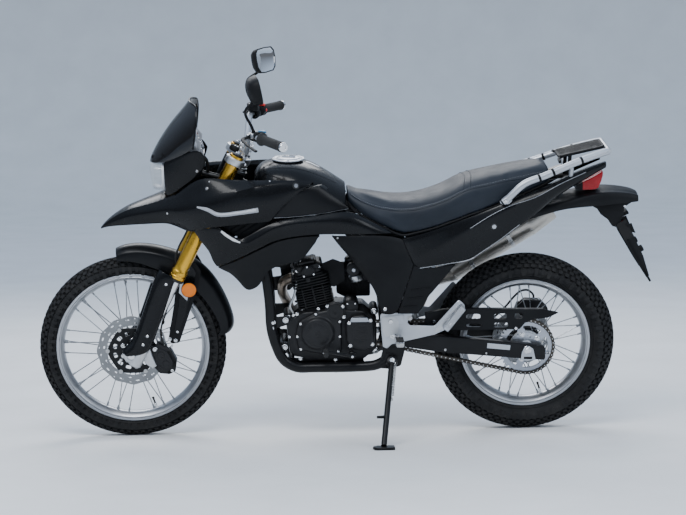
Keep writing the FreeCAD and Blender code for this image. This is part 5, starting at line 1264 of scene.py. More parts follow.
def top_strip(p, surf, pts, widths, h, mat, sub=6):
    """A raised band seen from above: pts (x, y)."""
    P = [V(x, y, 0) for x, y in pts]
    path, w = spline(P, list(widths), sub) if len(P) > 2 else (P, list(widths))
    rings = []
    for i, q in enumerate(path):
        t = (path[min(i + 1, len(path) - 1)] - path[max(i - 1, 0)]).normalized()
        s = V(-t.y, t.x, 0)
        row = []
        for u, hh in ((-0.5, -1.5), (-0.5, h * 0.6), (-0.38, h), (0.38, h), (0.5, h * 0.6), (0.5, -1.5)):
            x, y = q.x + s.x * w[i] * u, q.y + s.y * w[i] * u
            z, n = surf.top(x, y)
            z = z if z is not None else 1000
            row.append(V(x, y, z + hh))
        rings.append(row)
    p.rings(rings, mat)


for s in (1, -1):
    top_strip(p, TK, [(972, s * 66), (920, s * 84), (860, s * 92), (800, s * 92), (740, s * 78), (690, s * 62)], [2.2] * 6, 1.0, "gloss2", sub=8)
top_strip(p, TK, [(796, 0), (772, 0), (748, 0)], [16, 17, 15], 1.6, "silver", sub=6)
p.make(smooth=40)

# windscreen: smoked, with a moulded rim
W0 = [(1188, 1246, 82), (1201, 1252, 60), (1210, 1255, 34), (1213, 1256, 0)]
W1 = [(1186, 1230, 100), (1211, 1225, 78), (1233, 1225, 42), (1241, 1221, 0)]
W2 = [(1186, 1205, 116), (1240, 1178, 92), (1272, 1172, 50), (1283, 1180, 0)]
W3 = [(1191, 1155, 125), (1268, 1118, 100), (1320, 1104, 53), (1334, 1104, 0)]
W4 = [(1197, 1112, 127), (1288, 1066, 98), (1344, 1054, 53), (1358, 1056, 0)]
W5 = [(1200, 1096, 126), (1296, 1046, 93), (1350, 1037, 50), (1362, 1038, 0)]
screen = grid_skin("screen_smoked", "chassis", "windscreen", [W0, W1, W2, W3, W4, W5], "screen", cr_rows=[(0, 0.6, 0, 9)], cr_cols=[(0, 0.6, 0, 9), (1, 0.15, 2, 5)], sub=3, t=4.0, edge=1.0,
                   out=V(1, 0.4, 0), boundary='ALL')
SC = Surface(screen)
p = Piece("screen_rim", "chassis", None, "black_gloss")
edge_pts = [V(1212, 0, 1257), V(1209, 34, 1256), V(1200, 60, 1252.5), V(1188, 81, 1246), V(1185, 99, 1231), V(1185, 116, 1205), V(1190, 125, 1155), V(1198, 127, 1100)]
for s in (1, -1):
    p.sweep([V(q.x - 1.0, q.y * s, q.z - 0.5) for q in edge_pts], 3.2, "gloss", 8, 4)
for s in (1, -1):
    for yy, zz in ((30, 1058), (78, 1072)):
        hit = SC.tree.ray_cast(V(1700, s * yy, zz), V(-1, 0, 0))
        if hit[0] is not None:
            p.bolt(hit[0] - hit[1] * 0.4, hit[1], 4.4, 2.4, "plastic", "allen", washer=7)
p.make(smooth=40)

# black cowl sides between the screen, the lamp and the shrouds
C0 = [(1152, 1062, 106), (1172, 1096, 120), (1203, 1094, 124), (1248, 1072, 112), (1292, 1050, 94), (1306, 1042, 82)]
C1 = [(1156, 1046, 110), (1180, 1058, 122), (1216, 1046, 122), (1256, 1022, 112), (1292, 1004, 100), (1304, 1000, 92)]
C2 = [(1164, 1022, 112), (1190, 1018, 122), (1224, 1004, 120), (1260, 980, 110), (1291, 962, 98), (1303, 958, 88)]
C3 = [(1172, 1003, 110), (1198, 990, 116), (1232, 968, 112), (1266, 940, 102), (1290, 926, 90), (1300, 926, 80)]
cowl_s = grid_skin("lamp_cowl", "chassis", None, [C0, C1, C2, C3], "gloss", cr_rows=[(0, 0.5, 0, 9), (3, 0.5, 0, 9)], cr_cols=[(0, 0.6, 0, 9), (5, 0.7, 0, 9)], sub=2, t=3.0)
CW = Surface(cowl_s)
p = Piece("cowl_screws", "chassis", None, "chrome")
for s in (1, -1):
    screw(p, CW, 1186, 1020, 5.0, 2.6, "bolt", s, "allen", washer=7)
p.make(smooth=40)

# headlamp: shell, frame, reflector with bulb, clear front
p = Piece("lamp_housing", "chassis", "headlight", "black_plastic")


def lamp_ring(x, k, drop=0.0, xt=0.0):
    """Lamp outline at depth x, scaled k about its middle; z-dependent shift xt leans it."""
    base = [(0, 1043), (36, 1043), (60, 1040), (76, 1026), (88, 1004), (84, 978), (72, 950), (58, 938), (30, 933), (0, 932)]
    pts = base + [(-y, z) for y, z in base[1:-1]][::-1]
    return [V(x + xt * (z - 985), y * k, 985 + (z - 985) * k - drop) for y, z in pts]


p.rings([lamp_ring(1234, 0.72, xt=-0.2), lamp_ring(1252, 0.9, xt=-0.15), lamp_ring(1290, 1.0), lamp_ring(1302, 1.02)], "plastic", cap0=True, cap1=False)
p.rings([lamp_ring(1302, 1.02), lamp_ring(1306, 1.0), lamp_ring(1306, 0.93), lamp_ring(1296, 0.9)], "grey", cap0=False, cap1=False)
for k in range(6):
    y = -45 + 18 * k
    p.slab([V(1204 + 26, y - 2, 950), V(1204 + 26, y + 2, 950), V(1214, y + 2, 1020), V(1214, y - 2, 1020)], (-1, 0, 0), 8, "plastic", 0.6)
p.make(smooth=38, bevel=0.6)
p = Piece("lamp_reflector", "chassis", None, "chrome")
bowl = []
for k, x in ((0.9, 1298), (0.8, 1284), (0.62, 1266), (0.42, 1252), (0.22, 1245)):
    bowl.append(lamp_ring(x, k))
p.rings(bowl, "chrome", cap0=False, cap1=True)
p.lathe([(0, 0), (10, 0), (10, 14), (7, 20), (6.5, 40), (3, 44), (0, 45)], V(1243, 0, 985), (1, 0, 0), "lens", 24)
for s in (1, -1):
    p.lathe([(11, 0), (17, 2), (24, 12), (26, 20), (25, 20), (16, 4), (11, 2)], V(1262, s * 44, 975), (1, 0, 0), "chrome", 32)
p.make(smooth=45)
p = Piece("lamp_glass", "chassis", "headlight_lens", "lens")
front = [lamp_ring(1300, 0.985), lamp_ring(1320, 0.965, xt=0.02), lamp_ring(1340, 0.93, xt=0.05), lamp_ring(1349, 0.88, xt=0.06), lamp_ring(1353, 0.80, xt=0.07), lamp_ring(1355, 0.5, xt=0.07), lamp_ring(1356, 0.12, xt=0.07)]
p.rings(front, "lens", cap0=False, cap1=True)
inner_f = [[V(q.x - 3.2, q.y * 0.96, 985 + (q.z - 985) * 0.96) for q in r] for r in front]
p.rings(inner_f[::-1], "lens", cap0=True, cap1=False)
p.make(smooth=45)
# pale frame round the lens' rear edge, as the photo shows
p = Piece("lamp_frame", "chassis", None, "silver_paint")
a, b = lamp_ring(1301, 1.0), lamp_ring(1311, 0.985)
c, d = lamp_ring(1313, 0.93), lamp_ring(1303, 0.93)
p.rings([a, b, c, d], "white", closed=True)
p.make(smooth=40, bevel=0.5)

# instruments: pod, bezel, dark window, back shell, warning lamps
p = Piece("instrument_pod", "chassis", "instruments", "black_plastic")


def dash_pt(u, y, h):
    """u along the face from low to high, h out of it, towards the rider."""
    a, b = V(1166, 0, 1062), V(1190, 0, 1136)
    d = (b - a).normalized()
    n = V(-d.z, 0, d.x)
    q = a + d * u + n * h
    return V(q.x, y, q.z)


face_o = [(-60, 0), (-70, 12), (-72, 40), (-64, 66), (-44, 80), (0, 84), (44, 80), (64, 66), (72, 40), (70, 12), (60, 0), (0, -4)]
mk = lambda k, h, f=1.0: [dash_pt(38 + (u - 38) * k, y * k * f, h) for y, u in face_o]
p.rings([mk(0.72, -44), mk(0.94, -30), mk(1.0, -14), mk(1.0, -2)], "plastic", cap0=True, cap1=False)
p.rings([mk(1.0, -2), mk(1.01, 3), mk(0.93, 5), mk(0.88, 1)], "grey", cap0=False, cap1=False)
p.rings([mk(0.88, 1), mk(0.8, 0.4)], "gloss", cap0=False, cap1=True)
for y, u, r in ((-38, 42, 20), (34, 44, 25)):
    p.lathe([(r - 3, 0.2), (r, 0.4), (r, 2.0), (r - 1.4, 2.6), (r - 3, 2.0)], dash_pt(u, y, 0), dash_pt(0, 0, 1) - dash_pt(0, 0, 0), "chrome", 36, closed=True)
for k in range(5):
    p.bolt(dash_pt(70, -28 + 14 * k, 0.4), dash_pt(0, 0, 1) - dash_pt(0, 0, 0), 2.6, 1.2, ("amber", "redpl", "bluepl", "yellow", "redpl")[k], "round")
for s in (1, -1):
    p.bolt(dash_pt(8, s * 52, 3), dash_pt(0, 0, 1) - dash_pt(0, 0, 0), 4, 2, "plastic", "allen")
p.make(smooth=40, bevel=0.7)
# silver cheeks of the pod, seen between screen and bars
p = Piece("instrument_cheeks", "chassis", None, "silver_paint")
for s in (1, -1):
    q = [V(1222, s * 74, 1122), V(1196, s * 74, 1146), V(1170, s * 74, 1116), V(1174, s * 74, 1074), V(1194, s * 74, 1064), V(1216, s * 74, 1090)]
    p.slab(q, (0, s, 0), 7, "grey", 3.0)
    q = [V(1207, s * 80.5, 1112), V(1196, s * 80.5, 1126), V(1184, s * 80.5, 1112), V(1186, s * 80.5, 1090), V(1200, s * 80.5, 1092)]
    p.slab(q, (0, s, 0), 2.4, "silver", 1.0)
p.make(smooth=40, bevel=1.2)


# ---- seat: closed pad, cushioned by a short cloth pass, then seams
SEAT_SECS = [
    (649, [(0, 940), (44, 937), (66, 924), (76, 906), (72, 888), (0, 888)]),
    (612, [(0, 921), (54, 918), (88, 902), (100, 876), (92, 852), (0, 862)]),
    (566, [(0, 904), (62, 902), (106, 884), (118, 852), (110, 824), (0, 850)]),
    (520, [(0, 892), (68, 890), (116, 870), (128, 832), (118, 802), (0, 838)]),
    (458, [(0, 885), (74, 884), (124, 862), (136, 814), (126, 776), (0, 834)]),
    (400, [(0, 889), (80, 888), (130, 866), (140, 820), (130, 786), (0, 838)]),
    (340, [(0, 905), (86, 904), (134, 880), (142, 834), (134, 802), (0, 846)]),
    (290, [(0, 924), (90, 923), (136, 898), (142, 852), (134, 820), (0, 860)]),
    (252, [(0, 946), (92, 945), (136, 916), (141, 866), (132, 832), (0, 872)]),
    (215, [(0, 962), (92, 960), (134, 932), (139, 880), (130, 846), (0, 886)]),
    (150, [(0, 975), (90, 973), (130, 946), (134, 898), (124, 866), (0, 904)]),
    (80, [(0, 990), (86, 988), (124, 962), (127, 920), (116, 892), (0, 926)]),
    (5, [(0, 1003), (80, 1001), (114, 976), (116, 942), (106, 922), (0, 950)]),
    (-50, [(0, 1010), (72, 1008), (102, 988), (104, 962), (94, 944), (0, 966)]),
    (-78, [(0, 1008), (62, 1005), (88, 992), (90, 970), (82, 956), (0, 968)]),
]
seat0 = half_loft("seat_pad", "chassis", "seat", SEAT_SECS, "seat", sub=2, smooth=60, crease_lines=[(4, 0.7, 0, 20), (2, 0.35, 0, 20)])


def puff(ob, cap, vox=0.006, pressure=4.0, frames=20, keep_low=None):
    """Short cloth pass with air inside; no point moves further than cap from where it began."""
    me = ob.data.copy()
    w = bpy.data.objects.new("puff_work", me)
    bpy.context.scene.collection.objects.link(w)
    rm = w.modifiers.new("vox", 'REMESH')
    rm.mode, rm.voxel_size = 'VOXEL', vox
    dg = bpy.context.evaluated_depsgraph_get()
    base = bpy.data.meshes.new_from_object(w.evaluated_get(dg))
    w.modifiers.clear()
    w.data = base
    start = [v.co.copy() for v in base.vertices]
    cl = w.modifiers.new("cloth", 'CLOTH')
    st = cl.settings
    st.use_pressure = True
    st.uniform_pressure_force = pressure
    st.effector_weights.gravity = 0.0
    st.quality = 5
    st.mass = 0.3
    st.tension_stiffness = st.compression_stiffness = 15
    st.bending_stiffness = 2.0
    cl.collision_settings.use_self_collision = False
    sc = bpy.context.scene
    for f in range(1, frames + 1):
        sc.frame_set(f)
    dg = bpy.context.evaluated_depsgraph_get()
    res = w.evaluated_get(dg).to_mesh()
    new = [v.co.copy() for v in res.vertices]
    w.evaluated_get(dg).to_mesh_clear()
    sc.frame_set(1)
    w.modifiers.clear()
    out = base
    for i, v in enumerate(out.vertices):
        d = new[i] - start[i]
        L = d.length
        if L > 1e-9:
            d = d * (min(L, cap) / L)
        b = TO_BIKE @ start[i]
        k = 1.0 if keep_low is None else keep_low(b)
        v.co = start[i] + d * k
    bm = bmesh.new()
    bm.from_mesh(out)
    for _ in range(2):
        bmesh.ops.smooth_vert(bm, verts=bm.verts, factor=0.5, use_axis_x=True, use_axis_y=True, use_axis_z=True)
    bm.to_mesh(out)
    bm.free()
    bpy.data.objects.remove(w)
    mats = [m for m in ob.data.materials]
    out.materials.clear()
    for m in mats:
        out.materials.append(m)
    ob.data = out
    ob.data.polygons.foreach_set("use_smooth", [True] * len(out.polygons))
    return ob


def seat_keep(b):
    """Full swell on the upper faces, none along the lower edge and under the pad."""
    low = 776.0
    prof = spline_z(b.x)
    return max(0.0, min(1.0, (b.z - prof - 8) / 40.0))


def spline_z(x):
    pts = [(s[0], s[1][4][1]) for s in SEAT_SECS]
    for (x1, z1), (x0, z0) in zip(pts[:-1], pts[1:]):
        if x0 <= x <= x1:
            return z0 + (z1 - z0) * (x - x0) / (x1 - x0)
    return pts[0][1] if x > pts[0][0] else pts[-1][1]


puff(seat0, 0.006, keep_low=seat_keep)
ST = Surface(seat0)


def on_top(x, y, h=0.0):
    z, n = ST.top(x, y)
    return None if z is None else V(x, y, z + h)


p = Piece("seat_seams", "chassis", None, "seat_vinyl")
# welt along the shoulder, both sides, and two cross seams at the step
for s in (1, -1):
    pts = []
    for x, f in ((640, 0.80), (600, 0.80), (550, 0.80), (500, 0.80), (450, 0.80), (400, 0.80), (350, 0.80), (300, 0.80), (255, 0.80), (215, 0.80), (150, 0.80), (80, 0.80), (10, 0.80), (-45, 0.80), (-70, 0.75)):
        # half width there
        for (xa, pa), (xb, pb) in zip(SEAT_SECS[:-1], SEAT_SECS[1:]):
            if xb <= x <= xa:
                w = pb[2][0] + (pa[2][0] - pb[2][0]) * (x - xb) / (xa - xb)
                break
        q = on_top(x, s * w * 0.93, 0.2)
        if q:
            pts.append(q)
    p.sweep(pts, 2.1, "seat", 8, 6)
    path, _ = spline(pts, [0] * len(pts), 14)
    acc = 0.0
    for i in range(1, len(path)):
        acc += (path[i] - path[i - 1]).length
        if acc > 6.5:
            acc = 0.0
            t = (path[i] - path[i - 1]).normalized()
            off = V(0, -s * 5.0, 0)
            q = path[i] + off
            z, n = ST.top(q.x, q.y)
            if z is None:
                continue
            q = V(q.x, q.y, z + 0.15)
            p.slab([q - t * 2.0 - Y * 0.45, q + t * 2.0 - Y * 0.45, q + t * 2.0 + Y * 0.45, q - t * 2.0 + Y * 0.45], n, 0.5, "grey", 0.12)
for x, amp in ((238, 14.0), (214, 12.0)):
    pts = []
    for k in range(-9, 10):
        y = k * 13.2
        q = on_top(x - amp * math.cos(y / 120 * math.pi / 2), y, 0.1)
        if q:
            pts.append(q)
    p.sweep(pts, 1.6, "seat", 8, 3)
p.make(smooth=50)
# seat base moulding under the lower edge
p = Piece("seat_base_edge", "chassis", None, "black_plastic")
for s in (1, -1):
    pts = [V(x, s * (pts_[4][0] - 3), pts_[4][1] - 2) for x, pts_ in SEAT_SECS]
    p.sweep(pts, 4.5, "plastic", 8, 5)
p.make(smooth=50)

# ------------------------------------------------------------------ front end
LEG_Y, YOKE = 104.0, 35.0


def sp(up, fwd, y):
    return steer(up, fwd, y)


def clamp_outline(up, r_leg, back=26.0):
    pts = []
    half = [(-back, 0), (-back + 1, 16), (-back + 6, 34), (-6, 58), (6, 74)]
    c = (YOKE, LEG_Y)
    for k in range(13):
        a = math.radians(205 - k * 205 / 12)
        half.append((c[0] + r_leg * math.cos(a), c[1] + r_leg * math.sin(a)))
    half += [(YOKE + r_leg - 2, LEG_Y - 12), (YOKE + 22, LEG_Y - 40), (YOKE + 2, 34), (YOKE - 6, 0)]
    full = half + [(f, -y) for f, y in half[1:-1]][::-1]
    return [sp(up, f, y) for f, y in full]


p = Piece("yokes", "steering", "triple_clamps")
UC0, UC1 = 796.0, 822.0
p.slab(clamp_outline(UC0, 36), UP, UC1 - UC0, "alu", 2.5)
p.slab(clamp_outline(566, 37, 28), UP, 30, "paint", 2.5)
p.cyl(sp(560, 0, 0), sp(UC1 + 2, 0, 0), 17.4, "steel", 28)
p.lathe([(0, 0), (26, 0), (27, 1.5), (27, 8), (25, 10), (0, 10)], sp(772, 0, 0), UP, "steel", 36)
p.lathe([(0, 0), (24, 0), (24, 6), (0, 6)], sp(785, 0, 0), UP, "steel", 12)
p.bolt(sp(UC1, 0, 0), UP, 17, 9, "chrome", "hex", washer=21)
for s in (1, -1):
    # risers and bar clamps
    p.lathe([(0, 0), (18, 0), (18, 3), (14, 8), (14, 26), (17, 32), (0, 32)], sp(UC1 - 1, 12, s * 42), UP, "alu", 28)
    BC = sp(854, 12, s * 42)
    n = UP
    u, w = FWD, Y
    blk = lambda h0, h1: [BC + u * a + w * b + n * h0 for a, b in ((-21, -16), (21, -16), (21, 16), (-21, 16))]
    p.slab(blk(-17, 0), n, 16.4, "alu", 2.0)
    p.slab(blk(0.6, 0), n, 16.4, "alu", 3.0)
    for a in (-15.5, 15.5):
        for b in (-9, 9):
            p.bolt(BC + u * a + w * b + n * 17, n, 4.2, 4, "chrome", "allen")
    # pinch bolts of both yokes
    for up in (UC0 + 13, 574, 589):
        p.bolt(sp(up, YOKE - 38, s * (LEG_Y - 14)), -FWD, 5.5, 6, "chrome", "allen")
# key switch between the risers
p.lathe([(0, 0), (21, 0), (22, 2), (22, 16), (19, 20), (9, 20), (9, 17), (0, 17)], sp(UC1, 44, 0), UP, "plastic", 32)
p.lathe([(0, 0), (8, 0), (8, 2.5), (0, 2.5)], sp(UC1 + 17.5, 44, 0), UP, "chrome", 20)
p.make(smooth=38, bevel=0.6)

p = Piece("fork_uppers_gold", "steering", "fork_tubes")
for s in (1, -1):
    prof = [(20.6, 330.4), (27.5, 330.4), (29.6, 331.5), (30.4, 334), (30.4, 341), (29.4, 343), (28.0, 344), (28.0, 347), (29.8, 348.5), (30.0, 358), (28.4, 361), (26.4, 366), (25.8, 380), (25.8, 560),
            (25.2, 562), (25.2, 600), (25.6, 604), (25.6, 790), (25.6, 826), (24.6, 829.5), (22.5, 830.5), (0, 830.5)]
    p.lathe([(r, t) for r, t in prof], sp(0, YOKE, s * LEG_Y), UP, "gold", 48)
    p.lathe([(20.6, 0), (26.5, 0), (27.6, 1.2), (27.6, 7), (24, 10.5), (20.6, 10.5)], sp(319.5, YOKE, s * LEG_Y), UP, "rubber", 40, closed=True)
    # painted shade: on the right leg, away from the camera, a black sleeve between the clamps darkens the gold tube
    # where it lies in shadow
    if s < 0:
        p.lathe([(25.3, 612), (26.4, 613), (26.4, 788), (25.3, 789)], sp(0, YOKE, s * LEG_Y), UP, "paint", 40, closed=True)
    p.lathe([(0, 0), (21, 0), (21, 3), (17, 5), (0, 5)], sp(830.5, YOKE, s * LEG_Y), UP, "plastic", 30)
    p.bolt(sp(835, YOKE, s * LEG_Y), UP, 11, 6, "steelblue", "hex")
    p.lathe([(0, 0), (5, 0), (5, 5), (4, 6), (0, 6)], sp(840.5, YOKE, s * LEG_Y), UP, "chrome", 16)
p.make(smooth=35)

p = Piece("fork_lower_legs", "steering", "fork_lowers")
for s in (1, -1):
    c = sp(0, YOKE, s * LEG_Y)
    p.lathe([(0, 100), (19.9, 100), (19.9, 329.5), (0, 329.5)], c, UP, "chrome", 40)
    # cast foot with its clamp round the axle
    p.lathe([(0, -36), (20, -36), (25, -32), (26.5, -24), (26.5, 30), (26.5, 84), (25.5, 88), (27.5, 91), (27.5, 106), (26, 109), (22.5, 111), (20, 111)], c, UP, "alu", 40)
    o = [V(WB - 24, s * (LEG_Y - 20), FZ + 26), V(WB + 6, s * (LEG_Y - 20), FZ + 30), V(WB + 27, s * (LEG_Y - 20), FZ + 16), V(WB + 31, s * (LEG_Y - 20), FZ - 6), V(WB + 20, s * (LEG_Y - 20), FZ - 26),
         V(WB - 6, s * (LEG_Y - 20), FZ - 32), V(WB - 26, s * (LEG_Y - 20), FZ - 20), V(WB - 38, s * (LEG_Y - 20), FZ + 4)]
    p.slab(o, (0, s, 0), 40, "alu", 5)
    p.lathe([(9, 0), (25, 0), (26, 1), (26, 5), (24, 6.5), (17, 6.5), (16.6, 3), (9, 3)], V(WB, s * (LEG_Y + 15.5), FZ), (0, s, 0), "alu", 36, closed=True)
    for dz in (-21, 21):
        q = V(WB + 14, s * LEG_Y, FZ) + UP * dz * 0.9 + FWD * 14
        p.bolt(q + UP * (8 if dz > 0 else -8), UP if dz > 0 else -UP, 6, 7, "chrome", "hex")
    # brake lug and guard screws
    if s > 0:
        p.slab([V(1378, 82, 368), V(1366, 82, 330), V(1352, 82, 292), V(1366, 82, 282), V(1392, 82, 300), V(1412, 82, 350)], (0, 1, 0), 16, "alu", 3)
    for up in (60, 92):
        p.bolt(sp(up, YOKE - 4, s * (LEG_Y + 26)), (0, s, 0), 5, 5, "chrome", "allen")
p.make(smooth=38, bevel=0.8)

p = Piece("front_axle_nuts", "steering", "front_axle")
p.cyl(V(WB, -128, FZ), V(WB, 128, FZ), 8.45, "steel", 24)
p.bolt(V(WB, 125.5, FZ), Y, 13, 8, "chrome", "hex", washer=14.5)
p.lathe([(0, 126), (13.5, 126), (14, 127), (14, 132), (12, 134), (6.5, 134), (6, 129), (0, 129)], V(WB, 0, FZ), (0, -1, 0), "chrome", 6)
p.make(smooth=35)

# fork guards: broad black shields with a ridge, flared at the foot
GU = [(334, 42, 106, 0.0), (318, 36, 110, 0.6), (270, 30, 106, 1.0), (200, 22, 98, 1.0), (130, 13, 88, 1.0), (80, 8, 83, 1.0), (44, 8, 84, 1.0), (20, 22, 92, 1.0), (4, 44, 98, 0.9), (-6, 58, 96, 0.6)]
rows = []
for up, fr, ff, k in GU:
    pts = [(fr, 118), (fr + 3, 129), (fr + 12, 137.5), ((fr + ff) / 2 + 6, 141), (ff - 15, 135), (ff - 3, 121), (ff, 106), (ff - 7, 94)]
    rows.append([(lambda q: (q.x, q.z, q.y))(sp(up, f, 104 + (y - 104) * (0.75 + 0.25 * k))) for f, y in pts])
guard = grid_skin("fork_shields", "steering", "fork_guards", rows, "gloss", cr_cols=[(4, 0.65, 0, 20), (2, 0.3, 0, 20), (0, 0.6, 0, 20), (7, 0.6, 0, 20)], cr_rows=[(0, 0.7, 0, 9), (9, 0.7, 0, 9), (6, 0.3, 0, 9)], sub=2, t=3.0)
GD = Surface(guard)
p = Piece("shield_screws", "steering", None, "chrome")
for s in (1, -1):
    for up, fw in ((300, 62), (96, 40), (60, 40)):
        q = sp(up, fw, 0)
        screw(p, GD, q.x, q.z, 5.0, 2.6, "chrome", s, "allen")
    # bracket that holds the shield to the leg's foot
    p.slab([sp(116, 20, s * 124), sp(116, 58, s * 124), sp(40, 58, s * 124), sp(40, 20, s * 124)], (0, s, 0), 8, "alu", 1.5)
p.make(smooth=40)

# front fender
FD = [(82, 378), (86, 385), (92, 391), (100, 395), (109, 397), (118, 401), (128, 408), (138, 404), (148, 396), (158, 390), (165, 387), (169, 380), (171, 366)]
rows = []
for deg, r in FD:
    a = math.radians(deg)
    f = min(1.0, max(0.0, (deg - 82) / 26.0))
    g = 1.0 if deg < 135 else max(0.2, 1 - (deg - 135) / 40)
    depth = 22 + 34 * f * g
    nose_in = 0.80 + 0.20 * f
    sec = [(0, 0), (20, -2.5), (41 * nose_in, -11), (54 * nose_in, -23), (58 * nose_in, -23 - depth * 0.55), (59 * nose_in, -23 - depth)]
    if deg == 82:
        sec = [(0, -2), (18, -5), (33, -13), (42, -22), (45, -32), (45, -42)]
    rows.append([(WB + (r + dr) * math.cos(a), FZ + (r + dr) * math.sin(a), y) for y, dr in sec])
fender = grid_skin("front_mudguard", "steering", "front_fender", rows, "gloss2", cr_cols=[(3, 0.45, 0, 20), (5, 0.6, 0, 20)], cr_rows=[(0, 0.6, 0, 9), (12, 0.7, 0, 9)], sub=2, t=3.0, out=V(0, 0.4, 1))
FN = Surface(fender)
p = Piece("mudguard_stays", "steering", None, "black_plastic")
for s in (1, -1):
    o = round_poly([(1204, 676), (1246, 674), (1270, 620), (1286, 500), (1308, 384), (1296, 366), (1268, 370), (1236, 460), (1204, 552), (1182, 636)], 10, 3)
    p.prism(o, s * 61, s * 66, "plastic", 1.0)
    o2 = round_poly([(1214, 660), (1236, 660), (1254, 610), (1270, 500), (1286, 410), (1272, 398), (1246, 470), (1218, 560), (1200, 634)], 8, 3)
    p.prism(o2, s * 65.5, s * 68.5, "gloss", 1.0)
    for x, z in ((1274, 413), (1303, 384), (1282, 379)):
        p.bolt(V(x, s * 66, z), (0, s, 0), 5, 5, "chrome", "allen", washer=7)
    # bolts that hold the guard to the lower yoke bracket
    for x, z in ((1246, 664), (1230, 648)):
        p.bolt(V(x, s * 66, z), (0, s, 0), 6, 6, "chrome", "allen", washer=9)
    # bracket over the tyre from the guard to the fork collar
    p.sweep([V(1240, s * 60, 676), V(1262, s * 74, 662), V(1270, s * 84, 640)], 7, "plastic", 10, 4)
    # lug and thin bracket from the collar down to the stay
    p.slab([sp(332, YOKE - 26, s * 104), sp(312, YOKE - 34, s * 104), sp(288, YOKE - 66, s * 104), sp(270, YOKE - 70, s * 104), sp(284, YOKE - 30, s * 104), sp(318, YOKE - 18, s * 104)], (0, s, 0), 5, "silver", 1.2)
p.make(smooth=38)
p = Piece("fork_reflectors", "steering", None, "red_lens")
for s in (1, -1):
    q = V(1226, s * 110, 582)
    p.lathe([(0, 0), (27, 0), (28, 1.5), (28, 6), (27, 8)], q, (0, s, 0), "plastic", 40)
    p.lathe([(0, 9.5), (14, 9.3), (23, 8.2), (26.4, 6.5), (26.4, 5)], q, (0, s, 0), "amber", 40)
    p.cyl(V(1226, s * 66, 582), V(1226, s * 111, 582), 5, "steel", 12)
p.make(smooth=40)

# front caliper
p = Piece("front_brake", "steering", "front_caliper")
o = round_poly([(1374, 356), (1346, 374), (1306, 354), (1278, 306), (1284, 268), (1306, 256), (1342, 260), (1372, 296)], 12, 4)
p.prism(o, 67.5, 86, "engine", 2.0)
o2 = round_poly([(1360, 348), (1340, 358), (1312, 342), (1292, 304), (1298, 276), (1314, 268), (1338, 272), (1358, 302)], 10, 4)
p.prism(o2, 85, 89.5, "engine", 1.5)
o3 = round_poly([(1300, 352), (1278, 306), (1284, 268), (1306, 256), (1318, 258), (1303, 300), (1316, 346)], 6, 3)
p.prism(o3, 46, 86, "engine", 2.0)
o4 = round_poly([(1350, 360), (1306, 346), (1286, 300), (1300, 266), (1326, 264), (1352, 300)], 10, 3)
p.prism(o4, 45.5, 50, "engine", 1.2)
for x, z, r in ((1338, 330, 15), (1318, 296, 15)):
    p.lathe([(0, 0), (r, 0), (r, 2.2), (r - 2, 3), (r - 4, 3), (r - 5, 1.4), (0, 1.4)], V(x, 89, z), Y, "engine", 28)
p.bolt(V(1356, 86, 352), Y, 6, 6, "chrome", "hex", washer=9)
p.bolt(V(1296, 86, 272), Y, 6, 6, "chrome", "allen")
p.lathe([(0, 0), (4.4, 0), (4.4, 7), (3, 8), (3, 14), (0, 14)], V(1300, 70, 352), V(-0.5, 0, 0.86), "chrome", 10)
for k in range(3):
    p.slab([V(1330 + 9 * k, 88, 272 + 6 * k), V(1334 + 9 * k, 88, 270 + 6 * k), V(1342 + 8 * k, 88, 290 + 6 * k), V(1338 + 8 * k, 88, 292 + 6 * k)], Y, 3, "engine", 0.6)
# brake line from the caliper up behind the leg to the clip on the lower yoke
line = [V(1322, 77, 352), V(1331, 76, 384), V(1334, 71, 420), V(1316, 70, 480), V(1295, 70, 545), V(1262, 70, 606), V(1265, 70, 646), V(1273, 70, 688), V(1262, 70, 727), V(1236, 70, 776), sp(548, 74, 68), sp(584, 68, 60)]
p.sweep(line, 3.5, "rubber", 12, 6)
p.slab([sp(575, 54.5, 52.5), sp(575, 74.5, 52.5), sp(575, 74.5, 67.5), sp(575, 54.5, 67.5)], UP, 16, "plastic", 1.5)
for i, f in ((2, 0.5), (5, 0.3)):
    q = line[i].lerp(line[i + 1], f)
    p.lathe([(3.3, -6), (5.4, -6), (5.6, -5), (5.6, 5), (5.4, 6), (3.3, 6)], q, (line[i + 1] - line[i]).normalized(), "plastic", 16, closed=True)
p.make(smooth=38, bevel=0.5)

# handlebar, grips, levers, switches
BARC = sp(854, 12, 0)
p = Piece("bar_tube", "steering", "handlebar")
bar = [V(BARC.x, 0, BARC.z), V(BARC.x, 70, BARC.z), V(BARC.x - 1, 96, BARC.z + 2), V(BARC.x - 12, 186, 1156), V(BARC.x - 20, 214, 1164), V(BARC.x - 42, 260, 1166), V(884, 386, 1158.4)]
p.sweep([V(q.x, -q.y, q.z) for q in bar[:0:-1]] + bar, 10.9, "silver", 20, 6)
for s in (1, -1):
    p.pipe(V(BARC.x, s * 58.5, BARC.z), V(BARC.x, s * 62, BARC.z), 12.2, 10.5, "silver", 24)
p.make(smooth=50)

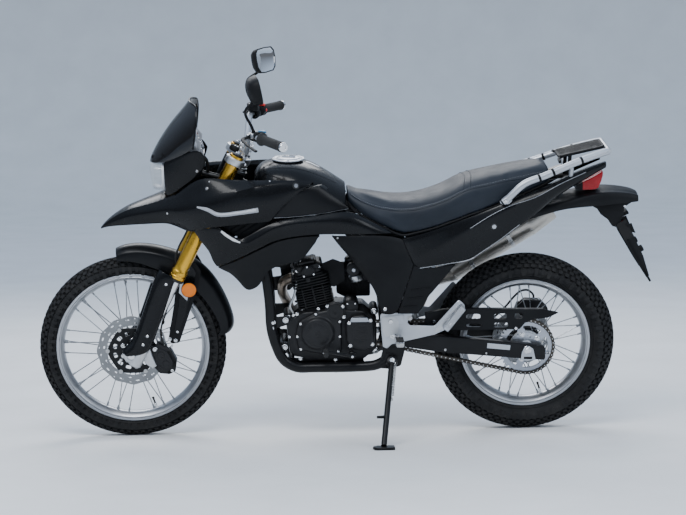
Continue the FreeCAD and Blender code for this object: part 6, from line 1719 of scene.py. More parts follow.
gd = (V(882, 395, 1158) - V(BARC.x - 42, 260, 1166)).normalized()
gend = V(882, 395, 1158)
p = Piece("hand_grips", "steering", "grips")
for s in (1, -1):
    m = lambda q: V(q.x, q.y * s, q.z)
    a = gend - gd * 132
    ax = V(gd.x, gd.y * s, gd.z)
    prof = [(11, 0), (22, 0), (23.5, 2), (23.5, 4), (21, 6), (16.6, 9)]
    t = 9.0
    while t < 118:
        prof += [(17.0, t + 0.5), (17.0, t + 3.4), (16.0, t + 4.2), (16.0, t + 5.4)]
        t += 6.0
    prof += [(17.6, 121), (18.4, 123), (18.4, 128), (17, 130), (11, 130)]
    p.lathe(prof, m(a), ax, "rubber", 32, closed=False)
    # bright bar end weight
    p.lathe([(0, 0), (12, 0), (16.4, 1.5), (17, 3), (17, 9.5), (15.5, 11.5), (7, 12), (6.4, 9.5), (0, 9.5)], m(gend - gd * 1.5), ax, "chrome", 32)
p.make(smooth=40)

p = Piece("levers_switches", "steering", "hand_controls")
pc = V(BARC.x - 40, 232, 1163)
pdv = (V(BARC.x - 42, 260, 1166) - V(BARC.x - 12, 190, 1158)).normalized()
for s in (1, -1):
    m = lambda q: V(q.x, q.y * s, q.z)
    ax = m(pdv)
    # perch clamp and lever
    p.lathe([(11, -14), (17, -14), (18, -12), (18, 10), (17, 12), (11, 12)], m(pc - pdv * 16), ax, "plastic", 28, closed=True)
    p.sweep([m(pc + V(2, -14, 4)), m(pc + V(18, -8, 4)), m(pc + V(32, 2, -1))], [11, 10, 9], "plastic", 14, 4, squash=(1.0, 0.8))
    p.bolt(m(pc + V(30, 2, 6)), (0, 0, 1), 5, 4, "chrome", "hex")
    lev = [(pc.x + 26, pc.y + 0, pc.z - 1), (pc.x + 46, 250, 1161), (pc.x + 47, 275, 1158), (pc.x + 36, 312, 1153), (pc.x + 20, 352, 1149), (pc.x + 5, 392, 1146), (pc.x + 2, 400, 1146)]
    p.sweep([m(V(*q)) for q in lev], [8.5, 7.5, 6.6, 6.0, 5.6, 6.2, 6.6], "plastic", 14, 5, squash=(0.62, 1.0), up=(0, 0, 1))
    # switch pod
    a = pc + pdv * 26
    f = lambda k, w: [m(a + pdv * k) + V(math.cos(t) * w[0], 0, math.sin(t) * w[1]) for t in [2 * math.pi * j / 20 for j in range(20)]]
    p.rings([f(-14, (15, 15)), f(-12, (22, 20)), f(8, (23, 22)), f(14, (21, 20)), f(16, (14, 14))], "plastic")
    if s > 0:
        p.slab([m(a + V(-24, -8, 16)), m(a + V(4, -8, 20)), m(a + V(4, 12, 20)), m(a + V(-24, 12, 16))], (0, 0, 1), 7, "bluepl", 1.5)
        p.bolt(m(a + V(-20, 2, 2)), (-1, 0.2, 0.1), 6.0, 6, "yellow", "round")
        p.bolt(m(a + V(-18, 4, -12)), (-1, 0.2, -0.4), 5.0, 5, "redpl", "round")
        p.bolt(m(a + V(-23, 8, 10)), (-1, 0.2, 0.3), 4.0, 4, "grey", "round")
    else:
        p.slab([m(a + V(-20, -10, 17)), m(a + V(2, -10, 19)), m(a + V(2, 10, 19)), m(a + V(-20, 10, 17))], (0, 0, 1), 8, "redpl", 2.0)
        p.bolt(m(a + V(-21, 6, 0)), (-1, -0.2, 0), 7.0, 6, "redpl", "round")
        # fluid tank
        t0 = m(pc + V(14, -24, 12))
        p.rings([[t0 + V(x * k, y * k, h) for x, y in ((-20, -22), (16, -24), (22, -8), (22, 14), (14, 24), (-16, 22), (-22, 8), (-23, -10))] for k, h in ((0.82, 0), (1.0, 4), (1.0, 20), (1.06, 21), (1.06, 25), (0.96, 27))], "plastic")
        for xx, yy in ((-12, -14), (12, 14)):
            p.bolt(t0 + V(xx, yy, 27), (0, 0, 1), 3.4, 1.6, "chrome", "round")
    for k in (-7, 7):
        p.bolt(m(pc - pdv * 16 + V(0, 0, 17)) + ax * k, (0.3, 0, 1), 4, 4, "chrome", "allen")
p.make(smooth=40, bevel=0.5)

# mirrors: shells on curved stalks; the right one is turned in, as in the photo
p = Piece("mirror_pair", "steering", "mirrors")
base = pc + V(10, -4, 12)


def mirror_shell(centre, yaw, s):
    """Soft-cornered shell whose glass faces backwards; centre of the glass."""
    n = (V(-math.cos(yaw), -s * math.sin(yaw), 0) + V(0, 0, 0.20)).normalized()
    up = (V(0, 0, 1) - n * n.z).normalized()
    side = up.cross(n) * s
    if side.y * s < 0:
        side = -side
    out = [(-58, 34), (-46, 45), (0, 47), (44, 44), (58, 30), (60, 4), (50, -30), (34, -43), (-20, -45), (-46, -42), (-60, -22), (-62, 8)]
    P = lambda k, h, dk=0.0: [centre + side * (u * k + dk) + up * v * k - n * h for u, v in out]
    p.rings([P(0.93, 2.5), P(0.985, 0.0), P(1.03, 1.5), P(1.03, 8), P(0.98, 20), P(0.84, 33), P(0.55, 41), P(0.25, 43)], "plastic", cap0=False, cap1=True)
    p.rings([P(0.93, 2.5), P(0.91, 3.2)], "mirror", cap0=False, cap1=True)


mirror_shell(V(956, 330, 1345), math.radians(7), 1)
mirror_shell(V(932, -330, 1342), math.radians(34), -1)
for s, top in ((1, V(980, 330, 1330)), (-1, V(962, -318, 1322))):
    b = V(base.x, base.y * s, base.z)
    p.lathe([(0, 0), (9, 0), (9, 7), (6.5, 9), (6.5, 16), (0, 16)], b - V(0, 0, 4), (0, 0, 1), "plastic", 6)
    p.sweep([b, b + V(6, s * 2, 22), b + V(26, s * 20, 66), V(b.x + 22, s * 296, 1276), V(top.x - 4, s * 318, 1306), top], [5.4, 5.2, 5.0, 5.0, 5.0, 6.0], "plastic", 12, 6)
    p.lathe([(0, -9), (8, -9), (10.5, -4), (10.5, 4), (8, 9), (0, 9)], top, (0, 0, 1), "plastic", 18)
p.make(smooth=45)

# ------------------------------------------------------------------ engine
def outline_grow(pts, d):
    """Outline moved outwards by d about its own middle."""
    cx = sum(q[0] for q in pts) / len(pts)
    cz = sum(q[1] for q in pts) / len(pts)
    r = []
    for x, z in pts:
        l = math.hypot(x - cx, z - cz)
        r.append((x + (x - cx) / l * d, z + (z - cz) / l * d))
    return r


def bulge(p, outline, levels, mat):
    """Closed casting: the outline scaled in or out at each level of y."""
    p.rings([[V(x, y, z) for x, z in outline_grow(outline, d)] for d, y in levels], mat)


CR = round_poly([(868, 328), (878, 440), (818, 483), (700, 491), (592, 485), (547, 440), (547, 342), (592, 302), (800, 299)], 16, 4)
p = Piece("engine_case", "chassis", "crankcase")
bulge(p, CR, [(-8, -91), (-3, -88), (-1, -80), (-2, -8), (1.5, -6), (1.5, 6), (-2, 8), (-1, 80), (-3, 88), (-8, 91)], "engine")
for k in range(9):
    x = 596 + 26 * k
    p.prism([(x, 292.5), (x + 5, 292.5), (x + 5, 306), (x, 306)], -74, 74, "engine", 1.0)
p.bolt(V(700, 34, 298), (0, 0, -1), 11, 6, "steelblue", "hex", washer=15)
p.lathe([(0, 0), (22, 0), (22, 6), (20, 8), (17, 8), (16, 5), (0, 5)], V(600, 54, 405), Y, "steel", 30)
# front and rear mounting lugs with their bolts
for x, z in ((884, 352), (872, 452), (556, 470), (552, 322)):
    p.cyl(V(x, -46, z), V(x, 46, z), 15, "engine", 22, ch=2)
    for s in (1, -1):
        p.bolt(V(x, s * 46, z), (0, s, 0), 9, 8, "chrome", "hex", washer=12)
# starter motor behind the cylinder and the oil pipe in front of it
p.lathe([(0, 0), (24, 0), (28, 4), (28, 88), (24, 93), (10, 95), (0, 95)], V(640, -10, 497), Y, "engine", 34)
for k in range(4):
    a = math.pi / 4 + k * math.pi / 2
    p.bolt(V(640 + 20 * math.cos(a), 84, 497 + 20 * math.sin(a)), Y, 3.4, 3, "chrome", "hex")
p.sweep([V(850, 60, 470), V(862, 62, 500), V(846, 58, 540), V(836, 52, 590)], 5, "steel", 12, 5)
p.bolt(V(850, 66, 466), Y, 7, 6, "chrome", "hex")
# case screws seen along the joint
for x, z in ((866, 392), (838, 476), (760, 494), (828, 306), (700, 300)):
    p.bolt(V(x, 88, z), Y, 5.0, 5, "chrome", "hex", washer=6.5)
    p.bolt(V(x, -88, z), -Y, 5.0, 5, "chrome", "hex", washer=6.5)
p.make(smooth=40, bevel=0.5)

LEAN = math.radians(12)
CU, CF = V(math.sin(LEAN), 0, math.cos(LEAN)), V(math.cos(LEAN), 0, -math.sin(LEAN))
CYL = V(760, 0, 470)


def rrect(f0, f1, h, r, up, n=5):
    """Rounded rectangle across the cylinder axis."""
    pts = []
    for cx, cy, a0 in ((f1 - r, h - r, 0), (f0 + r, h - r, 90), (f0 + r, -h + r, 180), (f1 - r, -h + r, 270)):
        for k in range(n + 1):
            a = math.radians(a0 + 90 * k / n)
            pts.append(CYL + CF * (cx + r * math.cos(a)) + Y * (cy + r * math.sin(a)) + CU * up)
    return pts


def finbox(p, f0, f1, h, r, u0, u1, mat, ch=1.2):
    p.rings([rrect(f0 + ch, f1 - ch, h - ch, r, u0), rrect(f0, f1, h, r, u0 + ch), rrect(f0, f1, h, r, u1 - ch), rrect(f0 + ch, f1 - ch, h - ch, r, u1)], mat)


p = Piece("cylinder_barrel", "chassis", "cylinder")
finbox(p, -48, 48, 48, 20, 22, 104, "engine")
finbox(p, -60, 60, 62, 16, 14, 26, "engine", 2)
for k in range(8):
    t = 30 + k * 9.2
    g = 1.0 if k % 2 == 0 else 0.985
    finbox(p, -67 * g, 67 * g, 69 * g, 18, t, t + 3.4, "engine", 0.8)
for f, y in ((-38, 60), (38, 60), (-38, -60), (38, -60), (0, 62), (0, -62), (60, 30), (60, -30), (-60, 30), (-60, -30)):
    a = CYL + CF * f + Y * y
    p.cyl(a + CU * 24, a + CU * 102, 3.6, "engine", 10)
for f in (-52, 52):
    for y in (-54, 54):
        p.bolt(CYL + CF * f + Y * y + CU * 25, CU, 5.5, 5, "chrome", "hex", washer=8)
p.make(smooth=40)

p = Piece("cylinder_top", "chassis", "cylinder_head")
finbox(p, -57, 61, 58, 18, 104.4, 150, "engine", 2)
for k in range(4):
    t = 107 + k * 10.5
    finbox(p, -69, 69, 71, 18, t, t + 3.6, "engine", 0.9)
finbox(p, -49, 49, 51, 14, 149, 184, "engine", 3)
finbox(p, -52, 52, 54, 14, 160, 166, "engine", 1.5)
finbox(p, -35, 35, 43, 12, 183, 197.5, "engine", 4)
for f in (-42, 42):
    for y in (-44, 44):
        p.bolt(CYL + CF * f + Y * y + CU * 166, CU, 5.5, 6, "chrome", "hex", washer=8)
for f in (-22, 22):
    for y in (-28, 28):
        p.bolt(CYL + CF * f + Y * y + CU * 197, CU, 4.0, 3, "chrome", "allen")
# round covers on the left side, camshaft end and plug cap
p.lathe([(0, 0), (26, 0), (27, 2), (27, 6), (24, 9), (20, 9.5), (18, 7), (0, 7)], CYL + CU * 158 + Y * 50 + CF * 2, Y, "engine", 34)
for k in range(3):
    a = math.radians(90 + 120 * k)
    p.bolt(CYL + CU * (158 + 21 * math.sin(a)) + Y * 58 + CF * (2 + 21 * math.cos(a)), Y, 3.6, 4, "chrome", "allen")
for s in (1, -1):
    p.lathe([(0, 0), (17, 0), (17, 5), (12, 8), (0, 8)], CYL + CU * 176 + CF * (s * 46), CF * s, "engine", 6)
q = CYL + CU * 132 + Y * 62 + CF * 8
p.lathe([(0, 0), (9, 0), (9, 6), (6.5, 8), (6.5, 9), (0, 9)], q, (Y + CU * 0.3).normalized(), "rubber", 18)
# exhaust and inlet flanges
p.lathe([(21, 0), (32, 0), (33, 2), (33, 8), (29, 10), (21, 10)], CYL + CU * 126 + CF * 56 - Y * 16, CF, "engine", 30, closed=True)
for s in (1, -1):
    p.bolt(CYL + CU * (126 + s * 0) + CF * 64 - Y * (16 + s * 27), CF, 5, 5, "chrome", "hex")
p.lathe([(0, 0), (27, 0), (28, 2), (28, 8), (24, 9), (0, 9)], CYL + CU * 134 - CF * 66, -CF, "engine", 30)
p.make(smooth=40)


def round_cover(p, x, z, y0, y1, r, mat, screws, groove=True, slot=True, s=1, ribs=0):
    h = abs(y1 - y0)
    ax = V(0, s, 0)
    prof = [(0, 0), (r, 0), (r, h * 0.30), (r - 1.5, h * 0.36), (r - 4, h * 0.40), (r - 6, h * 0.46), (r - 9, h * 0.72), (r * 0.80, h * 0.86), (r * 0.74, h * 0.88)]
    if groove:
        prof += [(r * 0.70, h * 0.84), (r * 0.66, h * 0.84), (r * 0.62, h * 0.90)]
    prof += [(r * 0.40, h * 0.97), (0, h)]
    p.lathe(prof, V(x, y0, z), ax, mat, 56)
    if slot:
        p.lathe([(0, 0), (r * 0.19, 0), (r * 0.19, 2.0), (r * 0.16, 2.8), (r * 0.10, 2.8), (r * 0.09, 1.0), (0, 1.0)], V(x, y1 - s * 1.2, z), ax, mat, 28)
    for a, rr in screws:
        t = math.radians(a)
        q = V(x + (r + rr) * math.cos(t), y0, z + (r + rr) * math.sin(t))
        p.lathe([(0, 0), (8.5, 0), (8.5, h * 0.36), (7, h * 0.42), (0, h * 0.42)], q, ax, mat, 18)
        p.bolt(q + ax * (h * 0.42), ax, 5.2, 5, "chrome", "allen")
    for k in range(ribs):
        t = 2 * math.pi * k / ribs
        a = V(x + r * 0.28 * math.cos(t), y1 - s * 2.6, z + r * 0.28 * math.sin(t))
        b = V(x + r * 0.60 * math.cos(t), y1 - s * 4.6, z + r * 0.60 * math.sin(t))
        d = (b - a).cross(ax).normalized() * 1.6
        p.slab([a - d, a + d, b + d, b - d], ax, 2.4, mat, 0.5)


LC = round_poly([(676, 332), (745, 326), (834, 345), (846, 400), (834, 452), (770, 488), (702, 499), (676, 470)], 14, 4)
p = Piece("generator_side", "chassis", "left_covers")
bulge(p, LC, [(0, 91.4), (0, 100), (-3, 106), (-9, 109), (-18, 110)], "engine")
round_cover(p, 764, 410, 100, 130, 66, "engine", [], ribs=12)
round_cover(p, 700, 486, 96, 114, 38, "engine", [], slot=True)
for x, z in ((690, 340), (742, 334), (826, 350), (838, 398), (826, 446), (770, 482), (684, 452), (684, 396)):
    p.lathe([(0, 0), (8, 0), (8, 6), (6.5, 8), (0, 8)], V(x, 103, z), Y, "engine", 16)
    p.bolt(V(x, 110.5, z), Y, 5.2, 5, "chrome", "hex")
for x, z in ((672, 506), (728, 508), (742, 470), (668, 466)):
    p.bolt(V(x, 103, z), Y, 5.0, 5, "chrome", "hex", washer=6.5)
SPK = round_poly([(556, 356), (600, 342), (640, 346), (660, 380), (662, 440), (636, 474), (596, 478), (560, 452)], 14, 4)
bulge(p, SPK, [(0, 92.2), (0, 112), (-3, 118), (-8, 121), (-16, 122)], "engine")
p.lathe([(34, 0), (38, 0), (38, 3), (34, 3)], V(606, 120.5, 412), Y, "engine", 40, closed=True)
for k in range(6):
    z0 = 386 + k * 9
    w = 24 - abs(k - 2.5) * 3
    p.slab([V(606 - w, 121, z0), V(606 + w, 121, z0), V(606 + w, 121, z0 + 3.4), V(606 - w, 121, z0 + 3.4)], Y, 2.4, "engine", 0.5)
for x, z in ((566, 366), (646, 362), (650, 448), (572, 456)):
    p.bolt(V(x, 120, z), Y, 5.4, 5, "chrome", "hex", washer=7)
# blank bright plate on the cover
p.slab([V(576, 122, 452), V(646, 122, 452), V(642, 122, 468), V(584, 122, 468)], Y, 1.6, "steelblue", 0.6)
p.make(smooth=40, bevel=0.5)

CC = round_poly([(590, 322), (700, 314), (840, 332), (852, 390), (848, 440), (760, 468), (680, 486), (596, 478), (566, 420), (566, 350)], 16, 4)
p = Piece("clutch_side", "chassis", "clutch_cover")
bulge(p, CC, [(0, -91.4), (0, -103), (-3, -108), (-9, -111), (-18, -112)], "engine")
round_cover(p, 640, 396, -100, -126, 82, "engine", [], s=-1)
round_cover(p, 790, 400, -100, -118, 58, "engine", [], s=-1)
for x, z in ((600, 330), (700, 324), (770, 330), (832, 342), (842, 400), (832, 438), (752, 462), (690, 478), (606, 470), (576, 420), (574, 360)):
    p.lathe([(0, 0), (8, 0), (8, 5), (6.5, 7), (0, 7)], V(x, -106, z), -Y, "engine", 16)
    p.bolt(V(x, -112, z), -Y, 5.2, 5, "chrome", "hex")
p.lathe([(0, 0), (12, 0), (12, 10), (10, 12), (4, 12), (4, 9), (0, 9)], V(716, -104, 452), (0, -0.8, 0.6), "plastic", 8)
p.lathe([(0, 0), (15, 0), (15, 1.6), (13, 2.4), (0, 2.4)], V(820, -106, 366), -Y, "steel", 26)
p.make(smooth=40, bevel=0.5)

# carburettor and air box
p = Piece("carb_airbox", "chassis", "intake")
ca, cb = V(692, 0, 618), V(560, 0, 646)
cd = (cb - ca).normalized()
p.lathe([(0, 0), (24, 0), (24, 6), (21, 8), (21, 14), (24, 16), (24, 32), (22, 36), (27, 38), (30, 42), (30, 92), (27, 96), (31, 100), (31, 104), (28, 107), (31, 110), (31, 114), (28, 117), (31, 120), (31, 132), (0, 132)], ca, cd, "plastic", 36)
cm = ca + cd * 64
p.lathe([(0, -60), (20, -60), (26, -56), (26, -34), (22, -30), (22, 30), (26, 34), (26, 56), (20, 60), (0, 60)], cm, Y, "engine", 32)
n = cd.cross(Y).normalized()
n = n if n.z > 0 else -n
p.lathe([(0, 0), (22, 0), (24, 3), (24, 22), (20, 26), (10, 27), (10, 32), (0, 32)], cm - n * 58, n, "alu", 28)
p.lathe([(0, 22), (24, 22), (26, 26), (26, 34), (20, 40), (0, 40)], cm, n, "engine", 28)
for a in (-16, 16):
    p.bolt(cm + n * 36 + Y * a + cd * 8, n, 3.4, 3, "chrome", "round")
    p.bolt(cm - n * 58 + Y * a + cd * (a * 0.6), -n, 3.4, 2, "chrome", "round")
p.bolt(cm + Y * 58, Y, 8, 6, "steelblue", "hex", washer=12)
p.lathe([(22, 0), (25.5, 0), (26.2, 1), (26.2, 8), (25.5, 9), (22, 9)], ca + cd * 20, cd, "steel", 30, closed=True)
bx = [[(600 - 8 * f, s2 * (62 + 6 * f), z) for s2, z in ((-1, 590 - 30 * f), (1, 590 - 30 * f), (1, 728 + 2 * f), (-1, 728 + 2 * f))] for f in (0, 1)]
A = round_poly([(-62, 592), (62, 592), (62, 726), (-62, 726)], 14, 4)
B = round_poly([(-68, 562), (68, 562), (68, 729), (-68, 729)], 14, 4)
mixr = lambda k, gr: [V(599.5 - 77 * k, (a[0] * (1 - k) + b[0] * k) * gr, 660 + ((a[1] * (1 - k) + b[1] * k) - 660) * gr) for a, b in zip(A, B)]
p.rings([mixr(0, 0.94), mixr(0.04, 1.0), mixr(0.30, 1.0), mixr(0.34, 0.97), mixr(0.40, 0.97), mixr(0.44, 1.0), mixr(0.96, 1.0), mixr(1.0, 0.95)], "plastic")
for s in (1, -1):
    for z in (600, 650, 700):
        p.bolt(V(596, s * 40, z), X, 3.6, 2.5, "chrome", "round")
p.make(smooth=40, bevel=0.5)

# brackets, regulator and battery tray that close the space round the cylinder
p = Piece("engine_brackets", "chassis", None, "black_paint")
p.prism(round_poly([(566, 506), (664, 506), (690, 520), (690, 566), (664, 598), (606, 598), (566, 574)], 8, 3), -72, -34, "plastic", 2.0)
p.prism(round_poly([(757, 646), (704, 668), (664, 652), (660, 588), (700, 562), (737, 574)], 7, 3), 33, 36, "plastic", 0.8)
p.prism(round_poly([(832, 632), (958, 632), (956, 608), (896, 606), (892, 574), (926, 570), (934, 522), (914, 518), (862, 518), (838, 540)], 5, 3), -95, -91.5, "paint", 0.8)
p.prism(round_poly([(858, 468), (922, 468), (928, 440), (874, 440)], 5, 3), -95, -91.5, "paint", 0.8)
for x, z in ((850, 612), (944, 620), (880, 456)):
    p.bolt(V(x, -91.8, z), Y, 6, 5, "bolt", "hex", washer=9)
# lower hanger between the cradle tubes and the case, both sides
for s in (1, -1):
    p.prism(round_poly([(584, 272), (876, 274), (868, 308), (800, 304), (604, 306)], 5, 3), s * 72, s * 76, "paint", 0.8)
for k in range(5):
    p.slab([V(580 + 18 * k, -34.5, 520), V(586 + 18 * k, -34.5, 520), V(586 + 18 * k, -34.5, 582), V(580 + 18 * k, -34.5, 582)], Y, 5, "plastic", 0.8)
p.make(smooth=38)

# ------------------------------------------------------------------ exhaust
p = Piece("header_pipe", "chassis", "exhaust_header")
hp = [(838, -16, 590), (880, -26, 572), (890, -66, 528), (872, -132, 462), (836, -144, 380), (770, -148, 302), (600, -150, 292), (470, -152, 296), (400, -156, 380), (350, -162, 490), (326, -164, 532)]
p.sweep([V(*q) for q in hp], 18.6, "header", 26, 7)
p.lathe([(18, 0), (30, 0), (31, 2), (31, 9), (24, 12), (18, 12)], V(834, -15, 592), V(0.9, -0.15, -0.4), "steel", 30, closed=True)
for q, d in ((V(640, -149.5, 292), V(-1, 0, 0)), (V(348, -162, 494), V(-0.5, -0.02, 0.86))):
    p.lathe([(18, 0), (22.5, 0), (23, 1), (23, 20), (22.5, 21), (18, 21)], q, d, "steel", 30, closed=True)
    p.bolt(q + d * 10 + V(0, -24, 4), V(0, 0, -1), 4.5, 5, "chrome", "hex")
# heat guard along the low run
p.sweep([V(770, -168, 300), V(700, -170, 292), V(600, -171, 291), V(500, -171, 294), V(462, -170, 304)], 5, "plastic", 14, 5, squash=(1.0, 3.2), up=(0, 0, 1))
for x in (740, 560):
    p.bolt(V(x, -174, 294), -Y, 5, 3, "chrome", "allen", washer=7)
p.make(smooth=50)

m0, m1 = V(330, -164, 526), V(-118, -164, 794)
md = (m1 - m0).normalized()
L = (m1 - m0).length
p = Piece("silencer", "chassis", "muffler", "silver_paint")
p.lathe([(18, 0), (27, 2), (28, 6), (29, 12), (38, L * 0.09), (48.5, L * 0.155), (50, L * 0.16), (50, L * 0.175), (49.2, L * 0.18), (49.4, L * 0.48), (49.2, L * 0.785), (50, L * 0.79), (50, L * 0.81), (48.5, L * 0.825), (44, L * 0.90), (39, L * 0.985), (37, L),
         (31, L), (30, L - 3), (19.5, L - 3.5), (18, L - 2), (18, L + 0.0), (15.5, L), (15.5, L - 60), (0, L - 60)], m0, md, "can", 56)
u = md.cross(Y).normalized()
for t in (0.167, 0.80):
    for k in range(10):
        a = 2 * math.pi * k / 10
        d = u * math.cos(a) + Y * math.sin(a)
        p.bolt(m0 + md * (L * t) + d * 49.6, d, 3.4, 2.0, "steel", "round")
for t in (0.30, 0.62):
    p.lathe([(49, 0), (51, 0), (51.4, 1), (51.4, 15), (51, 16), (49, 16)], m0 + md * (L * t), md, "steel", 44, closed=True)
    p.slab([m0 + md * (L * t) + Y * 48 + u * 14, m0 + md * (L * t) + Y * 48 - u * 14, m0 + md * (L * t + 16) + Y * 48 - u * 14, m0 + md * (L * t + 16) + Y * 48 + u * 14], Y, 10, "steel", 1)
# heat shield on the outside, drawn without perforations
hs = lambda k, a: m0 + md * (L * (0.2 + 0.5 * k)) + (u * math.sin(a) - Y * math.cos(a)) * 52.2
rows = [[hs(k / 14, math.radians(-38 + 76 * j / 8)) for j in range(9)] for k in range(15)]
rows2 = [[q + (q - (m0 + md * ((q - m0).dot(md)))).normalized() * -1.6 for q in r] for r in rows]
p.grid(rows, "plastic")
p.grid([r[::-1] for r in rows2], "plastic")
edge = [rows[0], rows2[0]]
p.grid(edge, "plastic", flip=True)
p.grid([rows[-1], rows2[-1]], "plastic")
p.grid([[r[0] for r in rows], [r[0] for r in rows2]], "plastic")
p.grid([[r[-1] for r in rows], [r[-1] for r in rows2]], "plastic", flip=True)
for k, a in ((0.06, -30), (0.06, 30), (0.94, -30), (0.94, 30)):
    q = hs(k, math.radians(a))
    p.bolt(q, (u * math.sin(math.radians(a)) - Y * math.cos(math.radians(a))), 4.5, 2.5, "chrome", "allen")
p.make(smooth=42)

# ------------------------------------------------------------------ frame and running gear
def strap(p, a, b, w, t, n, mat, ch=0.8):
    """Flat bar from a to b, width w, thickness t along n."""
    d = (b - a).normalized()
    s = d.cross(n).normalized() * (w / 2)
    p.slab([a - s, b - s, b + s, a + s], n, t, mat, ch)


p = Piece("frame_tubes", "chassis", "main_frame")
p.pipe(sp(610, 0, 0), sp(770, 0, 0), 29.6, 18.3, "paint", 40)
for up in (611, 758):
    p.lathe([(18.4, 0), (31, 0), (32, 1), (32, 10), (31, 11), (18.4, 11)], sp(up, 0, 0), UP, "steel", 40, closed=True)
for s in (1, -1):
    down = [(1084, 14, 898), (1048, 32, 850), (1006, 55, 796), (968, 76, 700), (948, 85, 620), (936, 93, 520), (932, 98, 430), (916, 98, 364), (888, 98, 306), (842, 98, 278), (780, 98, 276), (600, 98, 276), (552, 100, 282), (518, 103, 302), (502, 104, 330)]
    p.sweep([V(x, s * y, z) for x, y, z in down], 18.8, "paint", 24, 4)
    spar = [(1056, 14, 962), (1006, 27, 932), (950, 40, 900), (820, 56, 850), (690, 72, 818), (560, 92, 760), (524, 98, 706), (509, 101, 640), (502, 104, 560), (500, 104, 470)]
    p.sweep([V(x, s * y, z) for x, y, z in spar], 15.8, "paint", 22, 4)
    # gusset plates behind the head tube and at the joint of spar and strut
    g = [(1062, 950), (1078, 906), (1040, 862), (1000, 872), (1004, 918)]
    p.prism(g, s * 13, s * 18, "paint", 1.0)
    PL = round_poly([(532, 496), (470, 505), (446, 440), (448, 340), (462, 282), (500, 270), (546, 274), (528, 340), (532, 420)], 12, 4)
    p.prism(PL, s * 106, s * 118, "paint", 1.5)
    p.lathe([(12, 0), (25, 0), (26, 1), (26, 5), (24, 6.5), (12, 6.5)], V(485, s * 117, 378), (0, s, 0), "paint", 34, closed=True)
    p.bolt(V(485, s * 118, 378), (0, s, 0), 9.5, 5.5, "chrome", "hex", washer=14)
    for x, z in ((470, 478), (506, 296)):
        p.bolt(V(x, s * 117.5, z), (0, s, 0), 6, 5, "chrome", "hex", washer=9)
    # engine mount plates on the down tube and the cradle
    p.prism(round_poly([(930, 466), (868, 470), (862, 440), (926, 420)], 8, 3), s * 84, s * 88, "paint", 0.8)
    p.prism(round_poly([(918, 372), (872, 370), (870, 336), (892, 318)], 8, 3), s * 84, s * 88, "paint", 0.8)
    for x, z in ((926, 452), (928, 432)):
        p.bolt(V(x, s * 108, z), (0, s, 0), 7, 6, "chrome", "hex", washer=10)
    for x, z, r in ((880, 454, 8), (884, 352, 8)):
        p.bolt(V(x, s * 87.5, z), (0, s, 0), r, 6, "chrome", "hex", washer=11)
    # weld beads at the tube ends
    for q, d, r in ((V(1072, s * 21, 880), V(0.5, -s * 0.28, 0.75), 20.2), (V(503, s * 104, 480), V(0, 0, 1), 17.4), (V(504, s * 104, 326), V(0.1, 0, -1), 20.2)):
        p.lathe([(r - 3, -2.2), (r, -1.6), (r + 0.6, 0), (r, 1.6), (r - 3, 2.2)], q, d, "paint", 26, closed=True)
    p.bolt(V(700, s * 98, 258), (0, 0, -1), 6, 4, "chrome", "hex")
for x, z, hw in ((640, 276, 96), (860, 278, 96), (500, 470, 104), (940, 560, 88)):
    p.cyl(V(x, -hw, z), V(x, hw, z), 11.8, "paint", 22)
p.cyl(V(558, -92, 758), V(558, 92, 758), 10.8, "paint", 20)
p.cyl(V(505, -100, 746), V(505, 100, 746), 10.8, "paint", 20)
for s in (1, -1):
    p.prism(round_poly([(488, 702), (512, 702), (512, 748), (496, 750)], 5, 3), s * 17, s * 25, "paint", 1.0)
p.cyl(V(500, -25, 718), V(500, 25, 718), 8.9, "steel", 20)
for s in (1, -1):
    p.bolt(V(500, s * 25, 718), (0, s, 0), 9, 6, "chrome", "hex", washer=12)
# side stand bracket and its pivot
SA = V(0, 0.806, 0.592)
SPV = V(495, 140, 306)
p.cyl(SPV - SA * 36, SPV - SA * 8, 18, "paint", 26, ch=1.5)
p.cyl(SPV - SA * 12, SPV + SA * 12, 5.95, "steel", 20)
p.bolt(SPV + SA * 8, SA, 10.5, 7, "chrome", "hex")
p.make(smooth=42)

p = Piece("cowl_brackets", "chassis", "cowl_stay")
for s in (1, -1):
    p.sweep([V(1040, s * 14, 952), V(1124, s * 14.6, 976), V(1208, s * 15, 1000)], 6.9, "paint", 16, 4)
p.cyl(V(1150, -15, 983.5), V(1150, 15, 983.5), 6, "paint", 16)
p.sweep([V(1150, 0, 983.5), V(1151, 0, 1008), V(1154, 0, 1034), V(1166, 0, 1050), V(1180, 0, 1062)], 6, "paint", 16, 4)
p.make(smooth=50)

p = Piece("seat_frame", "chassis", "subframe")
for s in (1, -1):
    p.sweep([V(x, s * y, z) for x, y, z in ((552, 88, 770), (466, 91, 776), (380, 94, 785), (270, 96, 815), (160, 96, 850), (50, 94, 890), (-60, 90, 926), (-180, 68, 948))], 12.4, "paint", 20, 4)
    p.sweep([V(x, s * y, z) for x, y, z in ((515, 108, 560), (424, 107, 624), (330, 106, 690), (196, 94, 784), (60, 96, 878))], 10.9, "paint", 20, 4)
    p.prism(round_poly([(330, 700), (300, 716), (318, 676), (346, 660)], 6, 3), s * 104, s * 110, "paint", 0.8)
    p.lathe([(0, 0), (15, 0), (15, 5), (13, 6.5), (0, 6.5)], V(515, s * 108, 560), (0, s, 0), "paint", 24)
    p.bolt(V(515, s * 114, 560), (0, s, 0), 7, 6, "chrome", "hex", washer=10)
for x, z, hw in ((380, 784, 92), (60, 884, 92), (-150, 942, 72)):
    p.cyl(V(x, -hw, z), V(x, hw, z), 9.8, "paint", 18)
p.make(smooth=50)

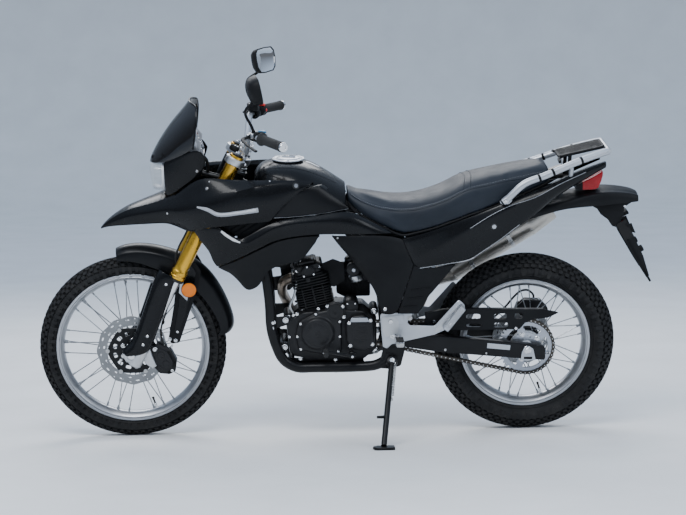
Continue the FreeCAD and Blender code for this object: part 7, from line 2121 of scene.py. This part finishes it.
# swingarm: two box arms, cross tube, pivot tube and axle plates
p = Piece("swing_arm", "chassis", "swingarm")
SEC = [(-66, 317.5, 24, 93, 116, 0.8), (-62, 318, 25.5, 92, 117, 1), (-20, 324, 29, 90.2, 118, 1), (120, 340, 30.5, 90.2, 118, 1), (320, 361, 31, 90.2, 118, 1), (400, 369, 28, 89, 110, 1), (448, 373, 25, 88.5, 104.5, 1)]
for s in (1, -1):
    rr = []
    for x, z, h, y0, y1, k in SEC:
        c = 5.0
        o = [(y0 + c, -h), (y1 - c, -h), (y1 - 1.2, -h + 1.2), (y1, -h + c), (y1, h - c), (y1 - 1.2, h - 1.2), (y1 - c, h), (y0 + c, h), (y0 + 1.2, h - 1.2), (y0, h - c), (y0, -h + c), (y0 + 1.2, -h + 1.2)]
        rr.append([V(x, s * y, z + dz * k) for y, dz in o])
    p.rings(rr, "paint")
    # axle plate with its slot and nut
    AP = round_poly([(-31, 294), (24, 294), (20, 326), (8, 345), (-8, 347), (-22, 336)], 7, 4)
    o = []
    for x, z in AP:
        o.append(V(x, s * 118, z))
    p.slab(o, (0, s, 0), 3.2, "silver", 1.0)
    p.slab([V(-18, s * 121, 298), V(13, s * 121, 299), V(13, s * 121, 308), V(-18, s * 121, 308)], (0, s, 0), 0.8, "plastic", 0.3)
    # chain adjuster bolt at the end of the arm
    p.cyl(V(-64, s * 104, 320), V(-86, s * 104, 317), 4.4, "chrome", 14)
    p.bolt(V(-66, s * 104, 319.5), V(-1, 0, -0.12), 8, 6, "steelblue", "hex")
    p.bolt(V(-76, s * 104, 318.5), V(-1, 0, -0.12), 7, 5, "chrome", "hex")
    for x, z, r in ((300, 359, 5), (150, 343, 4)):
        p.bolt(V(x, s * 118, z - 20), (0, s, 0), r, 3, "steel", "round")
    p.prism(round_poly([(400, 350), (400, 396), (440, 404), (470, 396), (490, 380), (470, 358)], 8, 3), s * 88, s * 103, "paint", 1.5)
    # plain bright plate on the left arm
    if s > 0:
        p.slab([V(146, 118.2, 362), V(62, 118.2, 352), V(64, 118.2, 334), V(148, 118.2, 343)], Y, 0.7, "silver", 0.2)
p.cyl(V(405, -96, 369), V(405, 96, 369), 24.6, "paint", 34)
p.pipe(V(485, -103, 378), V(485, 103, 378), 19.8, 10.2, "paint", 32)
for s in (1, -1):
    p.prism(round_poly([(382, 372), (426, 372), (418, 426), (388, 426)], 7, 3), s * 17, s * 25, "paint", 1.2)
    p.bolt(V(402, s * 25, 414), (0, s, 0), 8, 5, "chrome", "hex", washer=11)
# rubber slider under the chain
p.slab([V(430, 70, 398), V(330, 66, 394), V(330, 90, 394), V(430, 89, 398)], (0, 0, 1), 5, "rubber", 1.2)
p.make(smooth=40)

p = Piece("rear_axle_bolt", "chassis", "rear_axle")
p.cyl(V(0, -128, 334), V(0, 128, 334), 8.45, "steel", 24)
for s in (1, -1):
    p.bolt(V(0, s * 120.5, 334), (0, s, 0), 13.5, 9, "chrome", "hex", washer=15)
    p.lathe([(0, 0), (8.2, 0), (8.2, 2), (7.2, 3), (0, 3)], V(0, s * 128.8, 334), (0, s, 0), "chrome", 20)
p.make(smooth=35)

# shock absorber with its coil
p = Piece("shock_absorber", "chassis", "rear_shock")
a, b = V(402, 0, 414), V(500, 0, 718)
d = (b - a).normalized()
Ls = (b - a).length
for q in (a, b):
    p.lathe([(9, -15.8), (14.6, -15.8), (15, -14), (15, 14), (14.6, 15.8), (9, 15.8)], q, Y, "alu", 28, closed=True)
    p.cyl(q - Y * 16.5, q + Y * 16.5, 8.8, "steel", 20)
p.lathe([(0, 12), (14, 12), (20, 20), (20, 40), (34, 46), (36, 48), (36, 56), (34, 58), (12, 58), (12, 62), (0, 62)], a, d, "alu", 36)
p.lathe([(0, 58), (6, 58), (6, 120), (0, 120)], a, d, "chrome", 20)
p.lathe([(0, 112), (22, 112), (24.6, 116), (24.6, 252), (30, 256), (36, 258), (36, 266), (32, 268), (32, 276), (26, 280), (18, 296), (14, 306), (0, 306)], a, d, "engine", 40)
u0 = d.cross(Y).normalized()
coil = []
turns = 7.5
for k in range(int(turns * 16) + 1):
    t = k / 16.0
    coil.append(a + d * (62 + (196 - 4) * t / turns) + (u0 * math.cos(2 * math.pi * t) + Y * math.sin(2 * math.pi * t)) * 30.2)
p.sweep(coil, 5.2, "paint", 10, 1)
p.sweep([a + d * 262 + u0 * 30, a + d * 262 + u0 * 34, a + d * 262 + u0 * 36], 3, "steel", 8, 2)
p.make(smooth=50)

# ------------------------------------------------------------------ rear carriers and lights
p = Piece("grab_bars", "chassis", "grab_rails")
GR = [(96, 146, 895), (80, 148, 908), (64, 150, 924), (20, 150, 962), (-49, 142, 986), (-108, 132, 1008), (-160, 122, 1027), (-222, 107, 1046), (-286, 92, 1063)]
for s in (1, -1):
    pts = [V(x, s * y, z) for x, y, z in GR]
    p.sweep(pts, 12.6, "silver", 22, 5)
    # two dark bands round each bar
    for i, f in ((3, 0.75), (4, 0.55), (6, 0.4)):
        q = pts[i].lerp(pts[i + 1], f)
        dd = (pts[i + 1] - pts[i]).normalized()
        p.lathe([(11, -4.5), (13.2, -4.5), (13.7, -3.5), (13.7, 3.5), (13.2, 4.5), (11, 4.5)], q, dd, "plastic", 26, closed=True)
    p.lathe([(0, 0), (12.6, 0), (12.2, 4), (9, 6), (0, 6)], pts[0], (pts[0] - pts[1]).normalized(), "plastic", 22)
    p.bolt(V(88, s * 158, 900), (0, s, 0), 6, 4, "chrome", "allen", washer=9)
    p.sweep([V(-150, s * 124, 1022), V(-150, s * 112, 1000), V(-150, s * 92, 962), V(-150, s * 76, 940)], 8.8, "silver", 16, 4)
    p.prism(round_poly([(112, 892), (84, 876), (60, 900), (86, 916)], 7, 3), s * 128, s * 140, "silver", 1.0)
p.sweep([V(-286, s * y, 1063) if s > 0 else V(-286, -y, 1063) for s, y in ((1, 92), (1, 60), (1, 20), (-1, 20), (-1, 60), (-1, 92))], 10.8, "silver", 20, 3)
p.make(smooth=50)

# ribbed rack with its four fixing holes
p = Piece("rack_plate", "chassis", "luggage_rack")
RT, RF = V(-193, 0, 1060), V(170, 0, -38).normalized()
RN = V(38, 0, 170).normalized()
rk = lambda a_, b_, h: RT + RF * a_ + Y * b_ + RN * h


def rack_deck(p, mat):
    """Deck as a grid of bars: ribs along, ends across, bosses round the holes."""
    holes = [(a_, b_) for a_ in (50, -50) for b_ in (45, -45)]
    outl = round_poly([(87, 60), (-85, 66), (-85, -66), (87, -60)], 18, 5)
    top = [rk(x, y, 0) for x, y in outl]
    inn = [(x * 0.90, y * 0.84) for x, y in outl]
    lev = lambda o, h: [rk(x, y, h) for x, y in o]
    inset = [(x * 0.985, y * 0.98) for x, y in outl]
    p.rings([lev(inset, 0), lev(outl, -1.5), lev(outl, -8.5), lev(inset, -10), lev(inn, -10), lev(inn, 0)], mat, cap0=False, cap1=False, closed=True)
    for k in range(7):
        y = -45 + 15 * k
        a1, a0 = 84, -82
        w = 4.2
        if abs(abs(y) - 45) < 1:
            for lo, hi in ((-82, -58.6), (-41.4, 41.4), (58.6, 83)):
                p.slab([rk(lo, y - w, 0), rk(hi, y - w, 0), rk(hi, y + w, 0), rk(lo, y + w, 0)][::-1], -RN, 9.2, mat, 0.8)
        else:
            p.slab([rk(a0, y - w, 0), rk(a1, y - w, 0), rk(a1, y + w, 0), rk(a0, y + w, 0)][::-1], -RN, 9.2, mat, 0.8)
    p.slab([rk(-5, -62, -3.5), rk(5, -62, -3.5), rk(5, 62, -3.5), rk(-5, 62, -3.5)][::-1], -RN, 6.4, mat, 0.6)
    for a_, b_ in holes:
        p.lathe([(3.3, 0.0), (9.0, 0.0), (9.8, -0.8), (9.8, -9.4), (9.0, -10), (3.3, -10)], rk(a_, b_, 0), RN, mat, 28, closed=True)


rack_deck(p, "plastic")
for s in (1, -1):
    p.sweep([V(-150, s * 58, 944), V(-150, s * 58, 990), V(-152, s * 58, 1043)], 6.9, "plastic", 14, 4)
    p.sweep([rk(60, s * 40, -8), rk(84, s * 62, -8), rk(88, s * 100, -14)], 5.5, "plastic", 12, 4)
p.make(smooth=40)

p = Piece("rear_lamp", "chassis", "tail_light")
TLR = [(-176, 61, 915, 933), (-200, 61, 914, 945), (-225, 60, 914, 957), (-246, 59, 915, 967), (-257, 57, 920, 973), (-268, 54, 944, 979), (-274, 48, 962, 979)]
rr = []
for x, hy, z0, z1 in TLR:
    c = min(5.0, (z1 - z0) * 0.35)
    o = [(-hy + c, z0), (hy - c, z0), (hy - 1, z0 + 1.2), (hy, z0 + c), (hy, z1 - c), (hy - 1, z1 - 1.2), (hy - c, z1), (-hy + c, z1), (-hy + 1, z1 - 1.2), (-hy, z1 - c), (-hy, z0 + c), (-hy + 1, z0 + 1.2)]
    rr.append([V(x, y, z) for y, z in o])
p.rings(rr[:2], "plastic")
p.rings(rr[1:], "red")
for k in range(5):
    z = 923 + k * 6
    for s in (1, -1):
        p.slab([V(-206, s * 60.4, z), V(-246, s * 58.6, z + 3), V(-246, s * 58.6, z + 4.6), V(-206, s * 60.4, z + 1.6)], (0, s, 0), 1.0, "red", 0.3)
for y in (-30, 0, 30):
    p.lathe([(0, 0), (11, 0), (11, 1.5), (9, 2.5), (0, 2.5)], V(-266, y, 950), V(-0.93, 0, -0.36), "white", 24)
p.make(smooth=40)

# rear fender with its plate bracket
RFR = [(96, 812, 800, 96, 838, 58, 844), (60, 806, 800, 96, 840, 60, 847), (0, 806, 816, 94.5, 848, 60, 856), (-60, 820, 832, 93.5, 856, 60, 866), (-120, 838, 850, 92, 870, 60, 879), (-200, 856, 857, 86, 890, 58, 898),
       (-270, 870, 858, 80, 902, 56, 910), (-340, 868, 865, 70, 899, 50, 905), (-386, 862, 866, 64, 892, 45, 897), (-404, 862, 868, 58, 884, 40, 889)]
rows = []
for x, zc, z0, y1, z1, y2, z2 in RFR:
    rows.append([(x, z0, y1 - 3), (x, (z0 + z1) / 2, y1 + 1), (x, z1, y1 - 5), (x, (z1 + z2) / 2 + 3, (y1 + y2) / 2 + 4), (x, z2, y2 - 6), (x, z2 + 4, 26), (x, z2 + 5, 0)])
mud = grid_skin("rear_mudguard", "chassis", "rear_fender", rows, "plastic2", cr_cols=[(2, 0.4, 0, 20), (4, 0.3, 0, 20), (0, 0.6, 0, 20)], cr_rows=[(0, 0.7, 0, 9), (9, 0.8, 0, 9)], sub=2, t=4.0, out=V(0, 0.3, 1))
p = Piece("plate_carrier", "chassis", None, "black_plastic")
BR = round_poly([(-236, 880), (-378, 890), (-390, 868), (-357, 846), (-352, 812), (-330, 769), (-312, 775), (-297, 799), (-270, 819), (-256, 840), (-228, 856)], 9, 3)
bulge(p, BR, [(-5, -48), (0, -44), (0, 44), (-5, 48)], "plastic")
pa, pb = V(-334, 0, 788), V(-450, 0, 574)
pd_ = (pb - pa).normalized()
pn = V(pd_.z, 0, -pd_.x).normalized()
pn = pn if pn.x < 0 else -pn
pl = lambda t, y, h=0.0: pa + pd_ * t + Y * y + pn * h
Lp = (pb - pa).length


def plate_piece(t0, t1, y0, y1, mat="plastic"):
    p.slab([pl(t0, y0, -3), pl(t1, y0, -3), pl(t1, y1, -3), pl(t0, y1, -3)], pn, 6, mat, 1.0)


plate_piece(0, 60, -46, 46)
plate_piece(60, 146, -84, 84)
for s in (1, -1):
    lo, hi = sorted((s * 77.0, s * 84.0))
    plate_piece(145, 155, lo, hi)
plate_piece(145, 155, -69.0, 69.0)
plate_piece(154, Lp, -84, 84)
for s in (1, -1):
    p.lathe([(3.35, -3.4), (8.5, -3.4), (8.5, 3.4), (3.35, 3.4)], pl(150, s * 73, 0), pn, "plastic", 26, closed=True)
# raised rim, ribs and the small round reflector below the lamp
for t0, t1, y0, y1 in ((62, Lp - 1, -84, -79), (62, Lp - 1, 79, 84), (Lp - 6, Lp - 1, -79, 79)):
    p.slab([pl(t0, y0, 2.6), pl(t1, y0, 2.6), pl(t1, y1, 2.6), pl(t0, y1, 2.6)], pn, 2.0, "plastic", 0.5)
for y in (-30, 30):
    p.slab([pl(8, y - 2.5, -8), pl(142, y - 2.5, -8), pl(142, y + 2.5, -8), pl(8, y + 2.5, -8)], pn, 6, "plastic", 0.6)
p.lathe([(0, 0), (20, 0), (22, 2), (22, 8), (20, 10), (0, 10)], pl(30, 0, 3), pn, "plastic", 32)
p.lathe([(0, 10), (17, 10), (17, 12), (12, 13.4), (0, 13.8)], pl(30, 0, 3), pn, "red", 32)
# knob and plate lamp under the end of the guard
for s in (1, -1):
    p.lathe([(0, 0), (9, 0), (9, 16), (12, 18), (12.5, 30), (10, 33), (0, 34)], pl(121, s * 64, 2), pn, "plastic", 24)
    # side flanges, deep at the top and thin at the lower end, with a hook for the strap
    fl = [pl(62, s * 80, -12), pl(181, s * 80, -8), pl(Lp - 20, s * 80, -5), pl(Lp - 22, s * 80, 7), pl(144, s * 80, 22), pl(62, s * 80, 26)]
    p.slab(fl, (0, s, 0), 4, "plastic", 0.8)
    fu = [pl(4, s * 44, -10), pl(66, s * 80, -12), pl(66, s * 80, 26), pl(4, s * 44, 30)]
    p.slab(fu, (fu[1] - fu[0]).cross(fu[3] - fu[0]).normalized() * s, 3, "plastic", 0.6)
    p.slab([pl(22, s * 56, 41), pl(62, s * 56, 37), pl(48, s * 56, 22), pl(18, s * 56, 24)], (0, s, 0), 5, "plastic", 1.0)
    p.slab([pl(14, s * 50, 24), pl(58, s * 50, 24), pl(58, s * 62, 20), pl(14, s * 62, 20)], pn, 4, "plastic", 0.6)
p.slab([V(-340, -26, 812), V(-372, -26, 826), V(-372, 26, 826), V(-340, 26, 812)], V(-0.4, 0, -0.9), 12, "plastic", 2)
for s in (1, -1):
    p.bolt(V(-330, s * 47, 880), (0, s, 0), 5, 3, "chrome", "round")
    p.bolt(V(-356, s * 47, 850), (0, s, 0), 5, 3, "chrome", "round")
p.make(smooth=40)

# rider's foot brackets with the passenger pegs' arms
p = Piece("footrest_brackets", "chassis", "foot_brackets")
FB = [(538, 483), (476, 487), (430, 489), (414, 489), (440, 450), (430, 438), (340, 434), (252, 532), (232, 512), (230, 498), (262, 452), (298, 420), (340, 402), (497, 368), (512, 352), (528, 358), (534, 420)]
FB = round_poly(FB, 9, 3)
for s in (1, -1):
    y0, y1 = (124.2, 131.5) if s > 0 else (-131.5, -124.2)
    p.prism(FB, y0, y1, "silver", 1.4)
    yo = s * 131
    rib = [(524, 476), (450, 480), (452, 462), (444, 444), (520, 436)]
    p.slab([V(x, yo, z) for x, z in round_poly(rib, 6, 3)], (0, s, 0), 2.4, "silver", 0.8)
    # cast channel up the passenger arm
    arm = [(334, 426), (262, 508), (248, 504), (244, 494), (276, 452), (308, 424), (340, 410)]
    p.slab([V(x, yo, z) for x, z in round_poly(arm, 5, 3)], (0, s, 0), 1.6, "alu", 0.6)
    for x, z in ((500, 455), (490, 400)):
        p.cyl(V(x, s * 118.1, z), V(x, s * 126, z), 11.9, "silver", 24)
        p.bolt(V(x, s * 132, z), (0, s, 0), 8.5, 6, "chrome", "allen", washer=12)
    p.bolt(V(430, s * 131.5, 466), (0, s, 0), 6, 4, "steel", "hex", washer=9)
    # heel guard plate
    hg = [(532, 470), (486, 474), (470, 452), (474, 410), (520, 396), (530, 420)]
    p.slab([V(x, s * 133.2, z) for x, z in round_poly(hg, 8, 3)], (0, s, 0), 1.4, "alu", 0.5)
p.make(smooth=38)

# pegs
p = Piece("foot_pegs_all", "chassis", "footpegs")
for s in (1, -1):
    m = lambda x, y, z: V(x, s * y, z)
    # rider: hinge and rubber-topped bar
    p.lathe([(0, 0), (13.5, 0), (13.5, 14), (11, 16), (0, 16)], m(470, 132.2, 388), (0, s, 0), "steel", 26)
    p.cyl(m(470, 150, 372), m(470, 150, 404), 4.4, "chrome", 12)
    f = lambda y, k=1.0, dz=0.0: [m(470 + a_ * k, y, 388 + (y - 146) * 0.052 + b_ * k + dz) for a_, b_ in ((-15, -6), (-11, -10), (11, -10), (15, -6), (15, 7), (12, 10), (-12, 10), (-15, 7))]
    p.rings([f(146, 0.8), f(150), f(214), f(220, 0.92), f(222, 0.7)], "steel")
    for k in range(9):
        y = 154 + 7.2 * k
        p.slab([m(456, y, 398.5 + (y - 146) * 0.052), m(484, y, 398.5 + (y - 146) * 0.052), m(484, y + 4.2, 398.5 + (y - 146) * 0.052), m(456, y + 4.2, 398.5 + (y - 146) * 0.052)], (0, 0, 1), 3.4, "rubber", 0.8)
    # passenger: folded bar with ribs along it
    p.lathe([(0, 0), (10.8, 0), (10.8, 15), (9, 17), (0, 17)], m(285, 132.2, 455), (0, s, 0), "silver", 24)
    a_, b_ = m(304, 148, 424), m(238, 150, 508)
    d_ = (b_ - a_).normalized()
    w_ = d_.cross(V(0, s, 0)).normalized()
    o = lambda t, k=1.0: [a_ + d_ * t + w_ * (u_ * k) + V(0, s, 0) * (v_ * k) for u_, v_ in ((-13, -5), (-10, -8.5), (10, -8.5), (13, -5), (13, 5), (10, 8.5), (-10, 8.5), (-13, 5))]
    Lq = (b_ - a_).length
    p.rings([o(0, 0.7), o(3), o(Lq - 4), o(Lq, 0.8)], "silver")
    for k in (-7.5, -2.5, 2.5, 7.5):
        q0, q1 = a_ + d_ * 12 + w_ * k + V(0, s * 8.2, 0), a_ + d_ * (Lq - 8) + w_ * k + V(0, s * 8.2, 0)
        strap(p, q0, q1, 2.6, 2.2, V(0, s, 0), "alu", 0.5)
    p.bolt(m(286, 156, 447), (0, s, 0), 5, 3, "chrome", "round")
p.make(smooth=38)

p = Piece("gear_brake_levers", "chassis", "foot_controls", "polished")
p.lathe([(0, 118.5), (13, 118.5), (13, 136), (11, 138), (8, 138), (8, 150), (0, 150)], V(640, 0, 330), Y, "paint", 26)
p.sweep([V(640, 143, 330), V(690, 148, 341), V(738, 150, 350)], [8.5, 7, 6.6], "paint", 14, 4, squash=(1.0, 0.8))
p.bolt(V(640, 149.5, 330), Y, 5, 4, "chrome", "hex")
p.lathe([(0, 136.5), (8, 136.5), (9.2, 138), (9.2, 194), (8, 196), (0, 196)], V(736, 0, 350.6), Y, "rubber", 24)
for k in range(8):
    p.lathe([(9, 0), (9.9, 0.4), (9.9, 2.6), (9, 3)], V(736, 142 + 6.4 * k, 350.6), Y, "rubber", 24, closed=True)
p.lathe([(0, -150), (10, -150), (13, -148), (13, -120), (11, -118.6), (0, -118.6)], V(535, 0, 350), Y, "alu", 26)
p.cyl(V(535, -182, 350), V(535, -149, 350), 7.8, "alu", 20)
p.sweep([V(535, -178, 350), V(600, -181, 346), V(680, -184, 350), V(740, -186, 356)], [8, 7, 6.8, 7], "alu", 14, 5, squash=(0.8, 1.0))
pd0 = [V(722, -182, 361), V(752, -182, 361), V(756, -196, 361), V(752, -214, 361), V(722, -214, 361), V(718, -196, 361)]
p.slab(pd0, (0, 0, 1), 5, "alu", 1.2)
for k in range(4):
    y = -187 - 7.4 * k
    p.slab([V(724, y, 366), V(750, y, 366), V(750, y - 3.4, 366), V(724, y - 3.4, 366)], (0, 0, 1), 2.4, "alu", 0.6)
p.cyl(V(737, -214, 357), V(737, -184, 357), 8, "alu", 16)
p.make(smooth=40)

# chain guard with three long holes
p = Piece("chain_cover", "chassis", "chain_guard")
CGT = [(372, 470), (336, 477), (300, 484), (226, 485), (98, 482), (-60, 478), (-100, 470), (-114, 465)]


def guard_sheet(p):
    """Side sheet as quads between a top and bottom line, open at the holes."""
    holes = [(196, 455, 26, 10), (96, 454, 23, 11), (29, 455, 15, 11), (193, 422, 28, 7), (94, 421, 26, 10)]
    xs = [372 - 6.0 * i for i in range(82)]
    top = lambda x: next(a[1] + (b[1] - a[1]) * (x - a[0]) / (b[0] - a[0]) for a, b in zip(CGT, CGT[1:]) if b[0] <= x <= a[0])
    low = lambda x: next((a[1] + (b[1] - a[1]) * (x - a[0]) / (b[0] - a[0]) for a, b in zip(CGL, CGL[1:]) if b[0] <= x <= a[0]), 450)
    CGL = [(372, 420), (340, 414), (300, 409), (240, 404), (26, 404), (6, 428), (-20, 440), (-78, 446), (-114, 463)]
    n = 22
    grid_pts = []
    for x in xs:
        t, l = top(x), low(x)
        grid_pts.append([(x, l + (t - l) * j / n) for j in range(n + 1)])
    inside = lambda x, z: any(((x - cx) / rx) ** 4 + ((z - cz) / rz) ** 4 < 1 for cx, cz, rx, rz in holes)
    keep = set()
    for i in range(len(xs) - 1):
        for j in range(n):
            cx = sum(grid_pts[a][b][0] for a, b in ((i, j), (i + 1, j), (i + 1, j + 1), (i, j + 1))) / 4
            cz = sum(grid_pts[a][b][1] for a, b in ((i, j), (i + 1, j), (i + 1, j + 1), (i, j + 1))) / 4
            if not inside(cx, cz):
                keep.add((i, j))
    # points at a hole's edge slide onto its curve
    def snap(x, z):
        for cx, cz, rx, rz in holes:
            v = (((x - cx) / rx) ** 4 + ((z - cz) / rz) ** 4) ** 0.25
            if 0.62 < v < 1.32:
                return cx + (x - cx) / v, cz + (z - cz) / v
        return x, z
    edge = {}
    for (i, j) in keep:
        for a, b, c in (((i, j), (i + 1, j), (i, j - 1)), ((i + 1, j), (i + 1, j + 1), (i + 1, j)), ((i + 1, j + 1), (i, j + 1), (i, j + 1)), ((i, j + 1), (i, j), (i - 1, j))):
            if c not in keep:
                edge[(a, b)] = c
    hole_pts = {q for (a, b), c in edge.items() if 0 <= c[0] < len(xs) - 1 and 0 <= c[1] < n for q in (a, b)}
    pos = {}
    for i in range(len(xs)):
        for j in range(n + 1):
            pos[(i, j)] = snap(*grid_pts[i][j]) if (i, j) in hole_pts else grid_pts[i][j]
    used = sorted({q for (i, j) in keep for q in ((i, j), (i + 1, j), (i + 1, j + 1), (i, j + 1))})
    idx = {q: k for k, q in enumerate(used)}
    N = len(used)
    vs = [V(pos[q][0], 89.8, pos[q][1]) for q in used] + [V(pos[q][0], 86.6, pos[q][1]) for q in used]
    fs = []
    for (i, j) in sorted(keep):
        q = [idx[(i, j)], idx[(i + 1, j)], idx[(i + 1, j + 1)], idx[(i, j + 1)]]
        fs.append(q)
        fs.append([k + N for k in q[::-1]])
    for (a, b) in sorted(edge):
        fs.append([idx[b], idx[a], idx[a] + N, idx[b] + N])
    p.add(vs, fs, "plastic2")


guard_sheet(p)
for a, b in zip(CGT, CGT[1:]):
    n_ = V(b[1] - a[1], 0, -(b[0] - a[0])).normalized()
    if b[0] > -70:
        p.slab([V(a[0], 69, a[1] - 3.4), V(b[0], 69, b[1] - 3.4), V(b[0], 88, b[1] - 3.4), V(a[0], 88, a[1] - 3.4)], n_, 3.4, "plastic2", 0.2)
for x, z in ((40, 396), (340, 440)):
    p.lathe([(0, 0), (9, 0), (9, 2), (7.6, 3), (0, 3)], V(x, 88.4, z + 12 if x == 40 else z), Y, "plastic2", 22)
    p.bolt(V(x, 90.6, z + 12 if x == 40 else z), Y, 6, 4, "chrome", "hex")
p.make(smooth=30)

# rear caliper, its bracket and hose
p = Piece("rear_brake", "chassis", "rear_caliper")
RC = round_poly([(12, 420), (22, 452), (-8, 477), (-68, 473), (-97, 440), (-82, 412), (-40, 402)], 10, 3)
p.prism(RC, -83.5, -72, "engine", 1.5)
p.prism(RC, -56, -44.5, "engine", 1.5)
p.prism(round_poly([(14, 450), (-8, 476), (-68, 472), (-92, 448)], 6, 3), -73, -55, "engine", 1.0)
for x, z in ((-12, 440), (-56, 440)):
    p.lathe([(0, 0), (17, 0), (17, 2.6), (15, 3.8), (11, 3.8), (10, 2), (0, 2)], V(x, -83, z), -Y, "engine", 28)
BK = round_poly([(52, 332), (52, 372), (18, 461), (-68, 469), (-88, 440), (-34, 378), (18, 360), (26, 332)], 7, 3)
p.prism(BK, -89.8, -84.2, "steel", 1.0)
for x, z in ((10, 452), (-76, 452)):
    p.bolt(V(x, -84, z), Y, 6, 5, "chrome", "hex")
p.bolt(V(-60, -58, 474), (0, 0, 1), 4.5, 7, "chrome", "hex")
p.lathe([(0, 0), (7, 0), (7, 10), (5.5, 12), (0, 12)], V(-44, -78, 464), (0, 0, 1), "chrome", 14)
rh = [(-44, -78, 462), (-43, -78, 487), (-22, -78, 505), (4, -78, 502), (28, -79, 481), (62, -80, 440), (110, -83, 397), (165, -84, 378), (236, -84, 381)]
p.sweep([V(*q) for q in rh], 3.9, "rubber", 12, 7)
p.slab([V(222, -89.8, 374.5), V(244, -89.8, 374.5), V(244, -89.8, 387.5), V(222, -89.8, 387.5)], Y, 11, "plastic", 1.5)
p.make(smooth=45)

# side stand with its foot and spring
p = Piece("kick_stand", "side_stand", "side_stand")
gz = lambda y: (y * SIN - 60 * (1 - COS)) / COS
kn = SPV + V(6, 34, -22)
ft = V(540, 396, gz(396) + 12)
dl = (ft - kn).normalized()
p.sweep([SPV + V(2, 12, -6), SPV + V(4, 24, -14), kn, kn + dl * 30, kn.lerp(ft, 0.6), ft], [13, 12, 11, 10.8, 10.6, 10.4], "paint", 22, 6)
p.lathe([(6.3, -7.4), (18.5, -7.4), (20, -6), (20, 6), (18.5, 7.4), (6.3, 7.4)], SPV, SA, "paint", 32, closed=True)
p.slab([V(540, 402, gz(402)) + V(1, 0, 0) * a_ + V(0, COS, SIN) * b_ for a_, b_ in [(-38, -20), (-30, -24), (22, -25), (34, -18), (40, 0), (34, 18), (22, 25), (-30, 24), (-38, 20)]], V(0, -SIN, COS), 9.8, "paint", 1.5)
# tongue for the foot, and the spring beside the leg
tg = kn.lerp(ft, 0.62)
p.sweep([tg, tg + V(16, 10, 2), tg + V(34, 22, 6)], [6, 5.4, 5.0], "paint", 14, 4)
s0, s1 = SPV + V(-10, 16, 2), kn.lerp(ft, 0.40) + V(-13, 2, 2)
sd_ = (s1 - s0).normalized()
su = sd_.cross(Y).normalized()
sw = sd_.cross(su)
Lsp = (s1 - s0).length
co = [s0 + sd_ * (14 + (Lsp - 28) * k / 160) + (su * math.cos(k * 2 * math.pi / 8) + sw * math.sin(k * 2 * math.pi / 8)) * 5.2 for k in range(161)]
p.sweep(co, 1.5, "steel", 6, 1)
p.sweep([s0, s0 + sd_ * 8, co[0]], 1.5, "steel", 6, 3)
p.sweep([co[-1], s1 - sd_ * 6, s1], 1.5, "steel", 6, 3)
p.lathe([(0, -4), (4, -4), (4, 4), (0, 4)], s1, Y, "steel", 12)
p.make(smooth=45)
